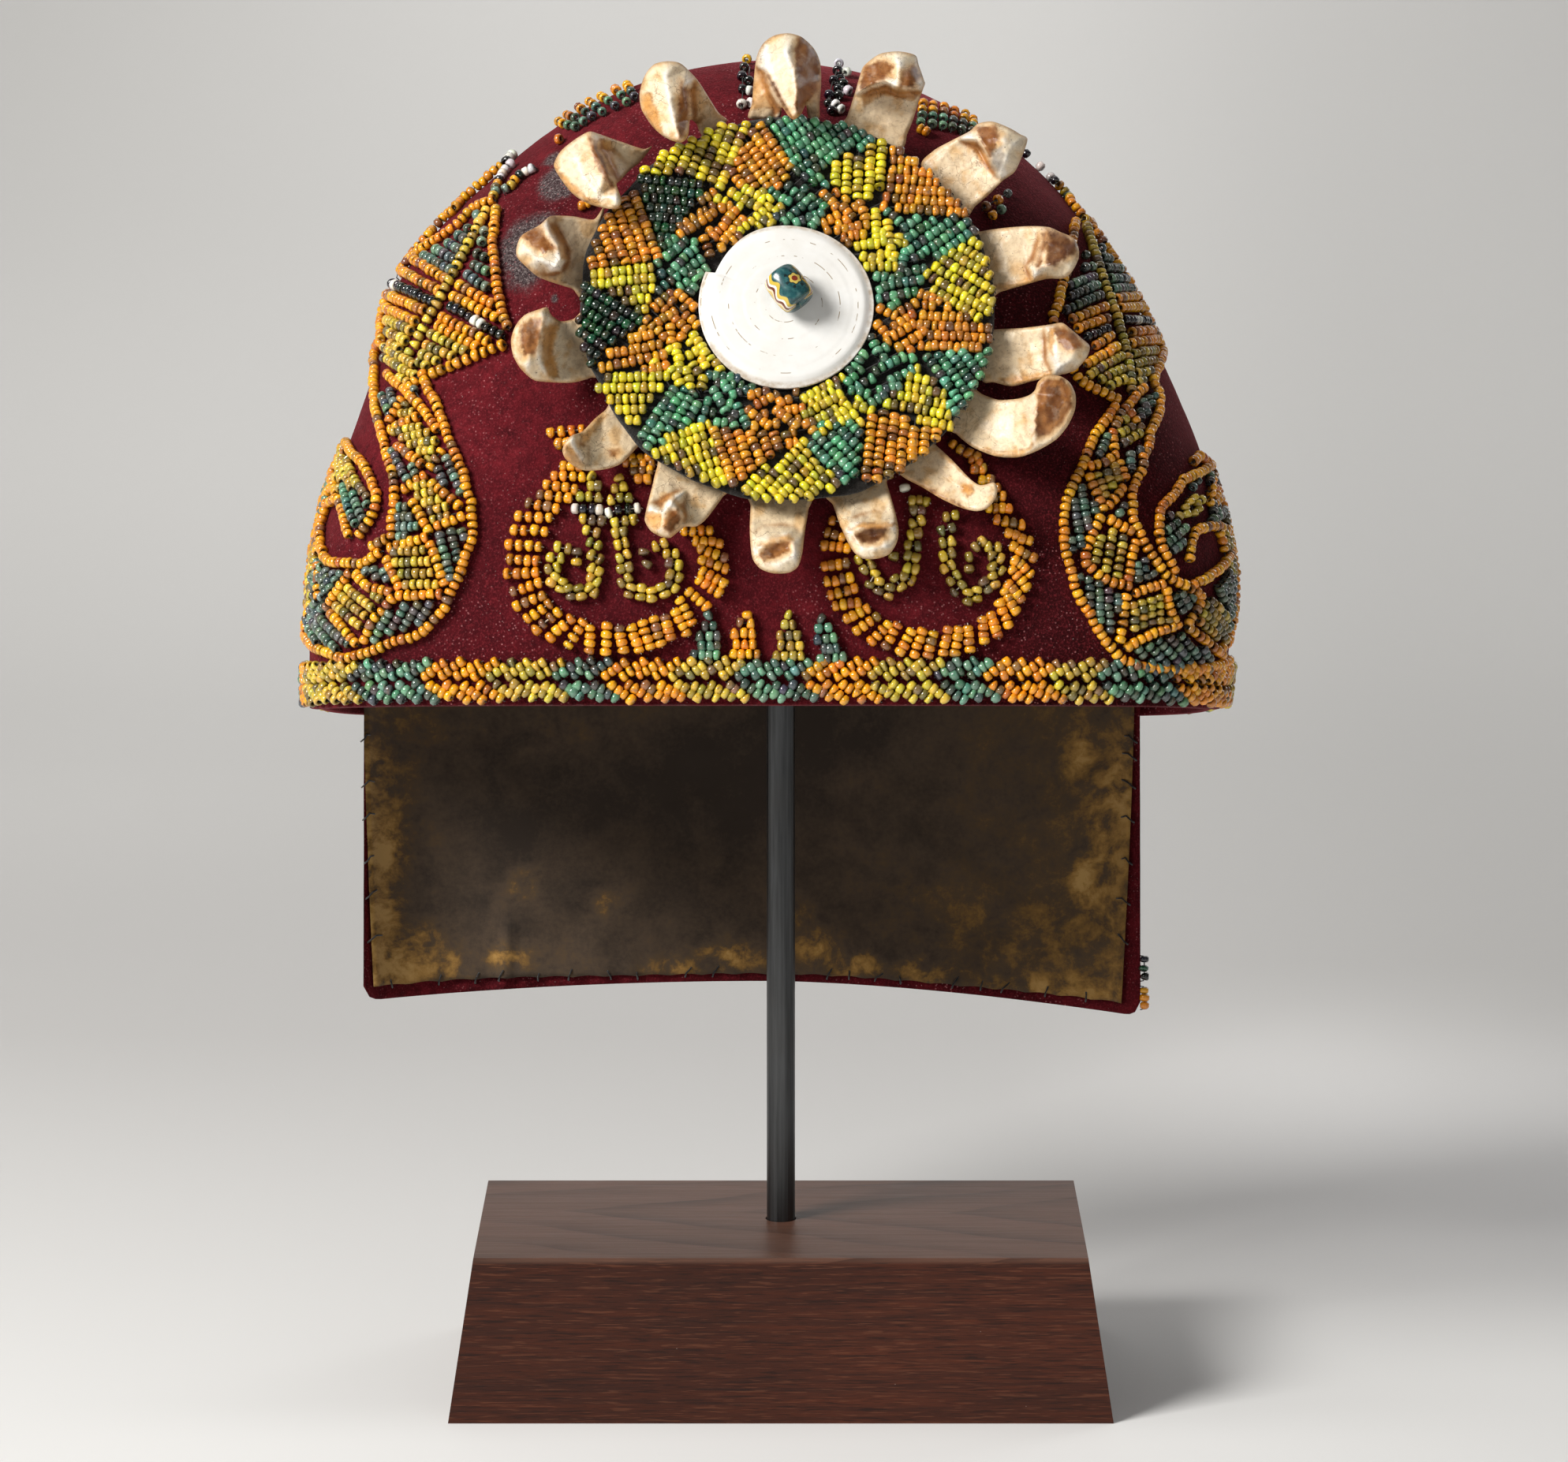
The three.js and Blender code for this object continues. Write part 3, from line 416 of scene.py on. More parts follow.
def shell_material():
    m = Mat("white_shell")
    m.set(Coat_Weight=0.25, Coat_Roughness=0.2, Specular_IOR_Level=0.5, IOR=1.5)
    p = m.attribute("loc", "Vector")
    x, y, z = m.separate(p)
    r = m.math("SQRT", m.math("ADD", m.math("MULTIPLY", x, x), m.math("MULTIPLY", y, y)))
    a = m.math("ARCTAN2", y, x)
    turn = m.math("ADD", r, m.math("MULTIPLY", a, 0.28))
    rings = m.math("PINGPONG", turn, 0.95)
    line = m.step(m.math("PINGPONG", turn, 1.9), 0.13, 0.04)
    dash = m.step(m.noise(0.42, 2.0, 0.6, p), 0.52, 0.58)
    broad = m.noise(0.16, 4.0, 0.6, p)
    colour = m.ramp(broad, (0.3, rgba((232, 229, 223))), (0.7, rgba((242, 241, 238))))
    colour = m.mix(m.math("MULTIPLY", m.math("MULTIPLY", line, dash), 0.95), colour, rgba((150, 128, 98)))
    rim = m.step(r, 17.1, 18.0)
    colour = m.mix(m.math("MULTIPLY", rim, m.span(m.noise(0.7, 3.0, 0.6, p), 0.3, 0.7, 0.1, 0.75)), colour, rgba((166, 140, 104)))
    m.feed("Base Color", colour)
    m.feed("Roughness", m.span(broad, 0.3, 0.7, 0.42, 0.3))
    m.feed("Normal", m.bump(rings, 0.03, 0.0003))
    return m.m


def trade_bead_material():
    m = Mat("patterned_glass_bead")
    m.set(Coat_Weight=0.4, Coat_Roughness=0.12, Roughness=0.24, IOR=1.5)
    p = m.attribute("loc", "Vector")         # along the axis, then the angle round it in turns
    axis, turn, _ = m.separate(p)
    wave = m.math("MULTIPLY", m.math("ADD", m.math("SINE", m.math("MULTIPLY", axis, 1.9)), m.math("MULTIPLY", m.math("SINE", m.math("MULTIPLY", axis, 0.8)), 0.8)), 0.02)
    band = m.math("ADD", turn, wave)
    blotch = m.noise(0.9, 4.0, 0.6, m.attribute("spot", "Vector"))
    colour = m.ramp(blotch, (0.3, rgba((20, 56, 62))), (0.52, rgba((34, 82, 86))), (0.8, rgba((78, 124, 120))))
    for centre, half, tone in ((-0.125, 0.024, (206, 178, 70)), (-0.158, 0.016, (240, 234, 220)), (-0.186, 0.02, (110, 48, 30)), (-0.215, 0.018, (224, 208, 176)),
                               (-0.25, 0.03, (200, 168, 66)), (0.165, 0.02, (200, 168, 66)), (0.196, 0.02, (116, 50, 30)), (0.228, 0.018, (214, 190, 110))):
        d = m.math("ABSOLUTE", m.math("SUBTRACT", band, centre))
        colour = m.mix(m.step(d, half, half * 0.6), colour, rgba(tone))
    # a flower eye
    sx, sy, sz = m.separate(m.attribute("spot", "Vector"))
    d = m.math("SQRT", m.math("ADD", m.math("MULTIPLY", sx, sx), m.math("MULTIPLY", sy, sy)))
    petals = m.math("ADD", d, m.math("MULTIPLY", m.math("SINE", m.math("MULTIPLY", m.math("ARCTAN2", sy, sx), 6.0)), 0.13))
    dots = m.math("MULTIPLY", m.step(m.math("ABSOLUTE", m.math("SUBTRACT", d, 1.95)), 0.42, 0.26), m.step(m.math("SINE", m.math("MULTIPLY", m.math("ARCTAN2", sy, sx), 7.0)), 0.35, 0.6))
    colour = m.mix(m.math("MULTIPLY", dots, 0.85), colour, rgba((18, 24, 28)))
    colour = m.mix(m.step(petals, 1.5, 1.38), colour, rgba((30, 40, 40)))
    colour = m.mix(m.step(petals, 1.3, 1.12), colour, rgba((216, 188, 92)))
    colour = m.mix(m.step(d, 0.72, 0.58), colour, rgba((134, 52, 34)))
    m.feed("Base Color", colour)
    return m.m


def tooth_material():
    m = Mat("worn_teeth")
    m.set(Specular_IOR_Level=0.28, Coat_Weight=0.06, Coat_Roughness=0.25)
    col = m.attribute("col", "Color")
    at = m.attribute("grain", "Vector")      # millimetres over each tooth
    streak = m.noise(0.9, 5.0, 0.7, at, 0.8)
    cloud = m.noise(240.0, 5.0, 0.65)
    fine = m.noise(1500.0, 3.0, 0.6)
    colour = m.mix(m.span(streak, 0.46, 0.76, 0.0, 0.62), col, m.mix(0.8, col, rgba((128, 84, 46)), "MULTIPLY"))
    colour = m.mix(m.span(cloud, 0.55, 0.78, 0.0, 0.22), colour, rgba((240, 230, 210)))
    # pits, cracks and dark specks
    specks = m.math("MULTIPLY", m.step(m.voronoi(850.0), 0.16, 0.08), m.step(m.noise(170.0, 3.0, 0.6), 0.5, 0.62))
    colour = m.mix(m.math("MULTIPLY", specks, 0.8), colour, rgba((60, 38, 22)))
    cracks = m.math("MULTIPLY", m.step(m.voronoi(0.34, m.node_distort(at), "DISTANCE_TO_EDGE"), 0.022, 0.004), m.step(m.noise(90.0, 2.0), 0.47, 0.6))
    colour = m.mix(m.math("MULTIPLY", cracks, 0.55), colour, rgba((96, 62, 36)))
    m.feed("Base Color", colour)
    m.feed("Roughness", m.span(cloud, 0.3, 0.7, 0.24, 0.46))
    m.feed("Normal", m.bump(fine, 0.08, 0.0003, m.bump(streak, 0.16, 0.0007)))
    return m.m


WOOD_TOP = max(v.co.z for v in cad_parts["base_block"].data.vertices)


def wood_material():
    m = Mat("dark_stained_wood")
    m.set(Specular_IOR_Level=0.16, Coat_Weight=0.25, Coat_Roughness=0.34)
    x, y, z = m.separate(m.coord())
    # growth rings of a plain-sawn board: nested arches on the top, close lines on the front
    drift = m.noise(14.0, 3.0, 0.5, m.stretch((0.4, 1.0, 1.0)))
    side = m.math("ADD", m.math("SUBTRACT", y, 0.006), m.math("MULTIPLY", m.math("SUBTRACT", drift, 0.5), 0.03))
    arch = m.math("SUBTRACT", m.math("ABSOLUTE", side), m.math("MULTIPLY", x, 0.38))
    warp = m.math("MULTIPLY", m.noise(22.0, 3.0, 0.5, m.stretch((0.35, 1.0, 1.0))), 1.5)
    ring = m.math("ADD", m.math("ADD", m.math("MULTIPLY", arch, 62.0), warp), m.math("MULTIPLY", z, 140.0))
    rings = m.math("MULTIPLY", m.math("POWER", m.math("FRACT", ring), 3.0), m.span(m.noise(60.0, 2.0, 0.5, m.stretch((0.3, 1.0, 1.0))), 0.3, 0.7, 0.25, 1.0))
    fibre = m.noise(900.0, 4.0, 0.7, m.stretch((0.03, 1.0, 1.0)))
    pores = m.noise(2500.0, 2.0, 0.6, m.stretch((0.05, 1.0, 1.0)))
    cloud = m.noise(18.0, 3.0, 0.5, m.stretch((0.4, 1.0, 1.0)))
    colour = m.ramp(cloud, (0.3, rgba((56, 25, 13))), (0.55, rgba((72, 33, 18))), (0.75, rgba((86, 41, 24))))
    upper = m.step(z, WOOD_TOP - 0.0016, WOOD_TOP - 0.0004)
    colour = m.mix(m.math("MULTIPLY", m.span(rings, 0.05, 0.9, 0.0, 0.8), m.span(upper, 0.0, 1.0, 0.3, 1.0)), colour, rgba((34, 15, 9)))
    colour = m.mix(m.span(fibre, 0.36, 0.68, 0.0, 0.75), colour, rgba((40, 18, 11)))
    colour = m.mix(m.math("MULTIPLY", m.step(pores, 0.54, 0.66), 0.6), colour, rgba((24, 11, 7)))
    colour = m.mix(m.math("MULTIPLY", m.step(pores, 0.42, 0.34), 0.25), colour, rgba((126, 78, 54)))
    # painted reflection: the top face is drawn lighter and greyer, standing in for the light glancing off it
    colour = m.mix(m.math("MULTIPLY", upper, m.span(rings, 0.05, 0.9, 0.38, 0.12)), colour, rgba((128, 96, 80)))
    dust = m.step(m.voronoi(150.0), 0.02, 0.008)
    colour = m.mix(m.math("MULTIPLY", dust, 0.5), colour, rgba((170, 150, 140)))
    m.feed("Base Color", colour)
    m.feed("Roughness", m.span(fibre, 0.3, 0.7, 0.42, 0.56))
    m.feed("Normal", m.bump(pores, 0.3, 0.0003, m.bump(fibre, 0.15, 0.0004)))
    return m.m


def steel_material():
    m = Mat("blackened_steel")
    m.set(Metallic=0.9)
    streak = m.noise(60.0, 4.0, 0.6, m.stretch((9.0, 9.0, 0.35)))
    cloud = m.noise(45.0, 4.0, 0.6)
    colour = m.ramp(streak, (0.3, rgba((52, 53, 54))), (0.7, rgba((88, 89, 90))))
    colour = m.mix(m.span(cloud, 0.45, 0.75, 0.0, 0.5), colour, rgba((78, 76, 74)))
    m.feed("Base Color", colour)
    m.feed("Roughness", m.span(cloud, 0.3, 0.7, 0.3, 0.46))
    m.feed("Normal", m.bump(streak, 0.05, 0.0002))
    return m.m


VELVET = velvet_material()
BEADS = bead_material()
THREAD = thread_material()
DARK_THREAD = dark_thread_material()
FELT = felt_material()
LINING = lining_material()
SHELL = shell_material()
TRADE_BEAD = trade_bead_material()
TOOTH = tooth_material()
WOOD = wood_material()
STEEL = steel_material()

# ------------------------------------------------------------------ the crown's surface
CAP = np.array([-3.3, 0.0, 151.4])
TILT = math.radians(11.5)
CAP_AXES = np.array([[1, 0, 0], [0, math.cos(TILT), -math.sin(TILT)], [0, math.sin(TILT), math.cos(TILT)]])
# height, reach left, right, front, back, squareness
SECTIONS = np.array([
    [-1.8, 100.0, 99.5, 64.0, 64.0, 4.2], [14, 100.0, 101.5, 65.5, 65.5, 4.2], [30, 99.0, 102.0, 66.0, 66.0, 4.0],
    [47, 96.0, 99.0, 64.0, 65.0, 3.7], [62, 91.0, 94.0, 61.0, 62.5, 3.4], [78, 86.0, 87.5, 57.0, 58.5, 3.1],
    [93, 82.5, 80.5, 52.0, 53.5, 2.9], [106, 73.5, 72.5, 46.0, 47.5, 2.7], [118, 61.5, 63.0, 38.5, 40.0, 2.5],
    [128, 50.0, 52.0, 30.5, 32.0, 2.4], [136, 37.5, 39.0, 22.5, 23.5, 2.3], [142, 23.0, 24.0, 13.5, 14.0, 2.2],
    [145, 9.0, 9.0, 5.5, 5.5, 2.1], [145.6, 0.0, 0.0, 0.0, 0.0, 2.1]])
HOLLOWS = [(-58, 28, 11, 16, 0.9), (66, 62, 9, 14, 0.8), (-4, 18, 12, 9, 0.6), (-150, 60, 26, 20, 1.6),
           (170, 48, 30, 18, 1.8), (250, 70, 22, 24, 1.4)]
ROWS, COLS = 390, 512


def sections(t):
    last = len(SECTIONS) - 1
    i = np.minimum(np.floor(t).astype(int), last - 1)
    f = (t - i)[:, None]
    p1, p2 = SECTIONS[i], SECTIONS[i + 1]
    p0 = np.where((i > 0)[:, None], SECTIONS[np.maximum(i - 1, 0)], 2 * p1 - p2)
    p3 = np.where((i + 2 <= last)[:, None], SECTIONS[np.minimum(i + 2, last)], 2 * p2 - p1)
    p3[:, 0] = np.where(i + 2 > last, p1[:, 0], p3[:, 0])
    m1, m2 = (p2 - p0) / 2, (p3 - p1) / 2
    return (2 * f ** 3 - 3 * f ** 2 + 1) * p1 + (f ** 3 - 2 * f ** 2 + f) * m1 + (3 * f ** 2 - 2 * f ** 3) * p2 + (f ** 3 - f ** 2) * m2


def crown_table():
    rows = sections(np.linspace(0, len(SECTIONS) - 1, ROWS))
    grid = np.zeros((ROWS, COLS, 2))
    length = np.zeros(ROWS)
    a = np.linspace(0, 2 * math.pi, 257)
    for i, (h, left, right, front, back, power) in enumerate(rows):
        x = np.sign(np.sin(a)) * np.abs(np.sin(a)) ** (2 / power)
        y = -np.sign(np.cos(a)) * np.abs(np.cos(a)) ** (2 / power)
        x = np.where(x > 0, x * right, x * left)
        y = np.where(y > 0, y * back, y * front)
        run = np.concatenate([[0], np.cumsum(np.hypot(np.diff(x), np.diff(y)))])
        length[i] = run[-1]
        s = np.arange(COLS) / COLS * run[-1]
        px, py = np.interp(s, run, x), np.interp(s, run, y)
        sink = np.zeros(COLS)
        for hs, hh, ws, wh, depth in HOLLOWS:
            if run[-1] < 1e-6:
                continue
            raw = np.abs(s - hs % run[-1])
            ds = np.minimum(raw, run[-1] - raw) / ws
            sink += depth * np.exp(-ds * ds - ((h - hh) / wh) ** 2)
        k = 1 - sink / np.maximum(np.hypot(px, py), 1)
        grid[i, :, 0], grid[i, :, 1] = px * k, py * k
    return rows[:, 0], length, grid


HEIGHT, LENGTH, GRID = crown_table()


def to_world(p):
    return CAP + p @ CAP_AXES


def to_cap(p):
    return (np.asarray(p, float) - CAP) @ CAP_AXES.T


def wall_point(s, h):
    s = np.asarray(s, float)
    h = np.clip(np.asarray(h, float), HEIGHT[0], HEIGHT[-1] - 0.03)
    t = np.interp(h, HEIGHT, np.arange(ROWS))
    i = np.minimum(t.astype(int), ROWS - 2)
    f = (t - i)[..., None]
    run = LENGTH[i] * (1 - f[..., 0]) + LENGTH[i + 1] * f[..., 0]
    u = (s / np.maximum(run, 1e-6)) % 1.0 * COLS
    j = np.floor(u).astype(int) % COLS
    g = (u - np.floor(u))[..., None]
    k = (j + 1) % COLS
    p = (GRID[i, j] * (1 - g) + GRID[i, k] * g) * (1 - f) + (GRID[i + 1, j] * (1 - g) + GRID[i + 1, k] * g) * f
    return np.concatenate([p, h[..., None]], -1)


def wall(s, h, lift=0.0):
    """World position on the crown, raised by lift, with the directions round, up and out."""
    s, h = np.broadcast_arrays(np.asarray(s, float), np.asarray(h, float))
    e = 0.7
    p = wall_point(s, h)
    a = unit(wall_point(s + e, h) - wall_point(s - e, h))
    b = unit(wall_point(s, np.minimum(h + e, 145.5)) - wall_point(s, np.minimum(h, 144.8) - e))
    n = unit(np.cross(a, b))
    lift = np.broadcast_to(np.asarray(lift, float), s.shape)
    return to_world(p + lift[..., None] * n), a @ CAP_AXES, b @ CAP_AXES, n @ CAP_AXES


def wall_place(points):
    """(s, h) of world points that lie on or near the crown."""
    q = to_cap(np.atleast_2d(points))
    out = np.zeros((len(q), 2))
    for n, (x, y, h) in enumerate(q):
        h = min(max(h, HEIGHT[0] + 0.01), HEIGHT[-1] - 0.1)
        t = np.interp(h, HEIGHT, np.arange(ROWS))
        i = int(t)
        f = t - i
        row = GRID[i] * (1 - f) + GRID[i + 1] * f
        run = LENGTH[i] * (1 - f) + LENGTH[i + 1] * f
        j = int(np.argmin((row[:, 0] - x) ** 2 + (row[:, 1] - y) ** 2))
        before, after = row[(j - 1) % COLS], row[(j + 1) % COLS]
        d = after - before
        g = float(np.dot(np.array([x, y]) - row[j], d) / max(np.dot(d, d), 1e-9)) * 2
        s = (j + g) / COLS * run
        out[n] = (s if s <= run / 2 else s - run, h)
    return out


def crown_tree():
    rows = np.unique(np.concatenate([np.arange(0, ROWS, 3), [ROWS - 1]]))
    cols = np.arange(0, COLS, 2)
    p = np.concatenate([GRID[rows][:, cols], np.broadcast_to(HEIGHT[rows][:, None, None], (len(rows), len(cols), 1))], -1)
    w = to_world(p.reshape(-1, 3))
    return BVHTree.FromPolygons([tuple(v) for v in w], [tuple(int(i) for i in q) for q in ring_quads(len(rows), len(cols))])


TREE = crown_tree()


def wall_pixel(x, y):
    """The place on the crown that the camera sees at a pixel of the photograph's frame, or close inside its outline."""
    for _ in range(40):
        hit = TREE.ray_cast(Vector(EYE), Vector(ray(x, y)))
        if hit[0] is not None:
            return np.array(hit[0])
        step = np.array([994.0 - x, 620.0 - y])
        step /= np.linalg.norm(step)
        x, y = x + 1.5 * step[0], y + 1.5 * step[1]
    raise ValueError("a pixel is far off the crown")


# ------------------------------------------------------------------ beads
TONES = {
    "orange": [((255, 172, 24), 0.40), ((250, 160, 24), 0.28), ((232, 144, 26), 0.18), ((198, 120, 34), 0.09), ((146, 100, 60), 0.05)],
    "amber": [((234, 156, 34), 0.36), ((218, 141, 32), 0.30), ((184, 115, 32), 0.20), ((124, 82, 38), 0.14)],
    "lime": [((242, 220, 44), 0.46), ((222, 200, 46), 0.28), ((180, 158, 50), 0.15), ((108, 90, 48), 0.11)],
    "yellow": [((226, 192, 60), 0.36), ((206, 172, 58), 0.30), ((174, 144, 62), 0.20), ((128, 108, 66), 0.14)],
    "olive": [((214, 180, 58), 0.34), ((190, 156, 50), 0.30), ((152, 126, 48), 0.22), ((108, 92, 56), 0.14)],
    "green": [((112, 160, 128), 0.28), ((88, 128, 104), 0.28), ((74, 92, 82), 0.24), ((72, 76, 72), 0.20)],
    "jade": [((98, 164, 124), 0.34), ((76, 132, 100), 0.34), ((54, 92, 70), 0.20), ((62, 70, 62), 0.12)],
    "dark": [((32, 76, 46), 0.32), ((24, 52, 34), 0.34), ((26, 40, 30), 0.20), ((38, 38, 34), 0.14)],
    "grey": [((104, 130, 110), 0.28), ((84, 102, 90), 0.28), ((84, 82, 76), 0.26), ((60, 70, 62), 0.18)],
    "black": [((16, 16, 18), 0.6), ((26, 26, 28), 0.4)],
    "white": [((246, 243, 236), 0.6), ((230, 224, 214), 0.4)],
}
DIRT = {"orange": 0.55, "amber": 0.7, "lime": 0.65, "yellow": 0.6, "olive": 0.5, "green": 0.4, "jade": 0.45, "dark": 0.3, "grey": 0.4,
        "black": 0.1, "white": 0.25}
PITCH_ALONG = 1.54          # bead to bead on a string, millimetres
PITCH_ACROSS = 2.2          # string to string
BEAD_RADIUS = 1.14
BEAD_HALF = 0.79


class Strands:
    """Beads of one piece, with the thread that runs through them."""

    def __init__(self, name, slot, nodes):
        self.name, self.slot, self.nodes = name, slot, nodes
        self.rows = []          # position, axis, normal, tone, scale
        self.threads = []

    def string(self, points, normals, tones, bigger=1.0):
        """Bead centres along one string, in order."""
        points = np.asarray(points, float)
        normals = unit(normals)
        n = len(points)
        if n == 1:
            axis = unit(np.cross(normals[0], rng.normal(size=3)))[None]
        else:
            axis = np.zeros_like(points)
            axis[0], axis[-1] = points[1] - points[0], points[-1] - points[-2]
            if n > 2:
                axis[1:-1] = points[2:] - points[:-2]
        axis = unit(axis - (axis * normals).sum(1, keepdims=True) * normals)
        for k in range(n):
            tone = tones if isinstance(tones, str) else tones[min(k, len(tones) - 1)]
            self.rows.append((points[k], axis[k], normals[k], tone, bigger, len(self.threads)))
        self.threads.append((points, axis, normals))


def spaced(points, pitch=PITCH_ALONG, count=None):
    """Points at an even pitch along a polyline, ends included."""
    points = np.asarray(points, float)
    run = np.concatenate([[0], np.cumsum(np.linalg.norm(np.diff(points, axis=0), axis=1))])
    n = count or max(1, int(round(run[-1] / pitch)) + 1)
    at = np.linspace(0, run[-1], n) if n > 1 else np.array([run[-1] / 2])
    return np.stack([np.interp(at, run, points[:, k]) for k in range(3)], 1)


LIFT = 1.2


def on_wall(points, lift=LIFT):
    sh = wall_place(points)
    p, _, _, n = wall(sh[:, 0], sh[:, 1], lift)
    return p, n


def wall_run(strands, pixels, tones, count=None, bigger=1.0, lift=LIFT, pitch=PITCH_ALONG):
    """A string of beads along a line of photograph pixels on the crown."""
    pixels = np.asarray(pixels, float)
    dense = [pixels[0]]
    for a, b in zip(pixels[:-1], pixels[1:]):
        k = max(2, int(np.linalg.norm(b - a) / 6) + 1)
        dense += [a + (b - a) * f for f in np.linspace(0, 1, k)[1:]]
    world = np.array([wall_pixel(*p) for p in dense])
    beads = spaced(world, pitch, count) if len(world) > 1 else world
    p, n = on_wall(beads, lift)
    strands.string(p, n, tones, bigger)


def wall_line(strands, sh, tones, count=None):
    """A string along a line given as (s, h) on the crown."""
    sh = np.asarray(sh, float)
    dense = np.concatenate([a + (b - a) * np.linspace(0, 1, 8, endpoint=False)[:, None] for a, b in zip(sh[:-1], sh[1:])] + [sh[-1:]])
    p, _, _, _ = wall(dense[:, 0], dense[:, 1], 0.0)
    q, n = on_wall(spaced(p, 1.72, count))
    strands.string(q, n, tones, 1.06)


def hatch(poly, direction, across=PITCH_ACROSS, along=PITCH_ALONG, margin=0.35, start=0.5):
    """Rows of bead centres that fill a flat outline: list of (n, 2) arrays."""
    poly = np.asarray(poly, float)
    d = unit(np.asarray(direction, float))
    e = np.array([-d[1], d[0]])
    q = np.stack([poly @ d, poly @ e], 1)
    low, high = q[:, 1].min(), q[:, 1].max()
    n = max(1, int(round((high - low) / across)))
    step = (high - low) / n
    rows = []
    for k in range(n):
        y = low + (k + start) * step
        cuts = []
        for (x0, y0), (x1, y1) in zip(q, np.roll(q, -1, axis=0)):
            if (y0 > y) != (y1 > y):
                cuts.append(x0 + (y - y0) / (y1 - y0) * (x1 - x0))
        cuts.sort()
        for x0, x1 in zip(cuts[::2], cuts[1::2]):
            room = x1 - x0 - 2 * margin
            if room < along * 0.55:
                continue
            count = max(1, int(round(room / along)))
            xs = (x0 + x1) / 2 + (np.arange(count) - (count - 1) / 2) * min(along * 1.06, room / count)
            rows.append(np.outer(xs, d) + np.outer(np.full(count, y), e))
    return rows


def wall_fill(strands, pixels, direction, tone, **options):
    """Fills an outline of photograph pixels on the crown with rows along a pixel direction."""
    world = np.array([wall_pixel(*p) for p in pixels])
    fill_on_wall(strands, world, np.array([wall_pixel(*(np.mean(pixels, 0) + 4 * np.asarray(direction) * k)) for k in (-1, 1)]), tone, **options)


def fill_on_wall(strands, world, heading, tone, **options):
    centre = world.mean(0)
    sh = wall_place(centre)
    _, a, b, n = (v[0] for v in wall(sh[:, 0], sh[:, 1]))
    flat = np.stack([(world - centre) @ a, (world - centre) @ b], 1)
    d = heading[1] - heading[0]
    d = np.array([d @ a, d @ b])
    for row in hatch(flat, d, **options):
        p = centre + row[:, :1] * a + row[:, 1:] * b
        hits = []
        for q in p:
            hit = TREE.ray_cast(Vector(q + 25 * n), Vector(-n))
            if hit[0] is not None:
                hits.append(np.array(hit[0]))
        if hits:
            q, m = on_wall(np.array(hits))
            strands.string(q, m, tone)


def place_fill(strands, sh, direction, tone, **options):
    """Fills an outline given as (s, h) on the crown."""
    sh = np.asarray(sh, float)
    world = wall(sh[:, 0], sh[:, 1])[0]
    mid = sh.mean(0)
    d = unit(np.asarray(direction, float)) * 1.5
    heading = wall(np.array([mid[0] - d[0], mid[0] + d[0]]), np.array([mid[1] - d[1], mid[1] + d[1]]))[0]
    fill_on_wall(strands, world, heading, tone, **options)


BEAD_PROFILE = np.array([(0.34, 0.62), (0.64, 1.0), (0.99, 0.50), (0.99, -0.50), (0.64, -1.0), (0.34, -0.62)])
BEAD_SIDES = 9


def pruned(rows, closest=1.3):
    """Leaves out beads that would sit inside one placed before."""
    cells = {}
    kept = []
    for row in rows:
        p = row[0]
        key = tuple(np.floor(p / 2.0).astype(int))
        clear = True
        for dx in (-1, 0, 1):
            for dy in (-1, 0, 1):
                for dz in (-1, 0, 1):
                    for q in cells.get((key[0] + dx, key[1] + dy, key[2] + dz), ()):
                        if np.dot(p - q, p - q) < closest * closest:
                            clear = False
        if clear:
            cells.setdefault(key, []).append(p)
            kept.append(row)
    return kept


BEAD_COUNT = 0


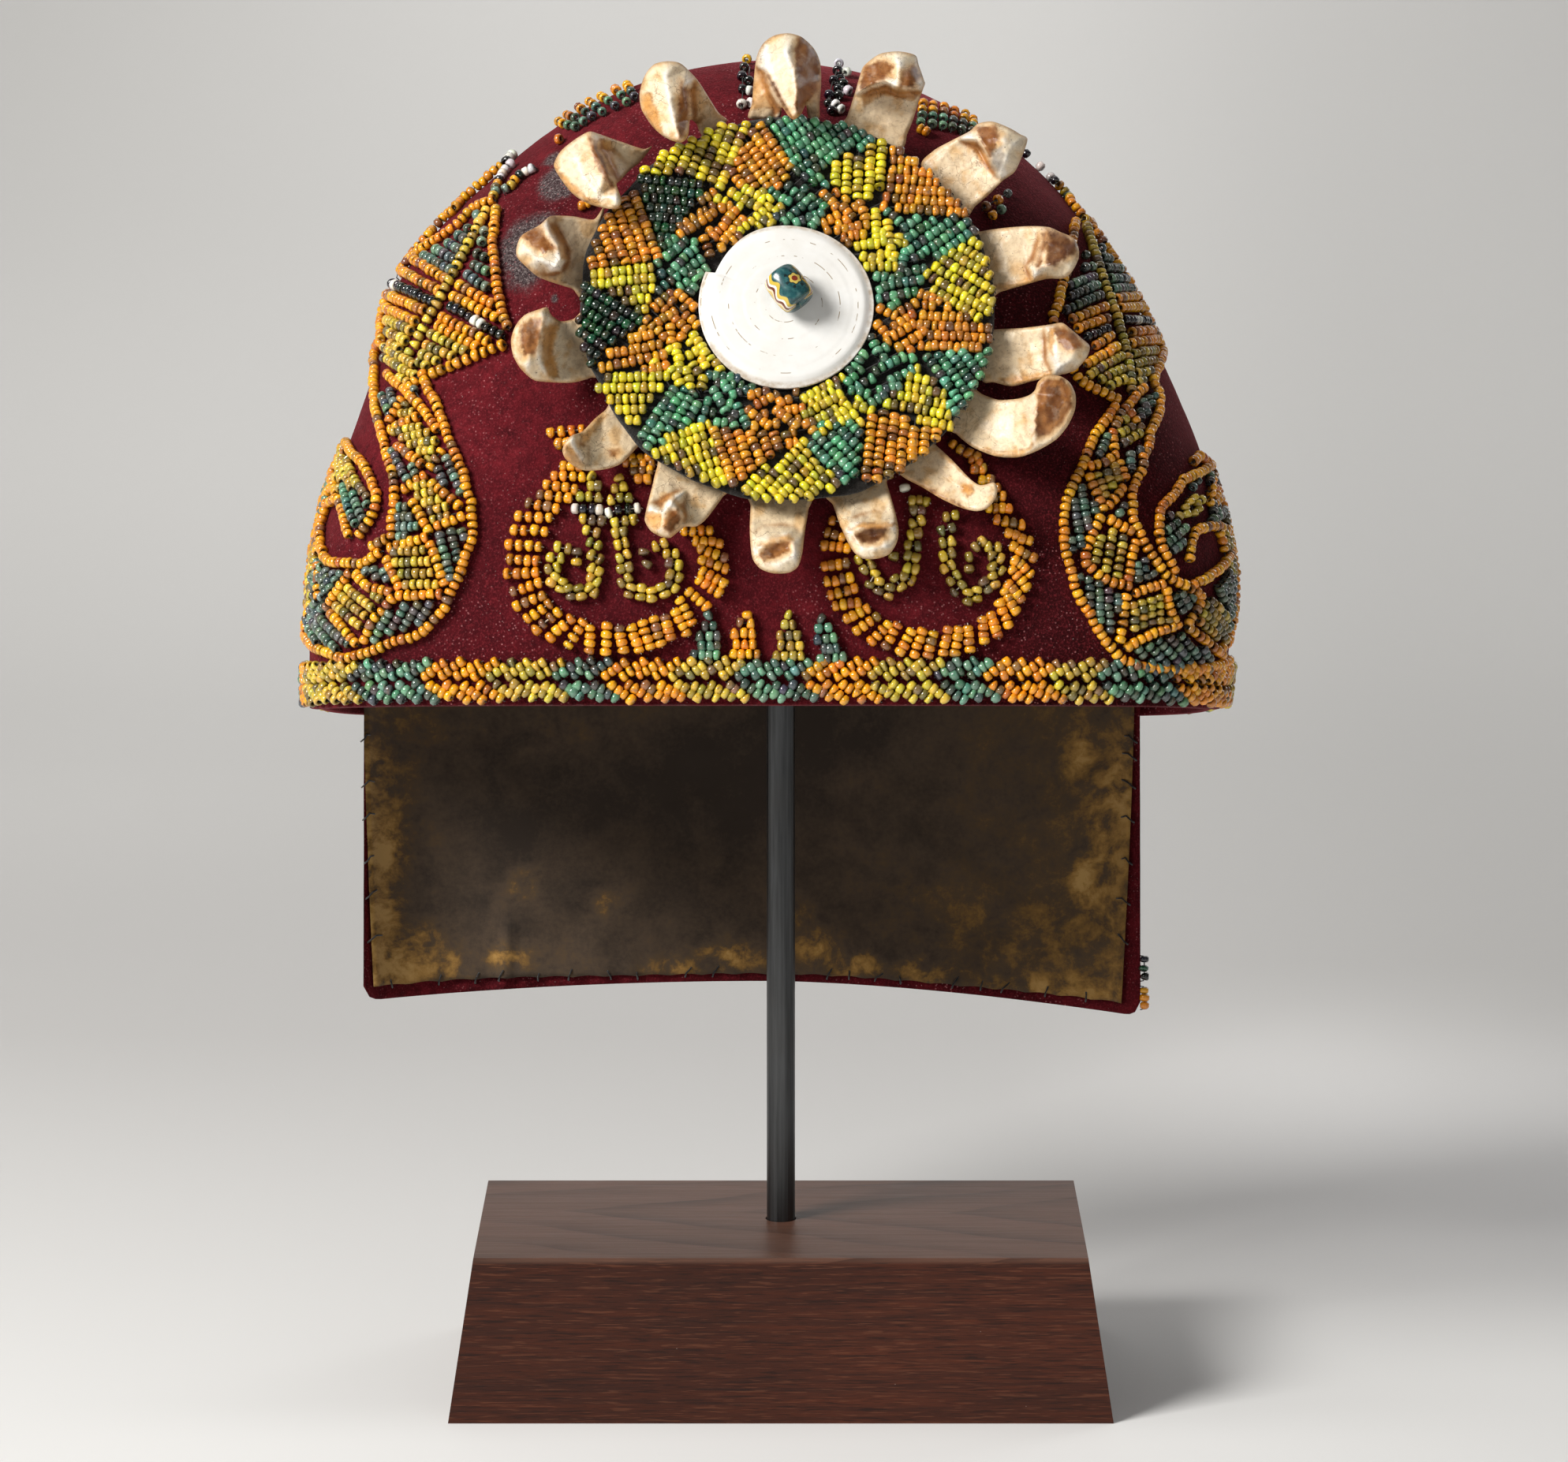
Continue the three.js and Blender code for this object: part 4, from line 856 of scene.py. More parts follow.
def bead_mesh(strands, painted_light_scale=1.0):
    """One joined mesh of all the beads of a piece."""
    global BEAD_COUNT
    rows = pruned(strands.rows)
    n = len(rows)
    BEAD_COUNT += n
    g = np.random.default_rng(len(strands.name) * 131 + n)
    p = np.array([r[0] for r in rows])
    axis = np.array([r[1] for r in rows])
    normal = np.array([r[2] for r in rows])
    axis = unit(axis + g.normal(0, 0.07, (n, 3)))
    normal = unit(normal - (normal * axis).sum(1, keepdims=True) * axis)
    side = np.cross(normal, axis)
    roll = g.random(n) * 6.283
    ex = np.cos(roll)[:, None] * side + np.sin(roll)[:, None] * normal
    ey = -np.sin(roll)[:, None] * side + np.cos(roll)[:, None] * normal
    big = np.array([r[4] for r in rows])
    radius = BEAD_RADIUS * big * g.uniform(0.9, 1.06, n)
    half = BEAD_HALF * big * g.uniform(0.84, 1.08, n)
    p = p + g.normal(0, 0.07, (n, 3))
    k = len(BEAD_PROFILE)
    ang = np.arange(BEAD_SIDES) / BEAD_SIDES * 2 * math.pi
    rr, zz = BEAD_PROFILE[:, 0], BEAD_PROFILE[:, 1]
    slant = g.normal(0, 0.10, (n, 2))
    tx = (rr[:, None] * np.cos(ang)).ravel()
    ty = (rr[:, None] * np.sin(ang)).ravel()
    tz = np.repeat(zz, BEAD_SIDES)
    z = half[:, None] * tz + radius[:, None] * (slant[:, :1] * tx + slant[:, 1:] * ty) * np.sign(tz)
    verts = (p[:, None, :] + (radius[:, None] * tx)[..., None] * ex[:, None, :] + (radius[:, None] * ty)[..., None] * ey[:, None, :]
             + z[..., None] * axis[:, None, :])
    i = np.arange(k)[:, None]
    j = np.arange(BEAD_SIDES)[None, :]
    a, b = i * BEAD_SIDES + j, i * BEAD_SIDES + (j + 1) % BEAD_SIDES
    c, d = ((i + 1) % k) * BEAD_SIDES + (j + 1) % BEAD_SIDES, ((i + 1) % k) * BEAD_SIDES + j
    quad = np.stack([a, d, c, b], -1).reshape(-1, 4)
    quads = (quad[None] + (np.arange(n) * k * BEAD_SIDES)[:, None, None]).reshape(-1, 4)
    ob = mesh_object(strands.name, verts.reshape(-1, 3), quads=quads, material=BEADS)
    # a small cell of its own for each bead in the bake's layout
    cells = int(math.ceil(math.sqrt(n)))
    u = np.stack([j + 0 * i, j + 0 * i, j + 1 + 0 * i, j + 1 + 0 * i], -1).reshape(-1, 4) / BEAD_SIDES
    v = np.stack([i + 0 * j, i + 1 + 0 * j, i + 1 + 0 * j, i + 0 * j], -1).reshape(-1, 4) / k
    cu = (np.arange(n) % cells)[:, None, None]
    cv = (np.arange(n) // cells)[:, None, None]
    uv = np.stack([(cu + 0.06 + 0.88 * u[None]) / cells, (cv + 0.06 + 0.88 * v[None]) / cells], -1)
    layer = ob.data.uv_layers.new(name="OFBake")
    layer.data.foreach_set("uv", uv.astype(np.float32).ravel())
    colour = np.zeros((n, 3))
    dirt = np.zeros(n)
    for t, row in enumerate(rows):
        tones = TONES[row[3]]
        pick = g.choice(len(tones), p=np.array([w for _, w in tones]) / sum(w for _, w in tones))
        c = np.array(tones[pick][0], float) * g.uniform(0.88, 1.06)
        # painted light and shade: beads other than white and orange take the piece's brightness factor
        colour[t] = np.minimum(linear(np.clip(c + g.normal(0, 6, 3), 0, 255)) * (1.0 if row[3] in ("white", "orange") else painted_light_scale), 1.0)
        dirt[t] = DIRT[row[3]] * (g.uniform(0.9, 1.8) if g.random() < 0.3 else g.uniform(0.1, 0.8))
    shade = np.repeat(np.array([0.26, 0.62, 1.0, 1.0, 0.62, 0.26]), BEAD_SIDES)      # painted shade: the bead's ends are darkened where neighbouring beads touch and shade them
    put_colour(ob, "col", (colour[:, None, :] * shade[None, :, None]).reshape(-1, 3))
    put_float(ob, "dirt", np.repeat(dirt, k * BEAD_SIDES))
    return finish_piece(ob, strands.nodes)


def tube_mesh(name, paths, radius, sides, material):
    """Thin threads along many short paths as one mesh with closed ends."""
    verts, quads, tris = [], [], []
    at = 0
    ang = np.arange(sides) / sides * 2 * math.pi
    for path in paths:
        path = np.asarray(path, float)
        m = len(path)
        tan = np.zeros_like(path)
        tan[0], tan[-1] = path[1] - path[0], path[-1] - path[-2]
        if m > 2:
            tan[1:-1] = path[2:] - path[:-2]
        tan = unit(tan)
        ref = np.where(np.abs(tan[:, 2:3]) < 0.9, np.array([[0.0, 0, 1]]), np.array([[1.0, 0, 0]]))
        e1 = unit(np.cross(tan, ref))
        e2 = np.cross(tan, e1)
        ring = path[:, None, :] + radius * (np.cos(ang)[None, :, None] * e1[:, None, :] + np.sin(ang)[None, :, None] * e2[:, None, :])
        verts.append(ring.reshape(-1, 3))
        quads.append(ring_quads(m, sides, True, at)[:, ::-1])
        first = at + np.arange(sides)
        last = at + (m - 1) * sides + np.arange(sides)
        if sides == 4:
            quads.append(np.array([first, last[::-1]]))
        else:
            verts.append(path[[0, -1]])
            c0 = at + m * sides
            tris.append(np.stack([np.full(sides, c0), first, np.roll(first, -1)], 1))
            tris.append(np.stack([np.full(sides, c0 + 1), np.roll(last, -1), last], 1))
            at += 2
        at += m * sides
    return mesh_object(name, np.concatenate(verts), quads=np.concatenate(quads), tris=np.concatenate(tris) if tris else None, material=material)


def thread_paths(strands, sink=1.0):
    out = []
    for points, axis, normals in strands.threads:
        if len(points) < 3:
            if len(points) == 2:
                out.append(points)
            continue
        a = points[0] - axis[0] * 0.98 - normals[0] * sink
        b = points[-1] + axis[-1] * 0.98 - normals[-1] * sink
        a2 = points[0] - axis[0] * 0.86 - normals[0] * 0.2
        b2 = points[-1] + axis[-1] * 0.86 - normals[-1] * 0.2
        out.append(np.concatenate([[a, a2], points, [b2, b]]))
    return out


# ------------------------------------------------------------------ chart of the left side motif (photograph pixels)
motif_left = Strands("motif_left_beads", "amber_beads", ("side_motif_left",))
for tones, pts in (
    ("orange", [(505, 342), (540, 301), (575, 264), (605, 237), (635, 211)]),
    (["black", "white"], [(640, 201), (650, 197)]),
    (["olive", "grey", "olive", "orange", "black", "white"], [(630, 253), (633, 244), (636, 236), (639, 228), (644, 221), (651, 214)]),
    (["grey", "olive", "orange", "black", "white"], [(645, 245), (652, 239), (658, 232), (665, 225), (677, 219)]),
    ("orange", [(627, 259), (609, 265), (601, 270), (589, 284), (577, 295), (564, 304), (551, 311), (537, 322), (530, 328), (501, 346)]),
    ("orange", [(632, 271), (630, 290), (627, 308), (628, 326), (631, 342), (632, 359), (634, 376), (638, 394), (640, 404), (645, 415)]),
    ("yellow", [(620, 272), (525, 449)]),
    ("grey", [(609, 279)]), ("grey", [(598, 295)]), ("grey", [(587, 304), (593, 308)]), ("grey", [(573, 313), (587, 321)]),
    ("grey", [(558, 321), (580, 333)]), ("grey", [(544, 330), (575, 346)]), ("orange", [(530, 333), (568, 357)]),
    ("orange", [(513, 346), (560, 372)]),
    (["black", "black", "white", "white", "black", "black", "black"], [(498, 360), (518, 369), (552, 385)]),
    (["black", "black", "black", "black", "white", "white", "black", "black"], [(576, 392), (604, 408), (637, 428)]),
    ("orange", [(490, 373), (542, 396)]), ("orange", [(495, 392), (531, 410)]), ("olive", [(498, 408), (525, 421)]),
    ("olive", [(499, 423), (519, 434)]), ("olive", [(503, 440), (511, 444)]),
    ("grey", [(618, 298)]), ("grey", [(614, 311), (617, 314)]), ("grey", [(609, 326), (617, 330)]), ("grey", [(604, 340), (620, 347)]),
    ("grey", [(596, 353), (619, 367)]), ("orange", [(587, 366), (626, 388)]), ("orange", [(580, 379), (629, 405)]),
    ("orange", [(565, 405), (620, 435)]), ("orange", [(560, 416), (606, 442)]), ("olive", [(552, 427), (592, 448)]),
    ("olive", [(545, 441), (575, 454)]), ("olive", [(542, 453), (557, 461)]), ("olive", [(536, 461), (544, 467)]),
    ("orange", [(638, 441), (600, 456), (552, 477)]),
    ("orange", [(486, 373), (484, 390), (487, 402), (489, 416), (489, 436), (480, 441), (480, 458), (481, 467), (480, 485), (481, 502), (480, 519),
                (483, 526), (486, 542), (490, 558), (496, 585), (502, 600), (504, 625), (504, 640), (502, 652), (500, 665), (500, 681)]),
    ("orange", [(540, 478), (548, 502), (555, 509), (560, 526), (567, 542), (571, 558), (577, 571), (582, 587), (591, 604), (592, 621), (599, 637),
                (600, 655), (601, 672), (599, 691), (592, 700), (587, 720), (580, 737), (571, 755), (565, 774), (551, 787), (539, 800), (522, 810),
                (506, 812), (490, 820), (474, 826), (457, 831), (441, 835), (424, 829), (406, 822), (395, 810), (390, 792)]),
    # the neck
    ("orange", [(497, 478), (520, 500), (540, 522), (556, 546)]), ("orange", [(536, 478), (516, 505), (500, 535)]),
    ("orange", [(500, 548), (520, 536), (540, 530)]),
    ("orange", [(509, 569), (537, 590)]), ("orange", [(549, 594), (562, 575)]), ("orange", [(516, 622), (540, 606)]),
    ("orange", [(551, 615), (582, 642)]), ("orange", [(527, 640), (545, 674)]), ("orange", [(557, 669), (587, 657)]),
    ("orange", [(499, 696), (541, 684)]), ("orange", [(494, 712), (509, 745)]), ("orange", [(548, 692), (565, 740)]),
    ("orange", [(510, 756), (559, 754)]), ("orange", [(447, 729), (421, 770)]), ("orange", [(457, 730), (470, 745), (496, 751)]),
    ("orange", [(501, 760), (475, 790), (466, 812)]), ("orange", [(422, 775), (455, 815)]), ("orange", [(410, 719), (410, 756)]),
    ("orange", [(417, 707), (425, 714), (444, 715), (461, 717), (475, 709), (484, 703)]), ("orange", [(476, 694), (492, 685)]),
    ("orange", [(426, 621), (416, 636), (412, 655), (410, 672), (409, 690), (409, 700)]), ("orange", [(399, 681), (396, 697), (400, 710)]),
    # the leaf
    ("orange", [(445, 564), (451, 577), (465, 590), (474, 609), (482, 630), (480, 646), (472, 665), (461, 680)]),
    ("orange", [(435, 635), (441, 657), (447, 679)]), ("orange", [(445, 566), (436, 576), (428, 597), (427, 612), (432, 626)]),
):
    lines = tones in ("orange", "yellow")
    fan = len(pts) < 4 and max(q[1] for q in pts) < 480          # the rows of the upper fan have the largest beads
    wall_run(motif_left, pts, tones, pitch=1.96 if fan else 1.72 if lines else PITCH_ALONG, bigger=1.13 if fan else 1.06 if lines else 1.0)
for tone, direction, pts in (
    ("olive", (1, 0.2), [(492, 448), (522, 448), (545, 466), (534, 482), (518, 492), (500, 478), (490, 470)]),
    ("grey", (0.3, 1), [(490, 486), (512, 502), (498, 532), (489, 532)]),
    ("grey", (0.5, 1), [(540, 502), (548, 512), (560, 540), (548, 530), (524, 504), (534, 490)]),
    ("olive", (1, -0.4), [(506, 536), (520, 512), (536, 526), (520, 532)]),
    ("olive", (1, -0.3), [(496, 556), (540, 538), (556, 552), (566, 566), (556, 572), (545, 588), (520, 572), (506, 562)]),
    ("grey", (0.4, 1), [(500, 572), (508, 576), (536, 598), (534, 604), (512, 618), (506, 600)]),
    ("grey", (0.35, 1), [(566, 578), (576, 580), (585, 604), (588, 628), (584, 636), (556, 612), (554, 600)]),
    ("olive", (1, -0.35), [(520, 628), (546, 610), (578, 646), (584, 652), (556, 664), (548, 668), (534, 640)]),
    ("grey", (1, -0.08), [(507, 640), (522, 640), (540, 676), (538, 682), (502, 690), (504, 660)]),
    ("grey", (0.2, 1), [(554, 676), (594, 664), (592, 690), (584, 712), (572, 742), (556, 694)]),
    ("olive", (1, -0.06), [(498, 702), (544, 692), (562, 746), (514, 750), (500, 716)]),
    ("grey", (0.2, 1), [(416, 722), (442, 722), (438, 736), (420, 760), (414, 752)]),
    ("grey", (0.3, 1), [(462, 724), (484, 714), (492, 722), (502, 742), (478, 740)]),
    ("olive", (0.78, 0.62), [(452, 734), (466, 750), (494, 758), (470, 784), (462, 800), (426, 772)]),
    ("grey", (0.7, 0.72), [(396, 782), (412, 774), (448, 814), (454, 826), (432, 826), (402, 812)]),
    ("grey", (-0.5, 0.86), [(508, 764), (558, 762), (546, 782), (528, 798), (498, 806), (472, 818), (482, 792)]),
    ("olive", (0.1, 1), [(394, 722), (404, 722), (404, 768), (394, 772)]),
    ("olive", (0.5, 1), [(438, 580), (452, 586), (470, 612), (472, 622), (436, 618), (430, 606)]),
    ("green", (0.3, 1), [(472, 622), (474, 634), (466, 660), (454, 672), (444, 648), (437, 622)]),
):
    wall_fill(motif_left, pts, direction, tone)
# round the side, out of the front view
wall_line(motif_left, [(-98, 11.4), (-104, 13.8), (-111.2, 19.2), (-117, 27.4), (-119, 38), (-116.2, 47.4), (-109.6, 54.2), (-101, 55.6), (-93, 52.6)], "orange")
wall_line(motif_left, [(-97.6, 31.4), (-105.6, 34.4), (-109.6, 40), (-106.8, 44.4), (-100, 45)], "orange")
place_fill(motif_left, [(-99, 14), (-104, 16), (-110, 21.4), (-112, 25), (-106, 32.4), (-98.4, 29.6)], (1, 0.4), "grey")
place_fill(motif_left, [(-113, 26), (-115.4, 30), (-117.2, 38), (-111.2, 40.4), (-107.4, 33.8)], (0.2, 1), "olive")
place_fill(motif_left, [(-117, 40), (-114.6, 46.6), (-109, 52.4), (-104, 53.8), (-107.8, 46.2), (-111, 41.6)], (0.5, 1), "grey")
place_fill(motif_left, [(-102.6, 53.8), (-96, 51.6), (-95, 46.6), (-100, 46.8), (-106, 46.4)], (1, 0.1), "olive")

# ------------------------------------------------------------------ chart of the right side motif
motif_right = Strands("motif_right_beads", "amber_beads", ("side_motif_right",))
for tones, pts in (
    (["white", "black"], [(1304, 173), (1311, 181)]), ("white", [(1327, 201)]),
    (["white", "black", "black", "orange", "olive", "grey", "olive", "orange"], [(1333, 224), (1343, 232), (1347, 243), (1352, 258), (1364, 274)]),
    ("orange", [(1371, 282), (1378, 286), (1392, 309), (1404, 321), (1414, 332), (1428, 354), (1441, 374), (1448, 388), (1459, 407), (1466, 422),
                (1472, 440), (1467, 454), (1463, 470), (1456, 486), (1462, 496), (1465, 506), (1465, 524), (1457, 545), (1453, 555), (1452, 570),
                (1446, 582), (1445, 597), (1437, 613), (1432, 627), (1433, 646), (1433, 662), (1442, 677), (1448, 693), (1456, 705), (1467, 720),
                (1480, 735), (1497, 742)]),
    ("orange", [(1359, 285), (1356, 310), (1350, 340), (1344, 366), (1338, 390), (1332, 407), (1340, 440), (1363, 481)]),
    ("yellow", [(1373, 292), (1388, 339), (1408, 396), (1420, 432), (1427, 462), (1430, 497)]),
    ("grey", [(1391, 318)]), ("grey", [(1393, 330), (1400, 332)]), ("grey", [(1398, 343), (1417, 345)]), ("grey", [(1404, 357), (1422, 357)]),
    ("grey", [(1407, 370), (1433, 369)]), ("orange", [(1412, 382), (1442, 379)]), ("orange", [(1416, 394), (1447, 392)]),
    (["black", "black", "black", "white", "white", "black"], [(1422, 409), (1458, 410)]),
    ("orange", [(1431, 425), (1463, 421)]), ("orange", [(1430, 438), (1466, 433)]), ("olive", [(1432, 452), (1458, 447)]),
    ("olive", [(1435, 465), (1457, 460)]), ("olive", [(1437, 477), (1452, 474)]), ("olive", [(1434, 489), (1444, 486)]),
    ("grey", [(1373, 328)]), ("grey", [(1372, 343), (1380, 342)]), ("grey", [(1353, 365), (1382, 354)]), ("grey", [(1354, 379), (1386, 365)]),
    ("grey", [(1350, 396), (1390, 378)]), ("orange", [(1357, 408), (1396, 392)]), ("orange", [(1364, 419), (1398, 407)]),
    (["black", "black", "black"], [(1376, 430), (1398, 421)]), ("orange", [(1386, 441), (1404, 429)]), ("orange", [(1376, 464), (1410, 443)]),
    ("olive", [(1379, 478), (1416, 455)]), ("olive", [(1394, 484), (1418, 471)]), ("yellow", [(1405, 492), (1420, 484)]),
    ("orange", [(1363, 481), (1378, 492), (1396, 501), (1413, 509)]),
    ("orange", [(1409, 519), (1400, 536), (1387, 552), (1379, 570), (1374, 584), (1369, 598), (1361, 612), (1352, 632), (1349, 646), (1347, 666),
                (1349, 684), (1349, 701), (1356, 722), (1361, 745), (1369, 762), (1380, 777), (1387, 793), (1396, 808), (1407, 821), (1419, 835),
                (1434, 842), (1463, 847), (1494, 850), (1525, 847), (1551, 838)]),
    ("orange", [(1444, 495), (1430, 513), (1418, 527), (1408, 552), (1409, 570)]), ("orange", [(1430, 528), (1441, 545)]),
    ("orange", [(1381, 594), (1396, 590), (1412, 580)]), ("orange", [(1417, 590), (1423, 608)]),
    ("orange", [(1379, 607), (1386, 624), (1396, 647)]), ("orange", [(1404, 642), (1421, 621)]),
    ("orange", [(1392, 659), (1385, 676), (1377, 692), (1374, 714), (1389, 729), (1408, 740), (1428, 744)]),
    ("orange", [(1406, 661), (1430, 675)]), ("orange", [(1437, 690), (1431, 710), (1428, 735)]),
    ("orange", [(1438, 752), (1469, 741)]), ("orange", [(1425, 758), (1422, 785), (1417, 811)]),
    ("orange", [(1475, 750), (1480, 775), (1489, 793)]), ("orange", [(1428, 820), (1455, 804), (1482, 795)]),
    ("orange", [(1498, 745), (1516, 752), (1518, 762), (1508, 780), (1503, 790)]), ("orange", [(1503, 798), (1523, 812), (1543, 830)]),
    ("orange", [(1509, 742), (1528, 732), (1542, 720), (1553, 706), (1555, 690), (1552, 676), (1538, 668), (1524, 670), (1511, 674), (1506, 690), (1503, 708)]),
    ("orange", [(1530, 592), (1519, 600), (1503, 607), (1495, 612), (1488, 625), (1475, 638), (1467, 646), (1466, 666), (1466, 682), (1471, 699), (1482, 718), (1490, 732)]),
):
    lines = tones in ("orange", "yellow")
    wall_run(motif_right, pts, tones, pitch=1.72 if lines else PITCH_ALONG, bigger=1.06 if lines else 1.0)
for tone, direction, pts in (
    ("grey", (0.5, 1), [(1436, 508), (1448, 500), (1460, 506), (1458, 530), (1448, 540), (1438, 526)]),
    ("olive", (1, -0.5), [(1416, 535), (1434, 520), (1446, 540), (1446, 560), (1420, 568), (1413, 560)]),
    ("grey", (-0.4, 1), [(1400, 545), (1404, 556), (1404, 576), (1384, 588), (1386, 570)]),
    ("grey", (0.2, 1), [(1424, 574), (1444, 566), (1440, 588), (1436, 604), (1426, 600)]),
    ("olive", (0.4, 1), [(1384, 600), (1412, 588), (1420, 612), (1402, 636), (1394, 630)]),
    ("grey", (0.2, 1), [(1372, 606), (1392, 650), (1382, 670), (1370, 704), (1354, 704), (1352, 660), (1358, 632)]),
    ("grey", (0.7, 0.7), [(1424, 626), (1428, 636), (1428, 660), (1410, 652)]),
    ("olive", (-0.15, 1), [(1398, 664), (1428, 682), (1424, 716), (1416, 738), (1400, 730), (1380, 712), (1390, 684)]),
    ("grey", (0.1, 1), [(1440, 704), (1448, 706), (1464, 730), (1460, 738), (1436, 742), (1434, 726)]),
    ("grey", (0.05, 1), [(1366, 724), (1382, 730), (1406, 746), (1420, 754), (1410, 806), (1404, 806), (1388, 786), (1374, 760), (1362, 740)]),
    ("olive", (0.02, 1), [(1430, 762), (1470, 750), (1482, 790), (1456, 796), (1430, 806)]),
    ("grey", (0.5, 1), [(1482, 750), (1496, 750), (1510, 758), (1504, 772), (1494, 784), (1486, 768)]),
    ("grey", (0.66, 0.75), [(1430, 826), (1460, 810), (1490, 802), (1520, 818), (1534, 834), (1500, 842), (1462, 838), (1438, 834)]),
    ("olive", (0.72, 0.7), [(1520, 764), (1530, 756), (1550, 782), (1548, 812), (1530, 808), (1510, 792)]),
    ("grey", (0.3, 1), [(1534, 742), (1548, 728), (1558, 730), (1556, 760), (1546, 764)]),
    ("grey", (0.3, 1), [(1500, 616), (1512, 608), (1520, 612), (1506, 628), (1498, 630)]),
    ("orange", (0.4, 1), [(1524, 604), (1534, 602), (1544, 630), (1548, 652), (1534, 640), (1520, 630)]),
    ("yellow", (0.5, 1), [(1488, 640), (1504, 628), (1520, 640), (1518, 660), (1500, 660), (1488, 656)]),
    ("grey", (0.8, -0.6), [(1474, 648), (1486, 650), (1500, 672), (1500, 690), (1488, 706), (1474, 694), (1472, 672)]),
    ("grey", (0.9, 0.2), [(1520, 652), (1534, 646), (1552, 660), (1548, 668), (1530, 662)]),
):
    wall_fill(motif_right, pts, direction, tone)
# round the side, out of the front view
wall_line(motif_right, [(95, 11.6), (104, 12.6), (110.4, 15), (117, 23.6), (120, 34), (118, 45.6), (111.6, 53), (103.4, 54.6), (99, 53)], "orange")
wall_line(motif_right, [(98, 26.8), (103, 28.6), (108, 32), (106.6, 37.4), (101, 39.4)], "orange")
place_fill(motif_right, [(103, 14.4), (109.4, 16.6), (115.4, 24), (109.4, 30.6), (104.4, 26.4)], (1, 0.5), "grey")
place_fill(motif_right, [(116, 25.6), (118.4, 34), (116.6, 44.6), (108.4, 38.4), (109.6, 32)], (0.2, 1), "olive")
place_fill(motif_right, [(115.4, 46), (111, 51.4), (104.4, 53), (102, 41.4), (107, 39.4)], (0.5, 1), "grey")

# ------------------------------------------------------------------ rim band
rim = Strands("rim_band_beads", "amber_beads", ("rim_band",))
RIM_LENGTH = float(np.interp(4.6, HEIGHT, LENGTH))
BAND = [(375, "orange"), (390, "yellow"), (455, "green"), (540, "orange"), (620, "yellow"), (700, "green"), (765, "orange"), (850, "yellow"),
        (930, "green"), (1015, "orange"), (1098, "yellow"), (1180, "green"), (1260, "orange"), (1330, "yellow"), (1405, "green"), (1485, "orange"),
        (1550, "yellow")]
band_at = [(float(wall_place(wall_pixel(min(max(x, 396), 1552), 868))[0, 0]), tone) for x, tone in BAND]
band_at[0] = (band_at[1][0] - 6.0, "orange")


def band_tone(s):
    if s < band_at[0][0]:
        k = int((band_at[0][0] - s) // 14.0)
        return ("green", "yellow", "orange")[k % 3]
    tone = band_at[0][1]
    for start, t in band_at:
        if s >= start:
            tone = t
    if s > band_at[-1][0]:
        k = int((s - band_at[-1][0]) // 14.0)
        return ("yellow", "green", "orange")[k % 3]
    return tone


def chevrons(strands, length, place, tone_at, middle, pitch=3.5, lean=4.1, rise=2.75, gap=0.98):
    count = int(round(length / pitch))
    for k in range(count):
        s0 = -length / 2 + (k + 0.5) * length / count
        for up in (1, -1):
            shift = 0.6 * (1 - up)
            a = np.array([s0 - lean * 0.5 + shift + rng.normal(0, 0.14), middle + up * (gap + rng.normal(0, 0.1))])
            b = np.array([s0 + lean * 0.5 + shift + rng.normal(0, 0.2), middle + up * (gap + rise + rng.normal(0, 0.18))])
            pts = a + (b - a) * np.linspace(0, 1, 4)[:, None]
            p, nn = place(pts)
            strands.string(p, nn, tone_at(s0), 1.07)


def rim_place(pts):
    tuck = 1.4 * smooth(-45.0, 5.0, wall_point(pts[:, 0], np.full(len(pts), 2.0))[:, 1])
    p, _, _, n = wall(pts[:, 0], pts[:, 1] + tuck, LIFT)
    return p, n


chevrons(rim, RIM_LENGTH, rim_place, band_tone, 5.2)

# ------------------------------------------------------------------ ovals, hooks and spikes on the front
ovals = Strands("oval_beads", "amber_beads", ("oval_ring_left", "oval_ring_right"))
for x0, y0, x1, y1 in (
    (699, 551, 738, 547), (715, 593, 735, 594), (704, 606, 739, 607), (694, 617, 730, 622), (686, 629, 721, 633), (672, 640, 706, 646),
    (659, 656, 697, 658), (653, 673, 691, 675), (647, 692, 684, 694), (647, 710, 681, 713), (644, 728, 681, 726), (652, 750, 684, 740),
    (657, 769, 688, 756), (670, 785, 697, 766), (681, 798, 708, 776), (698, 808, 724, 785), (721, 817, 740, 789), (747, 825, 749, 796),
    (768, 826, 770, 794), (791, 824, 785, 797), (811, 824, 800, 797), (824, 820, 815, 790), (838, 816, 829, 785), (850, 808, 843, 784),
    (870, 803, 856, 776), (877, 789, 862, 761), (895, 769, 874, 751), (911, 752, 886, 735), (917, 740, 891, 725), (920, 721, 891, 711),
    (918, 708, 889, 697), (912, 690, 883, 687), (899, 674, 868, 675),
    (1045, 693, 1074, 696), (1045, 719, 1072, 715), (1049, 738, 1077, 733), (1053, 755, 1083, 747), (1060, 768, 1087, 765),
    (1073, 785, 1099, 772), (1086, 799, 1111, 782), (1105, 813, 1126, 792), (1123, 819, 1138, 793), (1141, 827, 1155, 801), (1159, 829, 1169, 801),
    (1176, 831, 1183, 804), (1195, 828, 1201, 799), (1211, 827, 1215, 799), (1229, 823, 1227, 796), (1248, 813, 1245, 786), (1264, 805, 1256, 781),
    (1277, 792, 1267, 765), (1287, 774, 1273, 750), (1294, 760, 1278, 742), (1301, 745, 1283, 723), (1305, 728, 1286, 711), (1309, 709, 1283, 695),
    (1304, 687, 1277, 678), (1294, 667, 1264, 660), (1278, 647, 1253, 645),
):
    wall_run(ovals, [(x0, y0), (x1, y1)], "orange", count=4 if math.hypot(x1 - x0, y1 - y0) > 24 else 3, bigger=1.09)
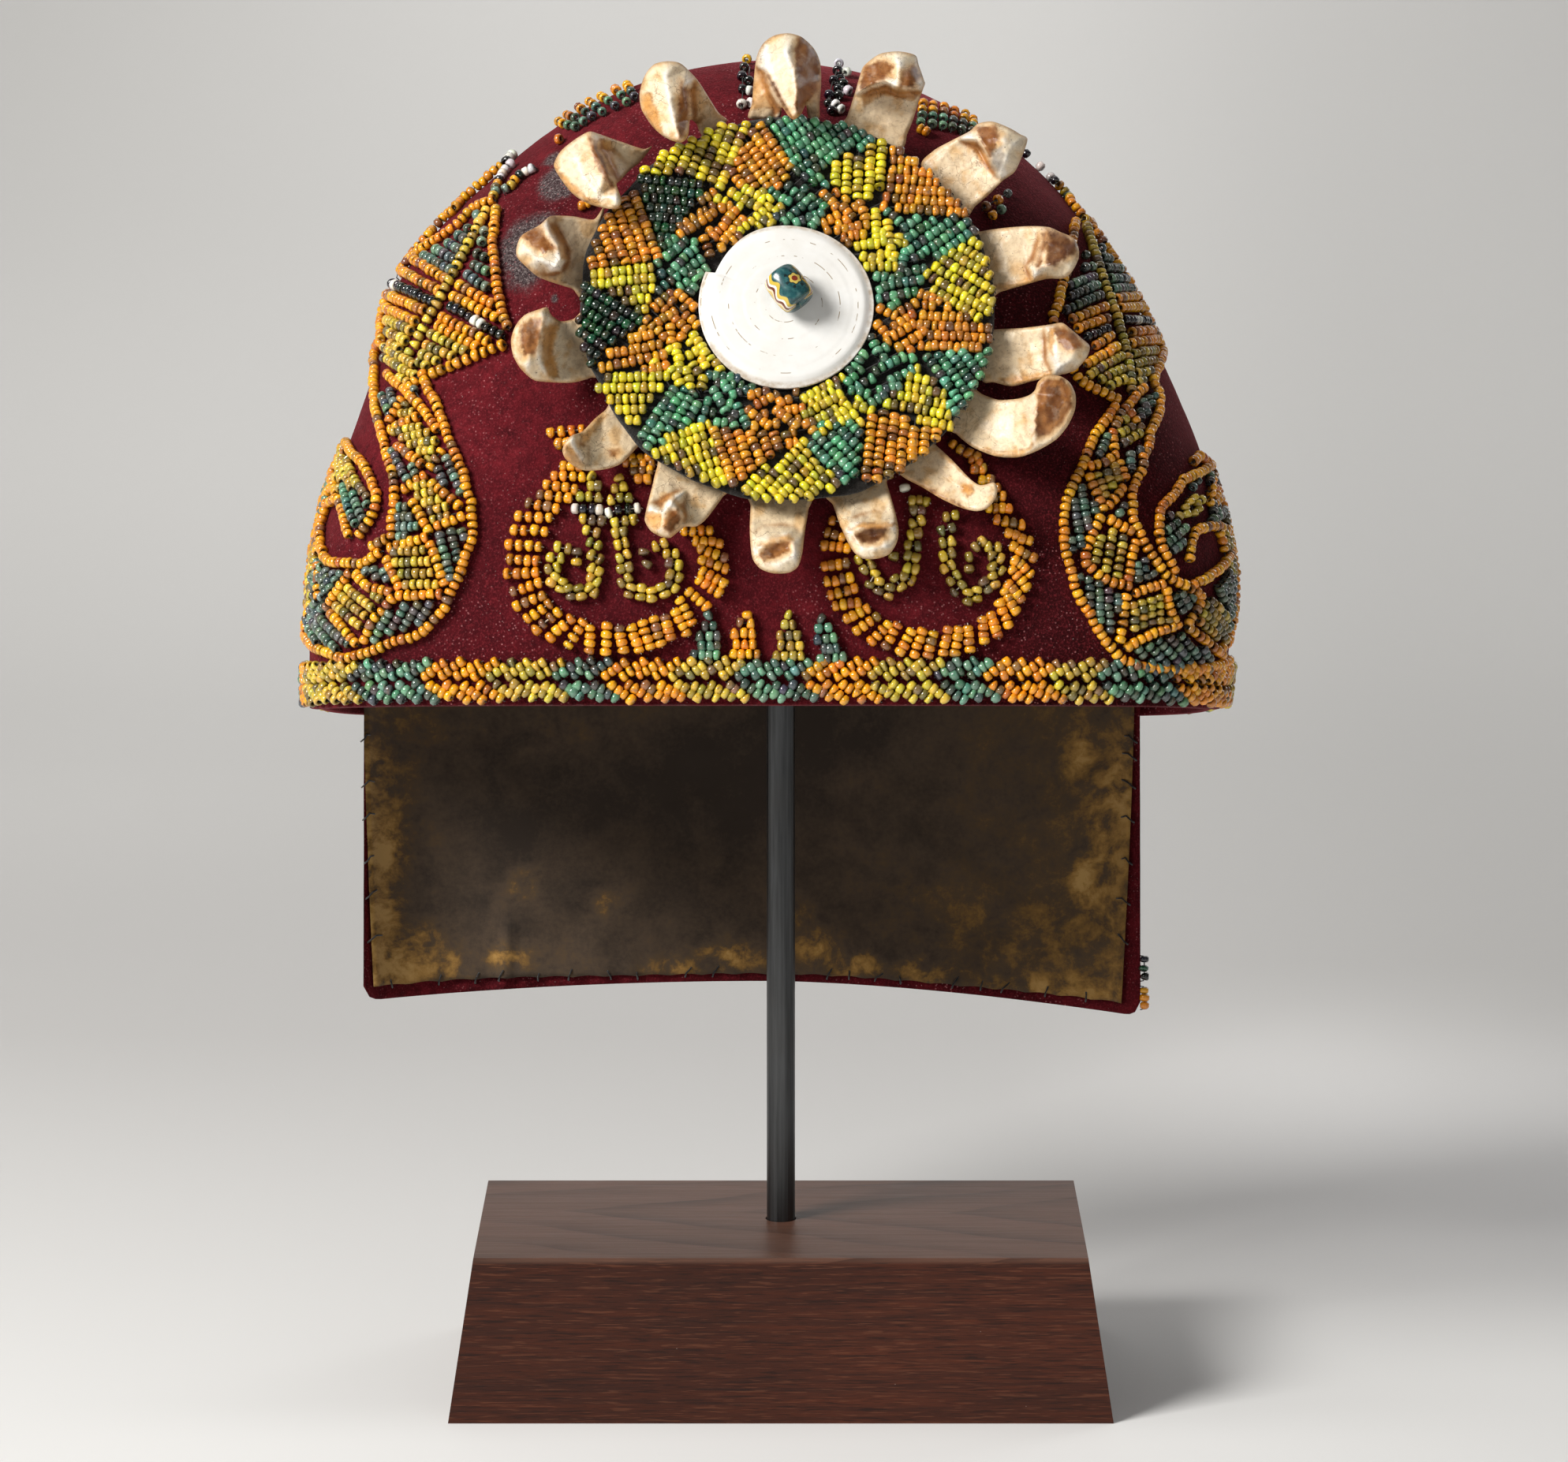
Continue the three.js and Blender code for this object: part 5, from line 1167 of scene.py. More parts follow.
for x0, y0, x1, y1, n in ((709, 564, 728, 562, 3), (794, 588, 827, 590, 4), (804, 598, 825, 598, 3), (809, 609, 822, 609, 2), (884, 660, 866, 664, 2),
                          (1055, 661, 1070, 664, 2), (1049, 677, 1068, 682, 3), (1270, 632, 1260, 632, 2), (1218, 572, 1238, 581, 3), (1236, 596, 1246, 596, 2),
                          (1254, 609, 1246, 610, 2), (1265, 620, 1252, 622, 2)):
    wall_run(ovals, [(x0, y0), (x1, y1)], "amber", count=n, bigger=1.07)

hooks = Strands("hook_beads", "olive_beads", ("hook_left_outer", "hook_left_inner", "hook_right_inner", "hook_right_outer"))
for group in (
    ((750, 605),), ((749, 618), (758, 618)), ((736, 632), (748, 631), (759, 632)), ((740, 660), (752, 661), (763, 663)), ((745, 674), (757, 677)),
    ((748, 688), (759, 693)), ((750, 705), (761, 710)), ((751, 720), (760, 725)), ((749, 733), (758, 739)), ((747, 746), (755, 752)), ((734, 746), (738, 757)),
    ((722, 747), (725, 757)), ((715, 738), (711, 748)), ((705, 731), (699, 739)), ((707, 720), (696, 723)), ((712, 708), (699, 707)), ((721, 697), (708, 695)),
    ((732, 701), (732, 713)),
    ((785, 608),), ((779, 621), (791, 619)), ((775, 635), (786, 633), (798, 633)), ((781, 664), (793, 662), (804, 661)), ((781, 678), (791, 676)),
    ((783, 692), (793, 689)), ((785, 709), (795, 704)), ((787, 723), (798, 720)), ((787, 740), (797, 733)), ((798, 755), (800, 745)), ((812, 757), (813, 746)),
    ((827, 759), (827, 749)), ((843, 755), (838, 744)), ((856, 747), (847, 740)), ((860, 733), (849, 729)), ((861, 718), (849, 715)), ((857, 703), (846, 703)),
    ((842, 690), (831, 694)), ((816, 701),), ((820, 716),),
    ((1156, 637), (1165, 636), (1174, 638)), ((1158, 650), (1168, 649)), ((1156, 665), (1167, 661)), ((1154, 680), (1164, 678)), ((1151, 693), (1163, 693)),
    ((1151, 706), (1161, 709)), ((1150, 720), (1160, 722)), ((1146, 732), (1156, 736)), ((1134, 734), (1143, 745)), ((1128, 745), (1127, 756)),
    ((1115, 738), (1113, 750)), ((1109, 728), (1102, 741)), ((1105, 717), (1095, 724)), ((1100, 706), (1089, 711)), ((1120, 702),), ((1132, 706),),
    ((1211, 655), (1199, 656)), ((1206, 671), (1194, 675)), ((1206, 687), (1195, 690)), ((1206, 702), (1195, 706)), ((1206, 717), (1197, 722)),
    ((1213, 729), (1204, 737)), ((1219, 742), (1210, 751)), ((1227, 752), (1226, 763)), ((1238, 748), (1238, 759)), ((1246, 738), (1252, 749)),
    ((1257, 731), (1261, 742)), ((1258, 719), (1269, 724)), ((1256, 706), (1268, 710)), ((1253, 694), (1264, 695)), ((1245, 687), (1236, 695)), ((1228, 707),),
    ((1228, 721),),
):
    wall_run(hooks, group if len(group) != 1 else [group[0]], "olive", count=len(group), bigger=1.1)
wall_run(hooks, [(730, 646), (761, 648)], ["white", "black", "black", "white"], count=4, bigger=1.1)
wall_run(hooks, [(772, 652), (785, 648), (809, 646)], ["white", "black", "black", "white"], count=4, bigger=1.1)
wall_run(hooks, [(1147, 621)], "white", bigger=1.1)

spikes = Strands("spike_beads", "olive_beads", ("spike_1", "spike_2", "spike_3", "spike_4"))
for tone, rows in (
    ("green", ((898, 781, 1), (893, 794, 904, 794), (888, 807, 909, 807), (890, 819, 909, 819), (880, 830, 908, 831))),
    ("orange", ((947, 779, 1), (938, 790, 952, 790), (931, 803, 954, 803), (934, 817, 954, 817), (930, 829, 960, 830))),
    ("yellow", ((1000, 779, 1), (995, 792, 1005, 792), (990, 806, 1011, 806), (991, 819, 1014, 819), (985, 832, 1015, 832))),
    ("green", ((1041, 785, 1), (1038, 797, 1050, 796), (1037, 811, 1058, 809), (1045, 823, 1061, 822), (1040, 836, 1069, 833))),
):
    for k, row in enumerate(rows):
        if len(row) == 3:
            wall_run(spikes, [row[:2]], tone, bigger=1.06)
        else:
            wall_run(spikes, [row[:2], row[2:]], tone, count=(2, 2, 3, 3, 4)[k], bigger=1.06)

# ------------------------------------------------------------------ crest arcs and loose bits of beadwork
crest = Strands("crest_beads", "green_beads", ("crest_left", "crest_right"))
for pts in (((712, 160), (732, 166)), ((722, 150), (742, 160)), ((736, 141), (753, 153)), ((750, 134), (766, 147)), ((765, 126), (782, 140)),
            ((783, 119), (797, 134)), ((798, 115), (806, 128))):
    wall_run(crest, pts, ["orange", "orange", "green", "green"], count=4)
for pts in (((1168, 138), (1166, 160)), ((1181, 139), (1180, 162)), ((1194, 142), (1193, 164)), ((1207, 146), (1205, 167)), ((1220, 150), (1217, 170)), ((1231, 156), (1228, 172))):
    wall_run(crest, pts, ["orange", "orange", "green", "green"], count=4)
for tones, pts in (
    ("orange", [(711, 182)]), ("orange", [(739, 265), (747, 262)]), ("orange", [(1165, 168), (1172, 172)]),
    (["orange", "orange", "green"], [(1248, 266), (1262, 258), (1275, 250)]), (["orange", "green"], [(1256, 278), (1268, 270)]),
    (["orange", "orange", "orange"], [(700, 551), (712, 551), (726, 549)]), (["orange", "orange"], [(709, 566), (722, 562)]),
    (["orange", "orange", "orange"], [(802, 582), (812, 582), (822, 582)]), (["orange", "orange", "orange"], [(804, 595), (814, 596), (824, 597)]),
    (["orange", "orange"], [(810, 609), (820, 609)]),
    (["orange", "orange", "orange"], [(1207, 565), (1216, 571), (1226, 576)]), (["orange", "orange", "orange"], [(1222, 580), (1231, 585), (1240, 588)]),
    (["orange", "orange"], [(1233, 597), (1245, 597)]), (["orange", "orange"], [(1244, 610), (1256, 611)]),
    (["orange", "black", "black", "black", "white"], [(947, 82), (944, 91), (941, 107), (943, 125), (941, 137)]), (["black", "black"], [(951, 91), (949, 108)]), ("white", [(950, 120)]), ("white", [(952, 136)]),
    (["white", "black", "black", "black"], [(1062, 87), (1060, 96), (1052, 117), (1051, 126)]), (["white", "white", "white"], [(1072, 98), (1053, 106), (1074, 120)]),
    (["black", "black"], [(1064, 107), (1068, 112)]), (["black", "black"], [(1062, 118), (1063, 127)]), (["white", "white"], [(1058, 137), (1066, 143)]),
    (["black", "black"], [(1050, 136), (1054, 145)]),
):
    wall_run(crest, pts, tones, count=len(tones) if isinstance(tones, list) else None)

# ------------------------------------------------------------------ rosette
ROSE = np.array([1.2, -45.1, 246.3])
LEAN = math.radians(27.5)
ROSE_AXES = np.array([[1, 0, 0], [0, math.sin(LEAN), math.cos(LEAN)], [0, -math.cos(LEAN), math.sin(LEAN)]])   # right, up, out


def rose(p):
    return ROSE + np.asarray(p, float) @ ROSE_AXES


def rose_pixel(x, y, level=1.4):
    d = ray(x, y)
    n = ROSE_AXES[2]
    t = ((ROSE + level * n - EYE) @ n) / (d @ n)
    q = EYE + t * d - ROSE
    return np.array([q @ ROSE_AXES[0], q @ ROSE_AXES[1]])


rosette = Strands("rosette_beads", "amber_beads", ("rosette_beadwork",))
OUTER = (
    ("dark", (1, 0.1), [(807, 220), (902, 236), (878, 262), (860, 290), (840, 318), (826, 285), (812, 240)]),
    ("lime", (-0.38, 0.92), [(816, 222), (818, 198), (850, 175), (875, 155), (905, 145), (948, 150), (945, 178), (932, 205), (915, 245), (900, 232), (868, 222)]),
    ("amber", (0.58, 0.81), [(948, 148), (975, 165), (998, 200), (1010, 232), (1000, 240), (955, 240), (918, 235), (925, 215), (940, 185)]),
    ("jade", (-0.8, 0.6), [(962, 140), (1010, 138), (1060, 150), (1085, 160), (1108, 170), (1108, 182), (1065, 198), (1010, 232), (1000, 205), (985, 175)]),
    ("lime", (-0.05, 1), [(1053, 215), (1065, 198), (1108, 180), (1122, 175), (1125, 190), (1120, 230), (1110, 252), (1085, 254), (1060, 240)]),
    ("amber", (1, 0.08), [(1122, 172), (1165, 180), (1200, 205), (1225, 240), (1232, 268), (1222, 276), (1170, 268), (1115, 262), (1125, 235), (1128, 200)]),
    ("jade", (-0.82, 0.57), [(1135, 272), (1180, 268), (1225, 275), (1240, 285), (1235, 300), (1200, 320), (1160, 338), (1150, 320), (1145, 300)]),
    ("lime", (0.85, 0.52), [(1165, 350), (1200, 320), (1235, 300), (1250, 320), (1262, 365), (1262, 395), (1240, 408), (1200, 385)]),
    ("amber", (1, 0.05), [(1168, 368), (1195, 380), (1235, 405), (1262, 418), (1258, 440), (1200, 445), (1165, 440), (1155, 425), (1165, 400)]),
    ("jade", (0.6, 0.8), [(1162, 450), (1200, 445), (1257, 440), (1255, 480), (1240, 505), (1225, 535), (1210, 532), (1195, 495), (1175, 470)]),
    ("lime", (1, 0.2), [(1160, 460), (1185, 480), (1205, 505), (1222, 540), (1215, 548), (1175, 535), (1125, 520), (1120, 508), (1145, 480)]),
    ("amber", (-0.1, 1), [(1105, 515), (1160, 530), (1195, 535), (1192, 560), (1165, 590), (1110, 612), (1092, 610), (1095, 570), (1100, 540)]),
    ("jade", (0.7, 0.71), [(1020, 545), (1060, 525), (1095, 545), (1092, 580), (1085, 610), (1070, 612), (1045, 590), (1028, 570)]),
    ("lime", (-0.68, 0.73), [(1015, 552), (1030, 560), (1050, 585), (1065, 615), (1030, 632), (985, 637), (945, 630), (940, 618), (975, 590), (1000, 570)]),
    ("amber", (0.35, 0.94), [(903, 540), (945, 545), (1003, 548), (990, 570), (960, 595), (938, 615), (925, 620), (912, 585)]),
    ("lime", (-0.93, 0.35), [(818, 572), (860, 548), (900, 530), (905, 545), (910, 575), (925, 612), (905, 615), (870, 600), (840, 585)]),
    ("jade", (-0.55, 0.83), [(812, 555), (830, 520), (850, 490), (880, 490), (890, 515), (870, 540), (845, 560), (820, 572)]),
    ("lime", (1, -0.02), [(753, 490), (770, 475), (850, 470), (850, 482), (830, 505), (812, 535), (800, 540), (778, 520), (755, 505)]),
    ("amber", (1, -0.2), [(755, 470), (775, 440), (820, 418), (835, 425), (850, 455), (850, 470), (790, 475), (755, 480)]),
    ("dark", (0.85, 0.53), [(728, 365), (742, 358), (790, 385), (820, 405), (800, 425), (770, 440), (752, 470), (740, 450), (730, 410)]),
    ("lime", (1, -0.12), [(742, 350), (775, 340), (830, 332), (832, 365), (822, 395), (805, 400), (780, 385), (750, 365)]),
    ("amber", (0.35, 0.93), [(745, 335), (755, 300), (770, 270), (795, 245), (808, 240), (815, 262), (835, 310), (840, 330), (800, 335), (755, 342)]),
)
INNER = (
    ("amber", ((862, 297, 905, 270), (888, 270, 925, 262), (905, 300, 932, 268), (918, 305, 942, 278), (893, 303, 900, 322))),
    ("lime", ((910, 252, 938, 262), (928, 244, 960, 262), (938, 292, 975, 262), (955, 292, 990, 262), (945, 240, 968, 252))),
    ("jade", ((978, 242, 1000, 256), (1000, 236, 1030, 262), (995, 280, 1030, 250), (1010, 282, 1042, 270), (1020, 240, 1045, 262), (985, 275, 1000, 268))),
    ("amber", ((1045, 245, 1060, 262), (1058, 250, 1080, 275), (1045, 282, 1085, 262), (1062, 292, 1098, 285), (1092, 258, 1100, 285), (1070, 300, 1095, 298))),
    ("lime", ((1110, 268, 1112, 300), (1125, 282, 1130, 315), (1087, 312, 1120, 305), (1095, 325, 1115, 330), (1098, 338, 1135, 338), (1140, 300, 1132, 330))),
    ("jade", ((1125, 268, 1140, 280), (1148, 320, 1140, 350), (1112, 350, 1140, 355), (1115, 368, 1150, 345), (1115, 378, 1160, 370), (1130, 388, 1150, 372))),
    ("amber", ((1108, 388, 1135, 400), (1108, 405, 1125, 425), (1135, 400, 1160, 385), (1125, 430, 1158, 410), (1140, 440, 1165, 425), (1168, 372, 1190, 382))),
    ("jade", ((1105, 428, 1112, 445), (1078, 470, 1095, 450), (1075, 485, 1090, 470), (1110, 470, 1145, 452), (1120, 455, 1150, 450), (1115, 495, 1140, 490), (1080, 495, 1100, 500))),
    ("lime", ((1020, 505, 1068, 478), (1020, 525, 1065, 500), (1030, 535, 1060, 520), (1050, 540, 1075, 515), (1068, 508, 1105, 520))),
    ("amber", ((952, 500, 1000, 492), (948, 520, 975, 540), (960, 512, 985, 500), (1000, 495, 1030, 500), (985, 520, 1010, 540), (1015, 530, 1030, 545), (990, 510, 1018, 498))),
    ("jade", ((900, 475, 935, 480), (905, 495, 920, 520), (930, 500, 962, 490), (915, 480, 925, 500), (925, 525, 930, 540), (935, 515, 948, 540))),
    ("lime", ((858, 440, 862, 470), (880, 425, 900, 455), (865, 455, 890, 440), (905, 460, 935, 470), (870, 470, 875, 490), (895, 470, 890, 490))),
    ("amber", ((830, 390, 850, 372), (860, 372, 885, 395), (835, 408, 855, 395), (862, 395, 885, 410), (850, 415, 852, 440), (868, 390, 878, 405))),
    ("jade", ((835, 368, 875, 340), (845, 325, 870, 305), (850, 345, 880, 315), (870, 335, 888, 360), (860, 310, 890, 305), (875, 370, 890, 350))),
)


def rose_string(flat, tone):
    flat = np.asarray(flat, float)
    p = rose(np.concatenate([flat, np.full((len(flat), 1), 1.3)], 1))
    rosette.string(p, np.repeat(ROSE_AXES[2:3], len(p), 0), tone, 1.06)


for tone, strings in INNER:
    for x0, y0, x1, y1 in strings:
        a, b = rose_pixel(x0, y0), rose_pixel(x1, y1)
        n = max(2, int(round(np.linalg.norm(b - a) / PITCH_ALONG)) + 1)
        pts = a + (b - a) * np.linspace(0, 1, n)[:, None]
        keep = np.hypot(*pts.T) > 19.1
        if keep.sum() >= 2:
            rose_string(pts[keep], tone)
for tone, direction, pts in OUTER:
    flat = np.array([rose_pixel(*p) for p in pts])
    mid = np.mean(pts, 0)
    d = rose_pixel(*(mid + 5 * np.array(direction))) - rose_pixel(*mid)
    for row in hatch(flat, d, across=2.26, along=1.6, margin=0.1):
        far = np.hypot(*row.T) < 44.0
        if far.any():
            rose_string(row[far], tone)
# strings that close the ring between the wedges and the shell
turns = []
for tone, strings in INNER:
    mids = np.array([rose_pixel((a + c) / 2, (b + d) / 2) for a, b, c, d in strings])
    a, b, c, d = max(strings, key=lambda q: math.hypot(q[2] - q[0], q[3] - q[1]))
    turns.append((math.atan2(*mids.mean(0)) % (2 * math.pi), tone, rose_pixel(c, d) - rose_pixel(a, b)))
turns.sort(key=lambda q: q[0])
for k, (angle, tone, way) in enumerate(turns):
    before = turns[k - 1][0] - (2 * math.pi if k == 0 else 0)
    after = turns[(k + 1) % len(turns)][0] + (2 * math.pi if k == len(turns) - 1 else 0)
    span = np.linspace((before + angle) / 2, (angle + after) / 2, 9)
    outline = np.concatenate([[(18.9 * math.sin(q), 18.9 * math.cos(q)) for q in span], [(31.5 * math.sin(q), 31.5 * math.cos(q)) for q in span[::-1]]])
    for row in hatch(outline, way, across=2.26, along=1.6, margin=0.1):
        rose_string(row, tone)

# ------------------------------------------------------------------ neck flap
FLAP_LEFT, FLAP_RIGHT = -91.9, 85.8
FLAP_FOLDS = [(-62, 10, 1.6), (20, 22, -1.2), (66, 12, 2.0)]
# soft creases in the cloth: from, to (across, up), depth and half width
FLAP_CREASES = [(-59.5, -47, -60.5, -63, 0.9, 1.2), (61, -57, 77, -50, 0.7, 2.4), (74, -14, 85, -7, 0.6, 2.0), (35, -27, 61, -46, 0.5, 3.0),
                (-66, -7, -57, -17, 0.45, 2.4), (48, -60, 56, -52, 0.6, 2.0), (-30, -40, -44, -58, 0.4, 3.2), (8, -38, 26, -60, 0.45, 3.0)]


def flap_drop(x):
    f = np.asarray(x, float) / 91.9
    drop = 60 + np.where(f > 0, 8.9 * np.abs(f) ** 1.6, 4.3 * f * f)
    # soft corners
    d = np.clip(np.minimum(x - FLAP_LEFT, FLAP_RIGHT - x), 0.0, 3.4)
    return drop - (3.4 - np.sqrt(np.maximum(3.4 ** 2 - (3.4 - d) ** 2, 0.0)))


def flap_point(x, h, inset):
    reach = np.where(x > 0, 99.5, 100.0)
    y = (64.0 - inset) * np.maximum(1 - np.abs(x / (reach - inset)) ** 4.2, 0) ** (1 / 4.2)
    low = np.clip(-h / 60, 0, 1)
    fold = sum(depth * np.exp(-(((x - m) / half) ** 2)) for m, half, depth in FLAP_FOLDS)
    return np.stack([x, y - fold * low * low, h], -1)


def flap_wave(x, h):
    """Small soft waves in the cloth, millimetres."""
    p = np.stack([x, h, 0 * x], -1).reshape(-1, 3)
    low = np.clip((-h + 2) / 14, 0, 1)
    out = (0.5 * wobble(p, 46.0, 5) + 0.2 * wobble(p, 15.0, 6)).reshape(x.shape) * low
    for x0, h0, x1, h1, depth, half in FLAP_CREASES:
        a, d = np.array([x0, h0]), np.array([x1 - x0, h1 - h0])
        q = np.stack([x - a[0], h - a[1]], -1)
        t = (q @ d) / (d @ d)
        off = np.linalg.norm(q - np.clip(t, 0, 1)[..., None] * d, axis=-1)
        out -= depth * np.exp(-(off / half) ** 2)
    pucker = np.sin(x * 0.83 + 1.3 * np.sin(x * 0.21)) * np.exp(-np.maximum(h + flap_drop(x), 0) / 4.0)
    return out + 0.35 * pucker * low


def flap_sheet(name, near, far, x0, x1, foot, material, slot, node, cols=150, rows=56):
    u = np.linspace(0, 1, cols)
    v = np.linspace(0, 1, rows)
    x0, x1 = x0(v)[:, None], x1(v)[:, None]
    x = x1 + (x0 - x1) * u[None, :]
    bottom = -flap_drop(x) + foot(x)
    h = bottom + (7.0 - bottom) * v[:, None]
    wave = flap_wave(x, h)
    faces = []
    for inset in (near, far):
        p = flap_point(x, h, inset)
        p[..., 1] += wave
        faces.append(p)
    verts = np.concatenate([to_world(f.reshape(-1, 3)) for f in faces])
    n = rows * cols
    front = ring_quads(rows, cols, False)
    quads = [front[:, ::-1], front + n]
    i = np.arange(cols - 1)
    quads.append(np.stack([i, i + 1, i + 1 + n, i + n], 1))
    top = (rows - 1) * cols + i
    quads.append(np.stack([top, top + n, top + 1 + n, top + 1], 1))
    j = np.arange(rows - 1) * cols
    quads.append(np.stack([j, j + n, j + cols + n, j + cols], 1))
    k = j + cols - 1
    quads.append(np.stack([k, k + cols, k + cols + n, k + n], 1))
    ob = mesh_object(name, verts, quads=np.concatenate(quads)[:, ::-1], material=material)
    cut = np.stack([x, h, 0 * x], -1).reshape(-1, 3)
    return ob, np.concatenate([cut, cut]), x, h


flap_velvet, flap_cut, fx, fh = flap_sheet("neck_flap_velvet", 4.9, 3.2, lambda v: FLAP_LEFT + 0 * v, lambda v: FLAP_RIGHT + 0 * v, lambda x: 0 * x, VELVET, "velvet", "neck_flap")
put_float(flap_velvet, "wear", np.zeros(len(flap_cut)))
put_float(flap_velvet, "nap", np.zeros(len(flap_cut)))
finish_piece(flap_velvet, ("neck_flap",))


def lining_left(v):
    return FLAP_LEFT + 0.2 + 2.0 * (1 - v) ** 1.6


def lining_right(v):
    return FLAP_RIGHT - 1.3 - 3.0 * (1 - v) ** 1.4


def lining_foot(x):
    return 1.5 + 1.3 * smooth(-25, -80, x) + 0.7 * smooth(40, 80, x) + 0.4 * np.abs(np.sin(x * 0.42))


flap_lining, lining_cut, lx, lh = flap_sheet("flap_lining_cotton", 6.0, 5.15, lining_left, lining_right, lining_foot, LINING, "lining", "flap_lining")
put_vector(flap_lining, "cut", lining_cut)
side_margin = np.minimum(lining_cut[:, 0] - (FLAP_LEFT + 1.0), (FLAP_RIGHT - 2.0) - lining_cut[:, 0])
foot_margin = lining_cut[:, 1] + flap_drop(lining_cut[:, 0]) - 2.6
edge = np.maximum(np.exp(-(np.maximum(side_margin, 0) / 13) ** 1.4), 0.28 * np.exp(-(np.maximum(foot_margin, 0) / 7) ** 1.4))
put_float(flap_lining, "edge", edge)


def flap_pixel(x, y):
    """Where the camera sees the flap at a pixel of the photograph's frame, as (across, up) on the flap."""
    d = ray(x, y)
    t = 1380.0
    for _ in range(12):
        q = to_cap(EYE + t * d)
        want = flap_point(np.array([np.clip(q[0], FLAP_LEFT, FLAP_RIGHT)]), np.array([q[2]]), 6.0)[0, 1]
        t += (want - q[1]) / (d @ CAP_AXES[1])
    return q[0], q[2]


# paler places the stain left, (pixel, half width, half height in millimetres, how pale)
pale = np.zeros(len(lining_cut))
for x, y, w, t, k in ((470, 985, 4.0, 9, 0.75), (480, 1075, 5.0, 12, 0.8), (478, 1160, 5.5, 9, 0.65), (490, 1225, 8, 8, 0.8), (530, 1200, 5, 5, 0.5),
                      (664, 1118, 4, 4.5, 0.5), (640, 1212, 6, 3, 0.65), (768, 1145, 4, 3, 0.4), (560, 1225, 9, 4, 0.5), (860, 1228, 7, 3.5, 0.4), (925, 1212, 8, 3.5, 0.65),
                      (1035, 1200, 6, 4.5, 0.6), (1085, 1222, 7, 3.5, 0.6), (1010, 1160, 6, 3.5, 0.4), (1370, 955, 4, 7, 0.5), (1374, 1115, 3.5, 6, 0.7), (1400, 1060, 7, 22, 0.28),
                      (1180, 1230, 9, 3.5, 0.5), (1330, 1255, 16, 4, 0.5), (1290, 1190, 30, 14, 0.2), (1080, 985, 10, 5, 0.25), (720, 930, 14, 6, 0.18), (1160, 1130, 9, 4, 0.22),
                      (1420, 1010, 5, 12, 0.35), (560, 925, 20, 4, 0.12)):
    c = flap_pixel(x, y)
    r = ((lining_cut[:, 0] - c[0]) / w) ** 2 + ((lining_cut[:, 1] - c[1]) / t) ** 2
    pale = np.maximum(pale, k * np.exp(-r))
for x, y, w, t, k in ((1040, 960, 22, 12, 0.3), (880, 1010, 26, 16, 0.2), (620, 1040, 16, 18, 0.15)):
    c = flap_pixel(x, y)
    pale -= k * np.exp(-(((lining_cut[:, 0] - c[0]) / w) ** 2 + ((lining_cut[:, 1] - c[1]) / t) ** 2))
put_float(flap_lining, "tan", pale)
finish_piece(flap_lining, ("flap_lining",))

# overcast stitches along the sides and the foot of the lining
stitches = []


def flap_world(x, h, inset):
    x, h = np.atleast_1d(np.asarray(x, float)), np.atleast_1d(np.asarray(h, float))
    p = flap_point(x, h, inset)
    p[:, 1] += flap_wave(x, h)
    return to_world(p)


g = np.random.default_rng(3)
for side, edge_at in ((1, lining_left), (-1, lining_right)):
    h = -4.0
    while h > -58.0:
        x_edge = float(edge_at(np.array((h + 62.0) / 69.0)))
        inner = 1.0 + 1.3 * g.random()
        xs = x_edge + side * np.array([inner, inner * 0.5, 0.0, -0.9])
        hs = h + np.array([1.6 * g.random(), 0.4, -0.6, -1.2])
        stitches.append(flap_world(xs, hs, np.array([6.0, 6.35, 6.1, 4.9])))
        h -= 4.0 + 8.0 * g.random()
x = FLAP_LEFT + 6
while x < FLAP_RIGHT - 6:
    foot = float(-flap_drop(np.array(x)) + lining_foot(np.array(x)))
    up = 0.8 + 1.1 * g.random()
    lean = g.normal(0.8, 0.6)
    stitches.append(flap_world(x + lean * np.array([1.0, 0.5, 0.0, -0.2]), foot + np.array([up, up * 0.5, 0.1, -0.8]), np.array([6.0, 6.35, 6.1, 4.9])))
    x += 4.5 + 9.0 * g.random()

# band of beads on the back of the flap
flap_band = Strands("flap_band_beads", "amber_beads", ("flap_band",))
flap_run = np.concatenate([[0], np.cumsum(np.linalg.norm(np.diff(flap_point(np.linspace(FLAP_LEFT + 3, FLAP_RIGHT - 3, 400), np.full(400, -60.0), 3.2), axis=0), axis=1))])
flap_xs = np.linspace(FLAP_LEFT + 3, FLAP_RIGHT - 3, 400)


def flap_place(pts):
    x = np.interp(pts[:, 0] + flap_run[-1] / 2, flap_run, flap_xs)
    h = -flap_drop(x) + pts[:, 1]
    e = 0.5
    p = flap_point(x, h, 3.2)
    p[:, 1] += flap_wave(x, h)
    a = flap_point(x + e, h, 3.2) - flap_point(x - e, h, 3.2)
    b = flap_point(x, h + e, 3.2) - flap_point(x, h - e, 3.2)
    n = unit(np.cross(b, a))
    return to_world(p + LIFT * n), n @ CAP_AXES


# the band's end turns over the flap's right edge
for h0, h1, tones in ((-55.0, -58.9, ["black", "dark", "black"]), (-62.0, -65.4, ["orange", "orange", "orange"])):
    hs = np.linspace(h0, h1, 3)
    edge_points = to_world(flap_point(np.full(3, FLAP_RIGHT + 0.9), hs, 4.2))
    flap_band.string(edge_points, np.repeat(np.array([[1.0, 0.0, 0.0]]), 3, 0), tones)
chevrons(flap_band, flap_run[-1], flap_place, lambda s: ("orange", "green", "yellow")[int((s + 300) // 14) % 3], 6.0)

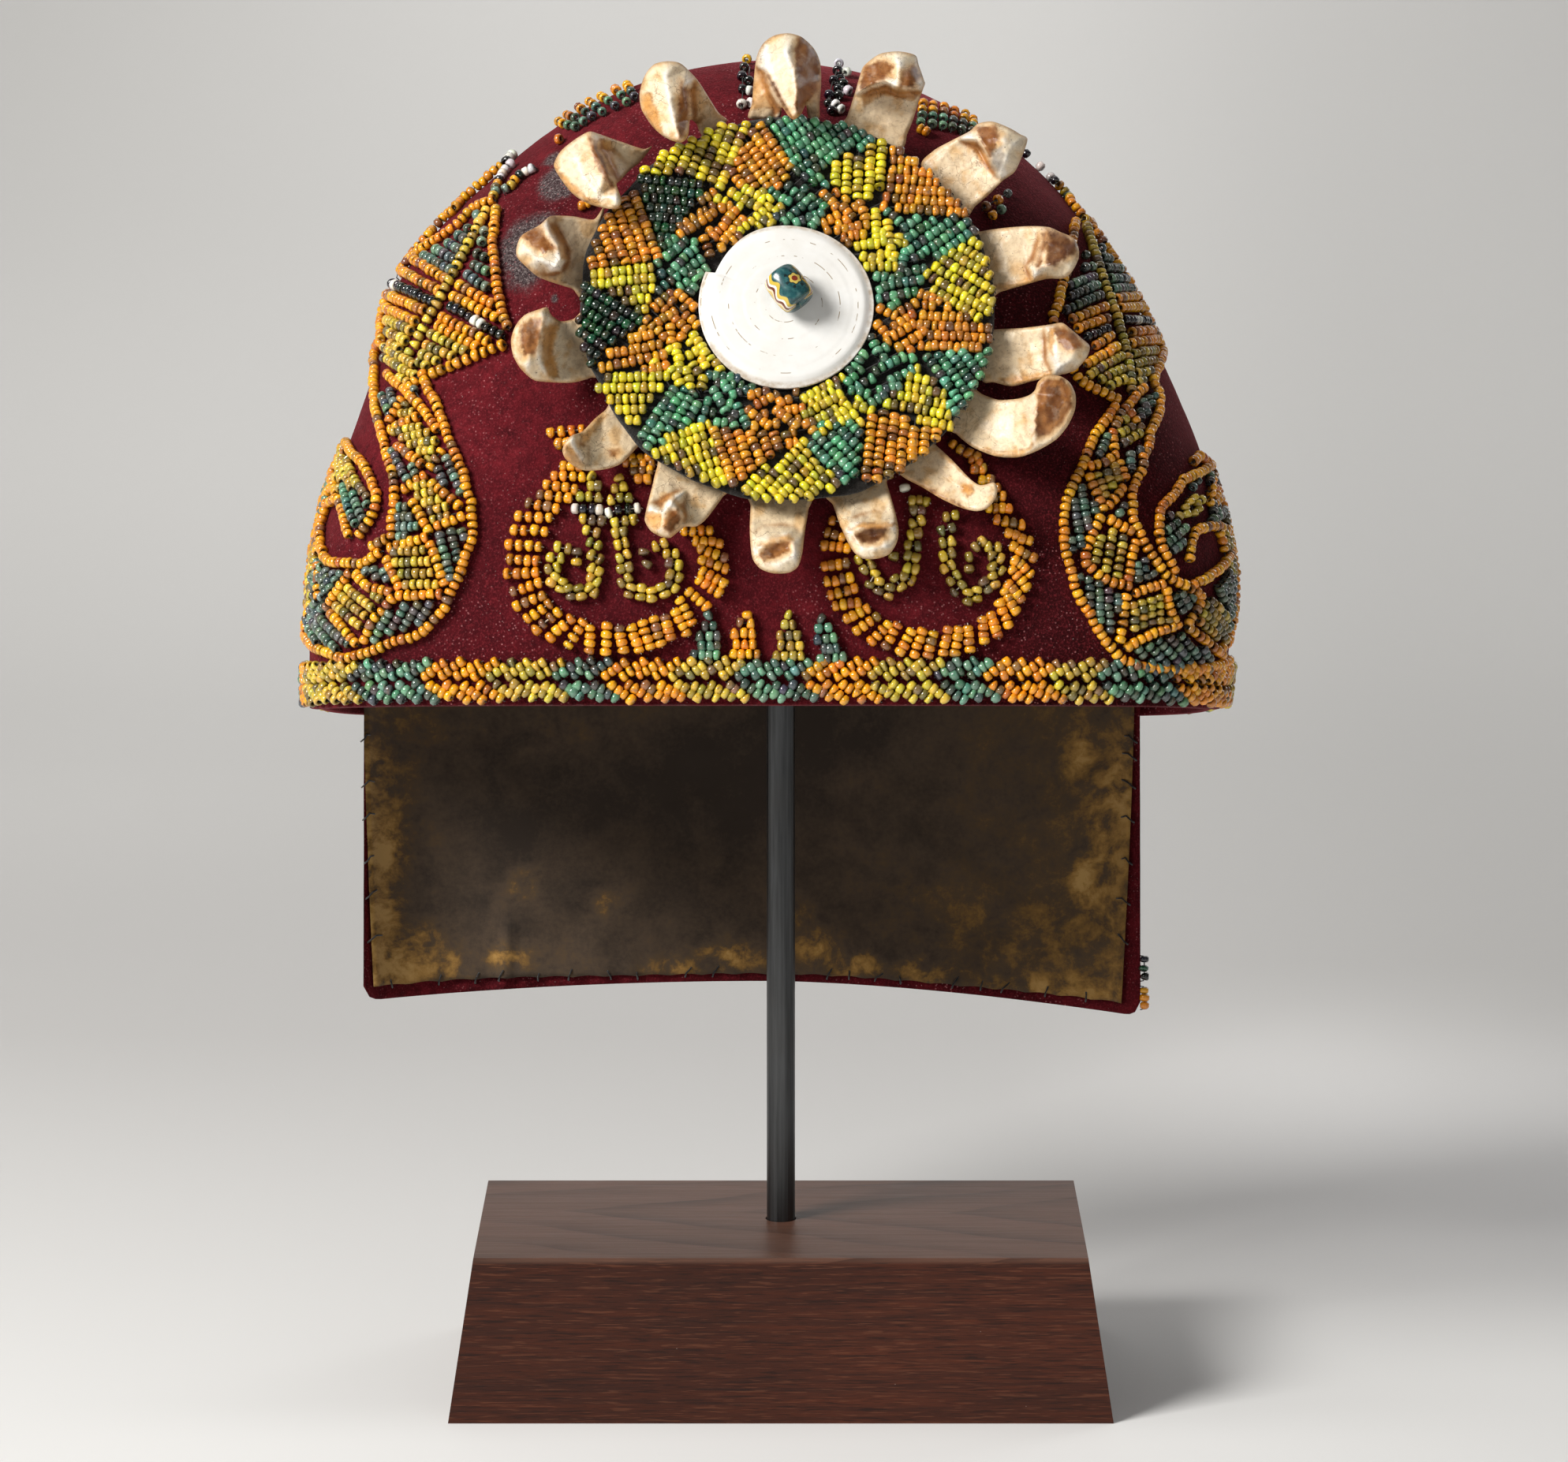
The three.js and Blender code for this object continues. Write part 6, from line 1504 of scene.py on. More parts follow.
for strands in (motif_left, motif_right, rim, ovals, hooks, spikes, crest, rosette, flap_band):
    # painted light and shade: the left motif's beads are brightened 1.22 and the right motif's darkened 0.86, as the
    # light falls from the left
    bead_mesh(strands, {"motif_left_beads": 1.22, "motif_right_beads": 0.86}.get(strands.name, 1.0))
threads = tube_mesh("bead_threads", [p for st in (ovals, hooks) for p in thread_paths(st)], 0.14, 4, THREAD)
finish_piece(threads)
dark_threads = tube_mesh("bead_threads_dark", [p for st in (motif_left, motif_right, rim, spikes, crest, rosette, flap_band) for p in thread_paths(st)],
                         0.16, 3, DARK_THREAD)
finish_piece(dark_threads)
stitch_piece = tube_mesh("lining_stitches", stitches, 0.2, 6, DARK_THREAD)
finish_piece(stitch_piece)

# ------------------------------------------------------------------ crown velvet
def crown_piece():
    cols = 300
    t_out = np.interp(np.linspace(0, 1, 140), [0, 1], [0, ROWS - 1.0])
    rings, wear_at = [], []
    heights = np.maximum(np.interp(t_out, np.arange(ROWS), HEIGHT), -1.0 + 0.02 * np.arange(len(t_out)))
    lengths = np.interp(heights, HEIGHT, LENGTH)
    def lifted(s, h):
        """The hem hangs level with the band in front and tucks up a little at the sides and back."""
        foot = 0.35 + 1.5 * smooth(-45.0, 5.0, wall_point(s, np.full(len(s), 2.0))[:, 1])
        return foot + (h - heights[0]) * (16.0 - foot) / (16.0 - heights[0]) if h < 16.0 else np.full(len(s), h)

    for h, run in zip(heights[:-1][::-1], lengths[:-1][::-1]):          # from near the top down to the rim, outside
        s = np.arange(cols) / cols * run
        p, _, _, n = wall(s, lifted(s, h))
        q = to_cap(p)
        d = (0.16 * wobble(q, 30.0, 21) + 0.05 * wobble(q, 8.0, 22)) * (1 - float(smooth(138.0, 144.0, h)))
        rings.append(p + d[:, None] * n)
    s = np.arange(cols) / cols * lengths[0]
    for k in range(1, 6):                                              # rolled hem
        a = math.pi * k / 6
        foot = lifted(s, heights[0])
        p, _, _, n = wall(s, foot + 0.4, -1.1 + 1.25 * math.cos(a))
        q = to_cap(p)
        q[:, 2] = foot - 0.6 * math.sin(a)
        rings.append(to_world(q))
    t_in = np.linspace(0, ROWS - 1.0, 44)[:-1]
    for h, run in zip(np.interp(t_in, np.arange(ROWS), HEIGHT), np.interp(t_in, np.arange(ROWS), LENGTH)):
        s2 = np.arange(cols) / cols * run
        near_top = float(smooth(124.0, 136.0, h))
        p, _, _, n = wall(s2, lifted(s2, max(h, heights[0])) + (0.7 if h < 8 else 0.0), -2.2 * (1 - near_top))
        rings.append(p - 2.2 * near_top * CAP_AXES[2])
    verts = np.concatenate(rings)
    top_out = to_world(np.array([[0, 0, 145.6]]))
    top_in = to_world(np.array([[0, 0, 143.4]]))
    count = len(rings)
    quads = ring_quads(count, cols)
    n = len(verts)
    i = np.arange(cols)
    tris = np.concatenate([np.stack([np.full(cols, n), (i + 1) % cols, i], 1),
                           np.stack([np.full(cols, n + 1), (count - 1) * cols + i, (count - 1) * cols + (i + 1) % cols], 1)])
    ob = mesh_object("crown_velvet", np.concatenate([verts, top_out, top_in]), quads=quads, tris=tris, material=VELVET)
    v = np.concatenate([verts, top_out, top_in])
    wear = np.zeros(len(v))
    for (px, py), rx, ry, amount in (((709, 230), 4.6, 6.2, 1.1), ((666, 318), 5.6, 9.6, 1.1), ((700, 202), 3.0, 3.0, 0.7), ((703, 378), 1.2, 1.2, 0.8),
                                     ((690, 280), 4.0, 4.0, 0.55)):
        c = wall_pixel(px, py)
        d = v - c
        r = np.sqrt((d[:, 0] / rx) ** 2 + (d[:, 1] / max(rx, ry)) ** 2 + (d[:, 2] / ry) ** 2)
        wear = np.maximum(wear, amount * np.exp(-r * r))
    # a rubbed rim
    q = to_cap(v)
    wear = np.maximum(wear, 0.36 * np.exp(-((q[:, 2] + 0.3) / 0.6) ** 2))
    put_float(ob, "wear", wear)
    # painted shade: darkens the crown's right front, less towards the top
    put_float(ob, "nap", smooth(18, 62, q[:, 0]) * smooth(20, -10, q[:, 1]) * (1 - 0.5 * smooth(95, 130, q[:, 2])))
    return finish_piece(ob, ("crown",))


crown_piece()

# ------------------------------------------------------------------ rosette cloth, shell and centre bead
def rosette_cloth():
    segs = 220
    a = np.arange(segs) / segs * 2 * math.pi
    profile = [(0.6, -7.0), (10, -7.0), (21.4, -6.9), (22.0, -6.2), (22.0, -3.4), (22.6, -3.0), (29, -3.0), (35, -2.5), (40.5, -1.4), (43.3, -1.0),
               (44.2, -0.6), (44.1, -0.2), (43.4, 0.0), (41, 0.0), (36, 0.0), (30, 0.0), (24, 0.0), (19, 0.0), (12, -0.1), (5, -0.1), (0.6, -0.1)]
    edge = 0.35 * np.sin(5 * a + 1.0) + 0.25 * np.sin(11 * a + 2.2) + 0.15 * np.sin(23 * a)
    rings = []
    for r, z in profile:
        k = smooth(30, 44, r)
        rr = r + (edge - 1.0 * smooth(0.2, -0.6, np.cos(a))) * k
        p = np.stack([rr * np.sin(a), rr * np.cos(a), np.full(segs, z)], 1)
        p[:, 2] += (0.12 * wobble(p, 9.0, 31) + 0.08 * wobble(p, 3.0, 32)) * (1.0 if z > -1 else 0.4)
        rings.append(p)
    verts = np.concatenate(rings)
    n = len(verts)
    verts = np.concatenate([verts, [[0, 0, profile[0][1]], [0, 0, profile[-1][1]]]])
    i = np.arange(segs)
    last = (len(profile) - 1) * segs
    quads = ring_quads(len(profile), segs)[:, ::-1]
    tris = np.concatenate([np.stack([np.full(segs, n), i, (i + 1) % segs], 1), np.stack([np.full(segs, n + 1), last + (i + 1) % segs, last + i], 1)])
    ob = mesh_object("rosette_cloth", rose(verts), quads=quads, tris=tris, material=FELT)
    return finish_piece(ob, ("rosette_disc",))


def shell_piece():
    segs = 240
    a = np.arange(segs) / segs * 2 * math.pi
    notch = math.radians(156.0)
    turn = ((a - notch) % (2 * math.pi)) / (2 * math.pi)        # anticlockwise from the notch
    outline = 18.75 - 0.45 * turn - 1.6 * smooth(0.86, 1.0, turn) + 0.1 * np.sin(3 * a + 1)
    radii = np.concatenate([np.linspace(1.1, 17.0, 44) / 18.1, [0.955, 0.975, 0.99, 1.0]])
    rings = []

    def top(r, aa):
        t = ((aa - notch) % (2 * math.pi)) / (2 * math.pi)
        z = 3.6 - 0.55 * (r / 18.1) ** 2 - 0.75 * smooth(0.9, 1.0, r / 18.1)
        whorl = (r + 3.1 * t) / 3.1
        z += 0.05 * (whorl % 1.0) + 0.35 * smooth(0.06, 0.0, t) * smooth(12.0, 16.5, r)
        return z

    for k in radii:
        r = np.maximum(outline * k, 1.1)
        z = top(r, a)
        rings.append(np.stack([r * np.cos(a), r * np.sin(a), z], 1))
    for k, z in ((1.0, 1.7), (0.99, 1.0), (0.965, 0.45), (0.6, 0.32), (0.2, 0.3)):
        r = np.maximum(outline * k, 1.1)
        rings.append(np.stack([r * np.cos(a), r * np.sin(a), np.full(segs, z)], 1))
    rings.append(np.stack([1.1 * np.cos(a), 1.1 * np.sin(a), np.full(segs, 0.3)], 1))
    verts = np.concatenate(rings)
    count = len(rings)
    quads = ring_quads(count, segs)
    i = np.arange(segs)
    last = (count - 1) * segs
    close = np.stack([last + i, last + (i + 1) % segs, (i + 1) % segs, i], 1)
    ob = mesh_object("shell_disc_white", rose(verts), quads=np.concatenate([quads, close]), material=SHELL)
    put_vector(ob, "loc", verts)
    return finish_piece(ob, ("shell_disc",))


def centre_bead_piece():
    segs, half = 64, 4.1
    a = np.arange(segs) / segs * 2 * math.pi
    t = np.linspace(-1, 1, 25)
    outer = 4.05 * (0.78 + 0.22 * np.sqrt(np.maximum(1 - np.abs(t) ** 2.6, 0)))
    profile = [(0.9, -half * 0.9), (1.3, -half * 0.99)] + [(r, z * half) for r, z in zip(outer, t)] + [(1.3, half * 0.99), (0.9, half * 0.9), (0.9, 0.0)]
    turn = math.radians(-54)
    ax = np.array([math.cos(turn), math.sin(turn), 0])
    up = np.array([0, 0, 1.0])
    side = np.cross(up, ax)
    rings, loc, spot = [], [], []
    for r, z in profile:
        p = np.array([0.55, 1.7, 7.9]) + z * ax + r * (np.cos(a)[:, None] * up + np.sin(a)[:, None] * side)
        rings.append(p)
        loc.append(np.stack([np.full(segs, z), ((a / (2 * math.pi) + 0.5) % 1.0) - 0.5, np.full(segs, r)], 1))
        spot.append(p - np.array([0.55, 1.7, 7.9]) - np.array([1.2, 0.85, 0]))
    verts = np.concatenate(rings)
    quads = np.concatenate([ring_quads(len(rings), segs), ring_quads(2, segs)])
    quads = ring_quads(len(rings), segs)
    i = np.arange(segs)
    last = (len(rings) - 1) * segs
    close = np.stack([last + i, last + (i + 1) % segs, (i + 1) % segs, i], 1)
    ob = mesh_object("centre_bead_glass", rose(verts), quads=np.concatenate([quads, close]), material=TRADE_BEAD)
    put_vector(ob, "loc", np.concatenate(loc))
    put_vector(ob, "spot", np.concatenate(spot))
    return finish_piece(ob, ("centre_bead",))


rosette_cloth()
shell_piece()
centre_bead_piece()

# ------------------------------------------------------------------ teeth
# Each tooth: its middle in photograph pixels, then its outline, the lines of its crest and hollow, and its stains. Outline and lines
# are (across, down, height): half pixels from a corner 163 left and above the middle, and millimetres out from the rosette's plane.
TEETH = {
    1: ((998.5, 96.0),
        [(62, 275, -5.5), (70, 235, -4), (74, 180, -2.5), (82, 115, 1.5), (100, 78, 4.5), (128, 58, 6.5), (165, 52, 7.5), (200, 62, 6.5), (232, 92, 4),
         (248, 128, 1.5), (251, 180, -0.5), (247, 235, -3), (245, 275, -5.5), (218, 275, -5.5), (211, 240, 3), (198, 264, 9.5), (180, 278, 11), (165, 268, 10),
         (148, 246, 6), (140, 275, -5.5)],
        [(104, 110, 7.5), (112, 150, 8), (128, 195, 8.5), (150, 235, 9.5), (180, 150, 11.5), (188, 200, 12), (186, 250, 12), (160, 100, 10.5), (98, 160, -0.5),
         (112, 205, -1.5), (132, 244, -3), (215, 130, 7.5), (222, 180, 6.5), (208, 225, 7), (240, 160, 1)],
        [("dark", 0.85, [(112, 160), (130, 186), (166, 258), (180, 276), (158, 252), (136, 214)]),
         ("brown", 0.8, [(190, 64), (204, 66), (236, 100), (246, 150), (238, 200), (206, 244), (190, 272), (184, 240), (190, 180), (184, 110)]),
         ("tan", 0.6, [(70, 250), (78, 150), (96, 150), (132, 246)])]),
    2: ((1121.5, 117.5),
        [(48, 262, -5.5), (65, 225, -4), (85, 165, 0), (98, 120, 4), (110, 92, 6), (150, 62, 7), (200, 55, 7.5), (243, 65, 6.5), (252, 90, 6), (266, 130, 5),
         (268, 142, 4), (254, 180, -1), (238, 232, -3), (222, 272, -4.5), (200, 310, -5.5)],
        [(96, 160, 7), (125, 144, 8.5), (165, 133, 9.5), (195, 148, 10), (225, 150, 9.5), (252, 146, 8), (140, 100, 8), (180, 95, 9), (200, 90, 10.8),
         (232, 110, 9.3), (102, 172, 0.5), (130, 158, -0.5), (168, 150, -1), (198, 163, -1), (230, 164, -0.5), (250, 160, 0.5), (110, 215, -2.5),
         (160, 200, -2.8), (200, 210, -3), (150, 245, -4), (215, 245, -3.5)],
        [("brown", 0.9, [(112, 96), (158, 78), (186, 96), (168, 124), (120, 146), (100, 152)]),
         ("brown", 0.9, [(206, 112), (238, 94), (256, 118), (240, 144), (206, 148)]),
         ("tan", 0.6, [(98, 168), (168, 146), (250, 162), (240, 186), (160, 170), (108, 196)])]),
    3: ((1240.5, 208.5),
        [(15, 175, -5.5), (42, 130, -4), (90, 102, -1.5), (140, 76, 1.5), (163, 56, 4), (200, 51, 6), (245, 68, 6.5), (272, 84, 6), (291, 96, 5), (281, 132, 4.5),
         (258, 182, 3), (226, 206, 1), (192, 240, -2.5), (155, 272, -4.5), (120, 300, -5.5)],
        [(132, 94, 5), (160, 96, 7), (180, 122, 7.5), (196, 152, 6.5), (205, 90, 8.5), (230, 100, 9), (255, 110, 8), (235, 150, 7.5), (222, 185, 5),
         (140, 108, -1), (165, 118, -1), (178, 140, -1), (192, 166, -0.5), (205, 190, 0), (80, 140, -3), (120, 170, -3.2), (150, 200, -3.2), (160, 240, -4),
         (100, 190, -4)],
        [("brown", 0.85, [(160, 66), (204, 62), (216, 88), (206, 120), (194, 150), (178, 112), (166, 90)]),
         ("grey", 0.8, [(196, 130), (226, 114), (232, 150), (214, 196), (196, 166)]),
         ("tan", 0.5, [(134, 98), (160, 108), (178, 132), (190, 162), (170, 160), (150, 128)])]),
    4: ((1306.5, 327.5),
        [(5, 110, -5.5), (38, 92, -4), (110, 82, -2), (170, 79, 0), (212, 82, 2.5), (240, 94, 4), (275, 110, 4.5), (289, 138, 5), (288, 166, 5), (270, 200, 4),
         (248, 216, 2), (205, 217, -0.5), (150, 232, -2), (85, 251, -4), (50, 262, -5.5)],
        [(204, 96, 4), (196, 130, 4.5), (188, 170, 4.5), (182, 190, 4.5), (215, 182, 6), (240, 170, 6.5), (240, 130, 5.5), (262, 150, 6.5), (262, 180, 5.5),
         (235, 198, 3.5), (100, 130, -3), (150, 130, -2.5), (180, 125, -0.5), (100, 190, -3.5), (150, 185, -2.8), (170, 160, -1.5), (65, 160, -4)],
        [("dark", 0.8, [(208, 92), (240, 98), (282, 124), (284, 148), (250, 164), (226, 182), (206, 182)]),
         ("brown", 0.7, [(194, 96), (206, 98), (198, 140), (188, 186), (180, 184), (188, 136)]),
         ("tan", 0.6, [(60, 236), (150, 216), (200, 206), (200, 216), (150, 232), (84, 250)])]),
    5: ((1316.5, 449.5),
        [(8, 110, -5.5), (45, 98, -4), (120, 94, -2), (185, 86, 0.5), (224, 80, 3), (246, 95, 4), (275, 120, 4.5), (297, 141, 4.5), (290, 170, 4.5), (265, 200, 3),
         (240, 212, 1.5), (200, 221, -0.5), (150, 232, -2), (95, 246, -3.5), (48, 236, -4.5), (15, 228, -5.5)],
        [(195, 95, 4), (207, 130, 5), (203, 165, 5), (214, 200, 4), (240, 120, 6), (262, 145, 6.5), (245, 180, 5.5), (90, 140, -3.2), (140, 135, -2.8),
         (180, 125, -1), (100, 195, -3.6), (150, 190, -3), (182, 180, -1.5), (195, 205, -0.5), (55, 165, -4)],
        [("brown", 0.9, [(206, 94), (236, 94), (272, 124), (282, 142), (242, 152), (216, 132)]),
         ("tan", 0.7, [(60, 226), (150, 214), (196, 204), (198, 220), (100, 243)]), ("tan", 0.7, [(190, 92), (206, 96), (200, 166), (190, 160)])]),
    6: ((1287.5, 526.5),
        [(-15, 190, -5.5), (10, 214, -4.5), (50, 246, -3), (110, 270, -1.5), (170, 273, 0), (220, 256, 2.5), (270, 226, 5), (300, 190, 6.5), (318, 150, 7.5),
         (320, 110, 8), (305, 78, 8.5), (280, 61, 9), (245, 59, 9), (222, 76, 8.5), (214, 97, 7.5), (198, 111, 4), (168, 120, 1), (120, 123, -1.5), (80, 110, -4),
         (40, 95, -5.5)],
        [(216, 150, 8), (212, 200, 6.5), (208, 238, 3.5), (265, 110, 8.6), (265, 160, 7.6), (245, 205, 5.6), (298, 130, 8.6), (190, 150, 3), (190, 200, 2),
         (160, 160, -0.5), (160, 220, -0.8), (110, 170, -2.5), (110, 225, -2.8), (60, 190, -4)],
        [("brown", 0.95, [(226, 84), (250, 68), (284, 68), (310, 96), (310, 140), (284, 184), (250, 212), (222, 222), (214, 196), (218, 148)]),
         ("dark", 0.55, [(244, 92), (276, 86), (288, 130), (270, 176), (246, 190), (240, 140)]),
         ("tan", 0.6, [(40, 236), (110, 258), (200, 250), (210, 210), (206, 250), (170, 270), (110, 268)])]),
    7: ((1205.0, 606.5),
        [(20, 130, -5.5), (40, 160, -4.5), (90, 187, -3), (140, 217, -2), (190, 240, -1), (230, 249, 0.5), (260, 241, 2), (281, 215, 4), (286, 190, 5.5),
         (276, 174, 6), (242, 181, 3.5), (215, 165, 1), (165, 113, -1.5), (118, 70, -4.2), (90, 45, -5.5)],
        [(225, 200, 0.5), (250, 205, 2.5), (262, 195, 4), (200, 190, -2), (160, 165, -3.2), (120, 130, -4), (190, 215, -2), (130, 190, -3.2), (225, 228, 0)],
        [("tan", 0.8, [(190, 176), (222, 180), (224, 200), (208, 212), (196, 202)]), ("brown", 0.6, [(60, 172), (140, 212), (200, 240), (180, 228), (120, 196)]),
         ("tan", 0.6, [(120, 84), (166, 120), (200, 158), (160, 124)])]),
    8: ((1099.0, 658.5),
        [(60, 95, -5.5), (75, 126, -4.3), (90, 170, -2), (110, 216, 0.5), (130, 250, 2), (155, 266, 2.5), (190, 266, 2.5), (222, 254, 2.2), (241, 225, 2),
         (246, 190, 1), (236, 140, -1), (216, 72, -4), (205, 40, -5.5)],
        [(122, 196, 3), (150, 180, 3.5), (190, 184, 3.5), (228, 180, 3), (175, 205, 2.4), (200, 200, 2.6), (180, 240, 4.2), (150, 240, 3.8), (210, 232, 4),
         (150, 150, -2.2), (190, 140, -2.2), (150, 110, -3.6), (190, 95, -3.8), (110, 165, -1), (222, 150, -0.6)],
        [("dark", 0.95, [(132, 204), (160, 188), (214, 182), (210, 206), (186, 224), (150, 224)]), ("tan", 0.7, [(118, 190), (150, 170), (200, 172), (236, 172), (228, 184), (150, 186)])]),
    9: ((987.0, 683.5),
        [(88, 40, -5.5), (90, 76, -4.2), (88, 130, -1.5), (90, 180, 0.5), (96, 216, 2), (116, 241, 2.5), (150, 253, 2.5), (190, 251, 2.5), (214, 235, 2.5),
         (225, 200, 2), (231, 150, -0.5), (241, 88, -4), (243, 50, -5.5)],
        [(104, 192, 3.2), (140, 168, 3.8), (184, 160, 3.8), (200, 172, 3.6), (150, 192, 2.2), (185, 185, 2.4), (205, 205, 4.2), (160, 230, 4), (125, 225, 3.6),
         (120, 130, -2.2), (165, 125, -2.6), (205, 130, -2), (130, 95, -3.6), (200, 95, -3.7)],
        [("brown", 0.95, [(112, 204), (148, 176), (194, 168), (190, 192), (160, 208), (126, 218)]), ("dark", 0.6, [(124, 204), (150, 190), (168, 190), (150, 206)]),
         ("tan", 0.6, [(100, 186), (140, 160), (190, 150), (204, 166), (150, 172)])]),
    10: ((867.5, 637.5),
         [(112, 40, -5.5), (92, 70, -4.3), (78, 125, -1.5), (64, 180, 1), (60, 210, 2), (75, 236, 3), (100, 251, 3.5), (126, 255, 3.5), (146, 240, 2),
          (166, 226, 0), (195, 225, -1.5), (222, 204, -3), (262, 150, -4.5), (275, 120, -5.5)],
         [(75, 180, 4.5), (105, 188, 5.5), (130, 158, 5.5), (152, 188, 4.5), (118, 215, 6), (100, 230, 5.5), (125, 240, 5), (145, 215, 3.5), (130, 140, -1.5),
          (160, 180, -0.5), (165, 205, -0.5), (100, 165, -0.5), (120, 100, -3.6), (170, 130, -3.6), (200, 170, -3.2), (215, 150, -4)],
         [("brown", 0.85, [(126, 186), (146, 180), (152, 206), (126, 246), (108, 222)]), ("tan", 0.7, [(66, 182), (104, 194), (116, 220), (86, 236), (62, 212)]),
          ("tan", 0.5, [(96, 160), (130, 138), (164, 180), (168, 206), (150, 176), (132, 154)])]),
    11: ((762.0, 558.0),
         [(200, 60, -5.5), (175, 84, -4.3), (148, 106, -2), (115, 140, 1), (88, 150, 4.5), (72, 164, 5.5), (62, 190, 5), (70, 212, 3.5), (92, 231, 2),
          (122, 243, 0), (170, 240, -1.5), (215, 225, -3), (260, 180, -4.4), (285, 150, -5.5)],
         [(90, 165, 5), (100, 190, 3.5), (115, 212, 1.5), (110, 175, 0.5), (130, 180, -1.5), (160, 150, -3.2), (170, 200, -3), (210, 170, -3.8), (130, 215, -1)],
         [("tan", 0.9, [(72, 178), (96, 194), (112, 226), (92, 228), (70, 208)]), ("brown", 0.6, [(182, 190), (208, 186), (204, 204), (186, 206)]),
          ("tan", 0.6, [(110, 150), (150, 112), (180, 96), (140, 150), (118, 180)])]),
    12: ((695.5, 437.0),
         [(262, 80, -5.5), (228, 96, -4.2), (195, 102, -1), (170, 85, 4), (160, 66, 7.5), (140, 70, 8), (100, 86, 8), (76, 115, 8), (65, 150, 7.5), (70, 190, 6.5),
          (90, 226, 4.5), (125, 256, 2), (175, 262, -0.5), (228, 262, -2.5), (272, 250, -4.5), (300, 235, -5.5)],
         [(152, 100, 8.4), (146, 130, 8), (138, 170, 7.4), (142, 212, 4.5), (164, 248, 1), (110, 140, 8.2), (115, 180, 7.4), (110, 215, 6), (170, 130, 1),
          (165, 180, 0.5), (175, 225, -0.5), (205, 150, -2), (205, 210, -2.3), (245, 150, -4), (250, 215, -4.2)],
         [("brown", 0.95, [(94, 112), (124, 96), (144, 96), (140, 140), (126, 186), (102, 188), (88, 152)]), ("dark", 0.5, [(108, 120), (130, 112), (126, 160), (110, 170)]),
          ("tan", 0.75, [(154, 116), (190, 110), (176, 180), (190, 250), (160, 244), (146, 196)])]),
    13: ((704.0, 319.5),
         [(292, 50, -5.5), (264, 78, -4.4), (210, 70, -2.5), (165, 68, 1), (146, 72, 4.5), (120, 94, 6.5), (76, 119, 7), (62, 150, 6.5), (63, 176, 5.5), (86, 201, 4),
          (115, 226, 1.5), (150, 241, -0.5), (206, 259, -3.5), (240, 275, -5.5)],
         [(150, 115, 7.5), (172, 148, 8), (180, 182, 7.5), (166, 204, 6.5), (120, 140, 8.2), (95, 160, 8), (120, 185, 7.5), (140, 165, 8.5), (165, 110, -0.5),
          (190, 150, -1), (196, 185, -1), (178, 215, -0.5), (140, 222, 0.5), (220, 110, -3.4), (220, 170, -3.6), (200, 225, -3.4)],
         [("brown", 0.9, [(76, 120), (120, 100), (142, 128), (164, 152), (132, 164), (96, 142)]), ("tan", 0.6, [(150, 90), (168, 96), (196, 150), (200, 190), (182, 180), (172, 146)]),
          ("tan", 0.5, [(84, 196), (130, 218), (190, 244), (150, 238), (112, 222)])]),
    14: ((760.0, 216.5),
         [(300, 100, -5.5), (278, 106, -4.2), (222, 88, -1), (165, 68, 4), (135, 61, 7), (95, 84, 6), (60, 114, 4), (44, 150, 3.5), (66, 190, 4), (96, 226, 5),
          (136, 250, 7), (190, 263, 9.5), (214, 256, 10), (221, 238, 9.5), (208, 200, 8), (218, 188, 0), (245, 160, -4.4), (270, 140, -5.5)],
         [(150, 108, 9.5), (180, 165, 11), (206, 232, 11), (100, 130, 8.5), (120, 180, 9.5), (160, 230, 10), (80, 170, 6), (130, 240, 8), (172, 108, 2.5),
          (192, 150, 1.5), (206, 180, 1), (200, 110, -1), (225, 130, -2.8), (250, 120, -3.6)],
         [("brown", 0.9, [(134, 72), (152, 96), (182, 156), (202, 214), (176, 182), (150, 136)]), ("tan", 0.75, [(48, 156), (74, 176), (130, 232), (196, 256), (140, 248), (90, 220)]),
          ("tan", 0.6, [(160, 76), (190, 90), (206, 150), (210, 190), (190, 150)])]),
    15: ((860.0, 128.5),
         [(290, 215, -5.5), (268, 192, -4.2), (238, 145, -1.5), (214, 108, 2), (186, 78, 5), (165, 62, 6.5), (135, 58, 7.5), (100, 66, 6.5), (76, 94, 5), (62, 140, 4),
          (66, 182, 4.5), (86, 216, 6), (104, 238, 7.5), (130, 258, 9), (165, 271, 10.5), (182, 264, 10), (190, 246, 9), (194, 212, 4), (210, 222, -4.5), (230, 255, -5.5)],
         [(130, 100, 10), (140, 160, 11), (155, 220, 11.5), (165, 255, 11.5), (95, 130, 7.5), (105, 190, 8.5), (125, 235, 9.5), (175, 130, 9), (182, 180, 8.5),
          (178, 230, 9), (200, 140, 0.5), (205, 185, -1.5), (235, 190, -3.4)],
         [("brown", 0.9, [(170, 112), (186, 140), (188, 200), (178, 254), (166, 262), (162, 200), (166, 150)]), ("tan", 0.8, [(64, 146), (90, 140), (112, 200), (122, 246), (98, 232), (70, 190)]),
          ("tan", 0.5, [(196, 130), (214, 126), (236, 170), (220, 190), (200, 180)])]),
}
STAINS = {"brown": (130, 76, 34), "dark": (80, 42, 18), "tan": (208, 148, 80), "grey": (160, 150, 138)}


def closed_curve(points, steps):
    points = np.asarray(points, float)
    out = []
    for k in range(len(points)):
        p0, p1, p2, p3 = (points[(k + d) % len(points)] for d in (-1, 0, 1, 2))
        for f in np.arange(steps) / steps:
            out.append(0.5 * (2 * p1 + (p2 - p0) * f * 0.8 + (2 * p1 * 0 + 3 * (p2 - p1) - (2 * (p2 - p0) + (p3 - p1)) * 0.4) * 2 * f * f
                              + (2 * (p1 - p2) + ((p2 - p0) + (p3 - p1)) * 0.4) * 2 * f ** 3))
    return np.array(out)


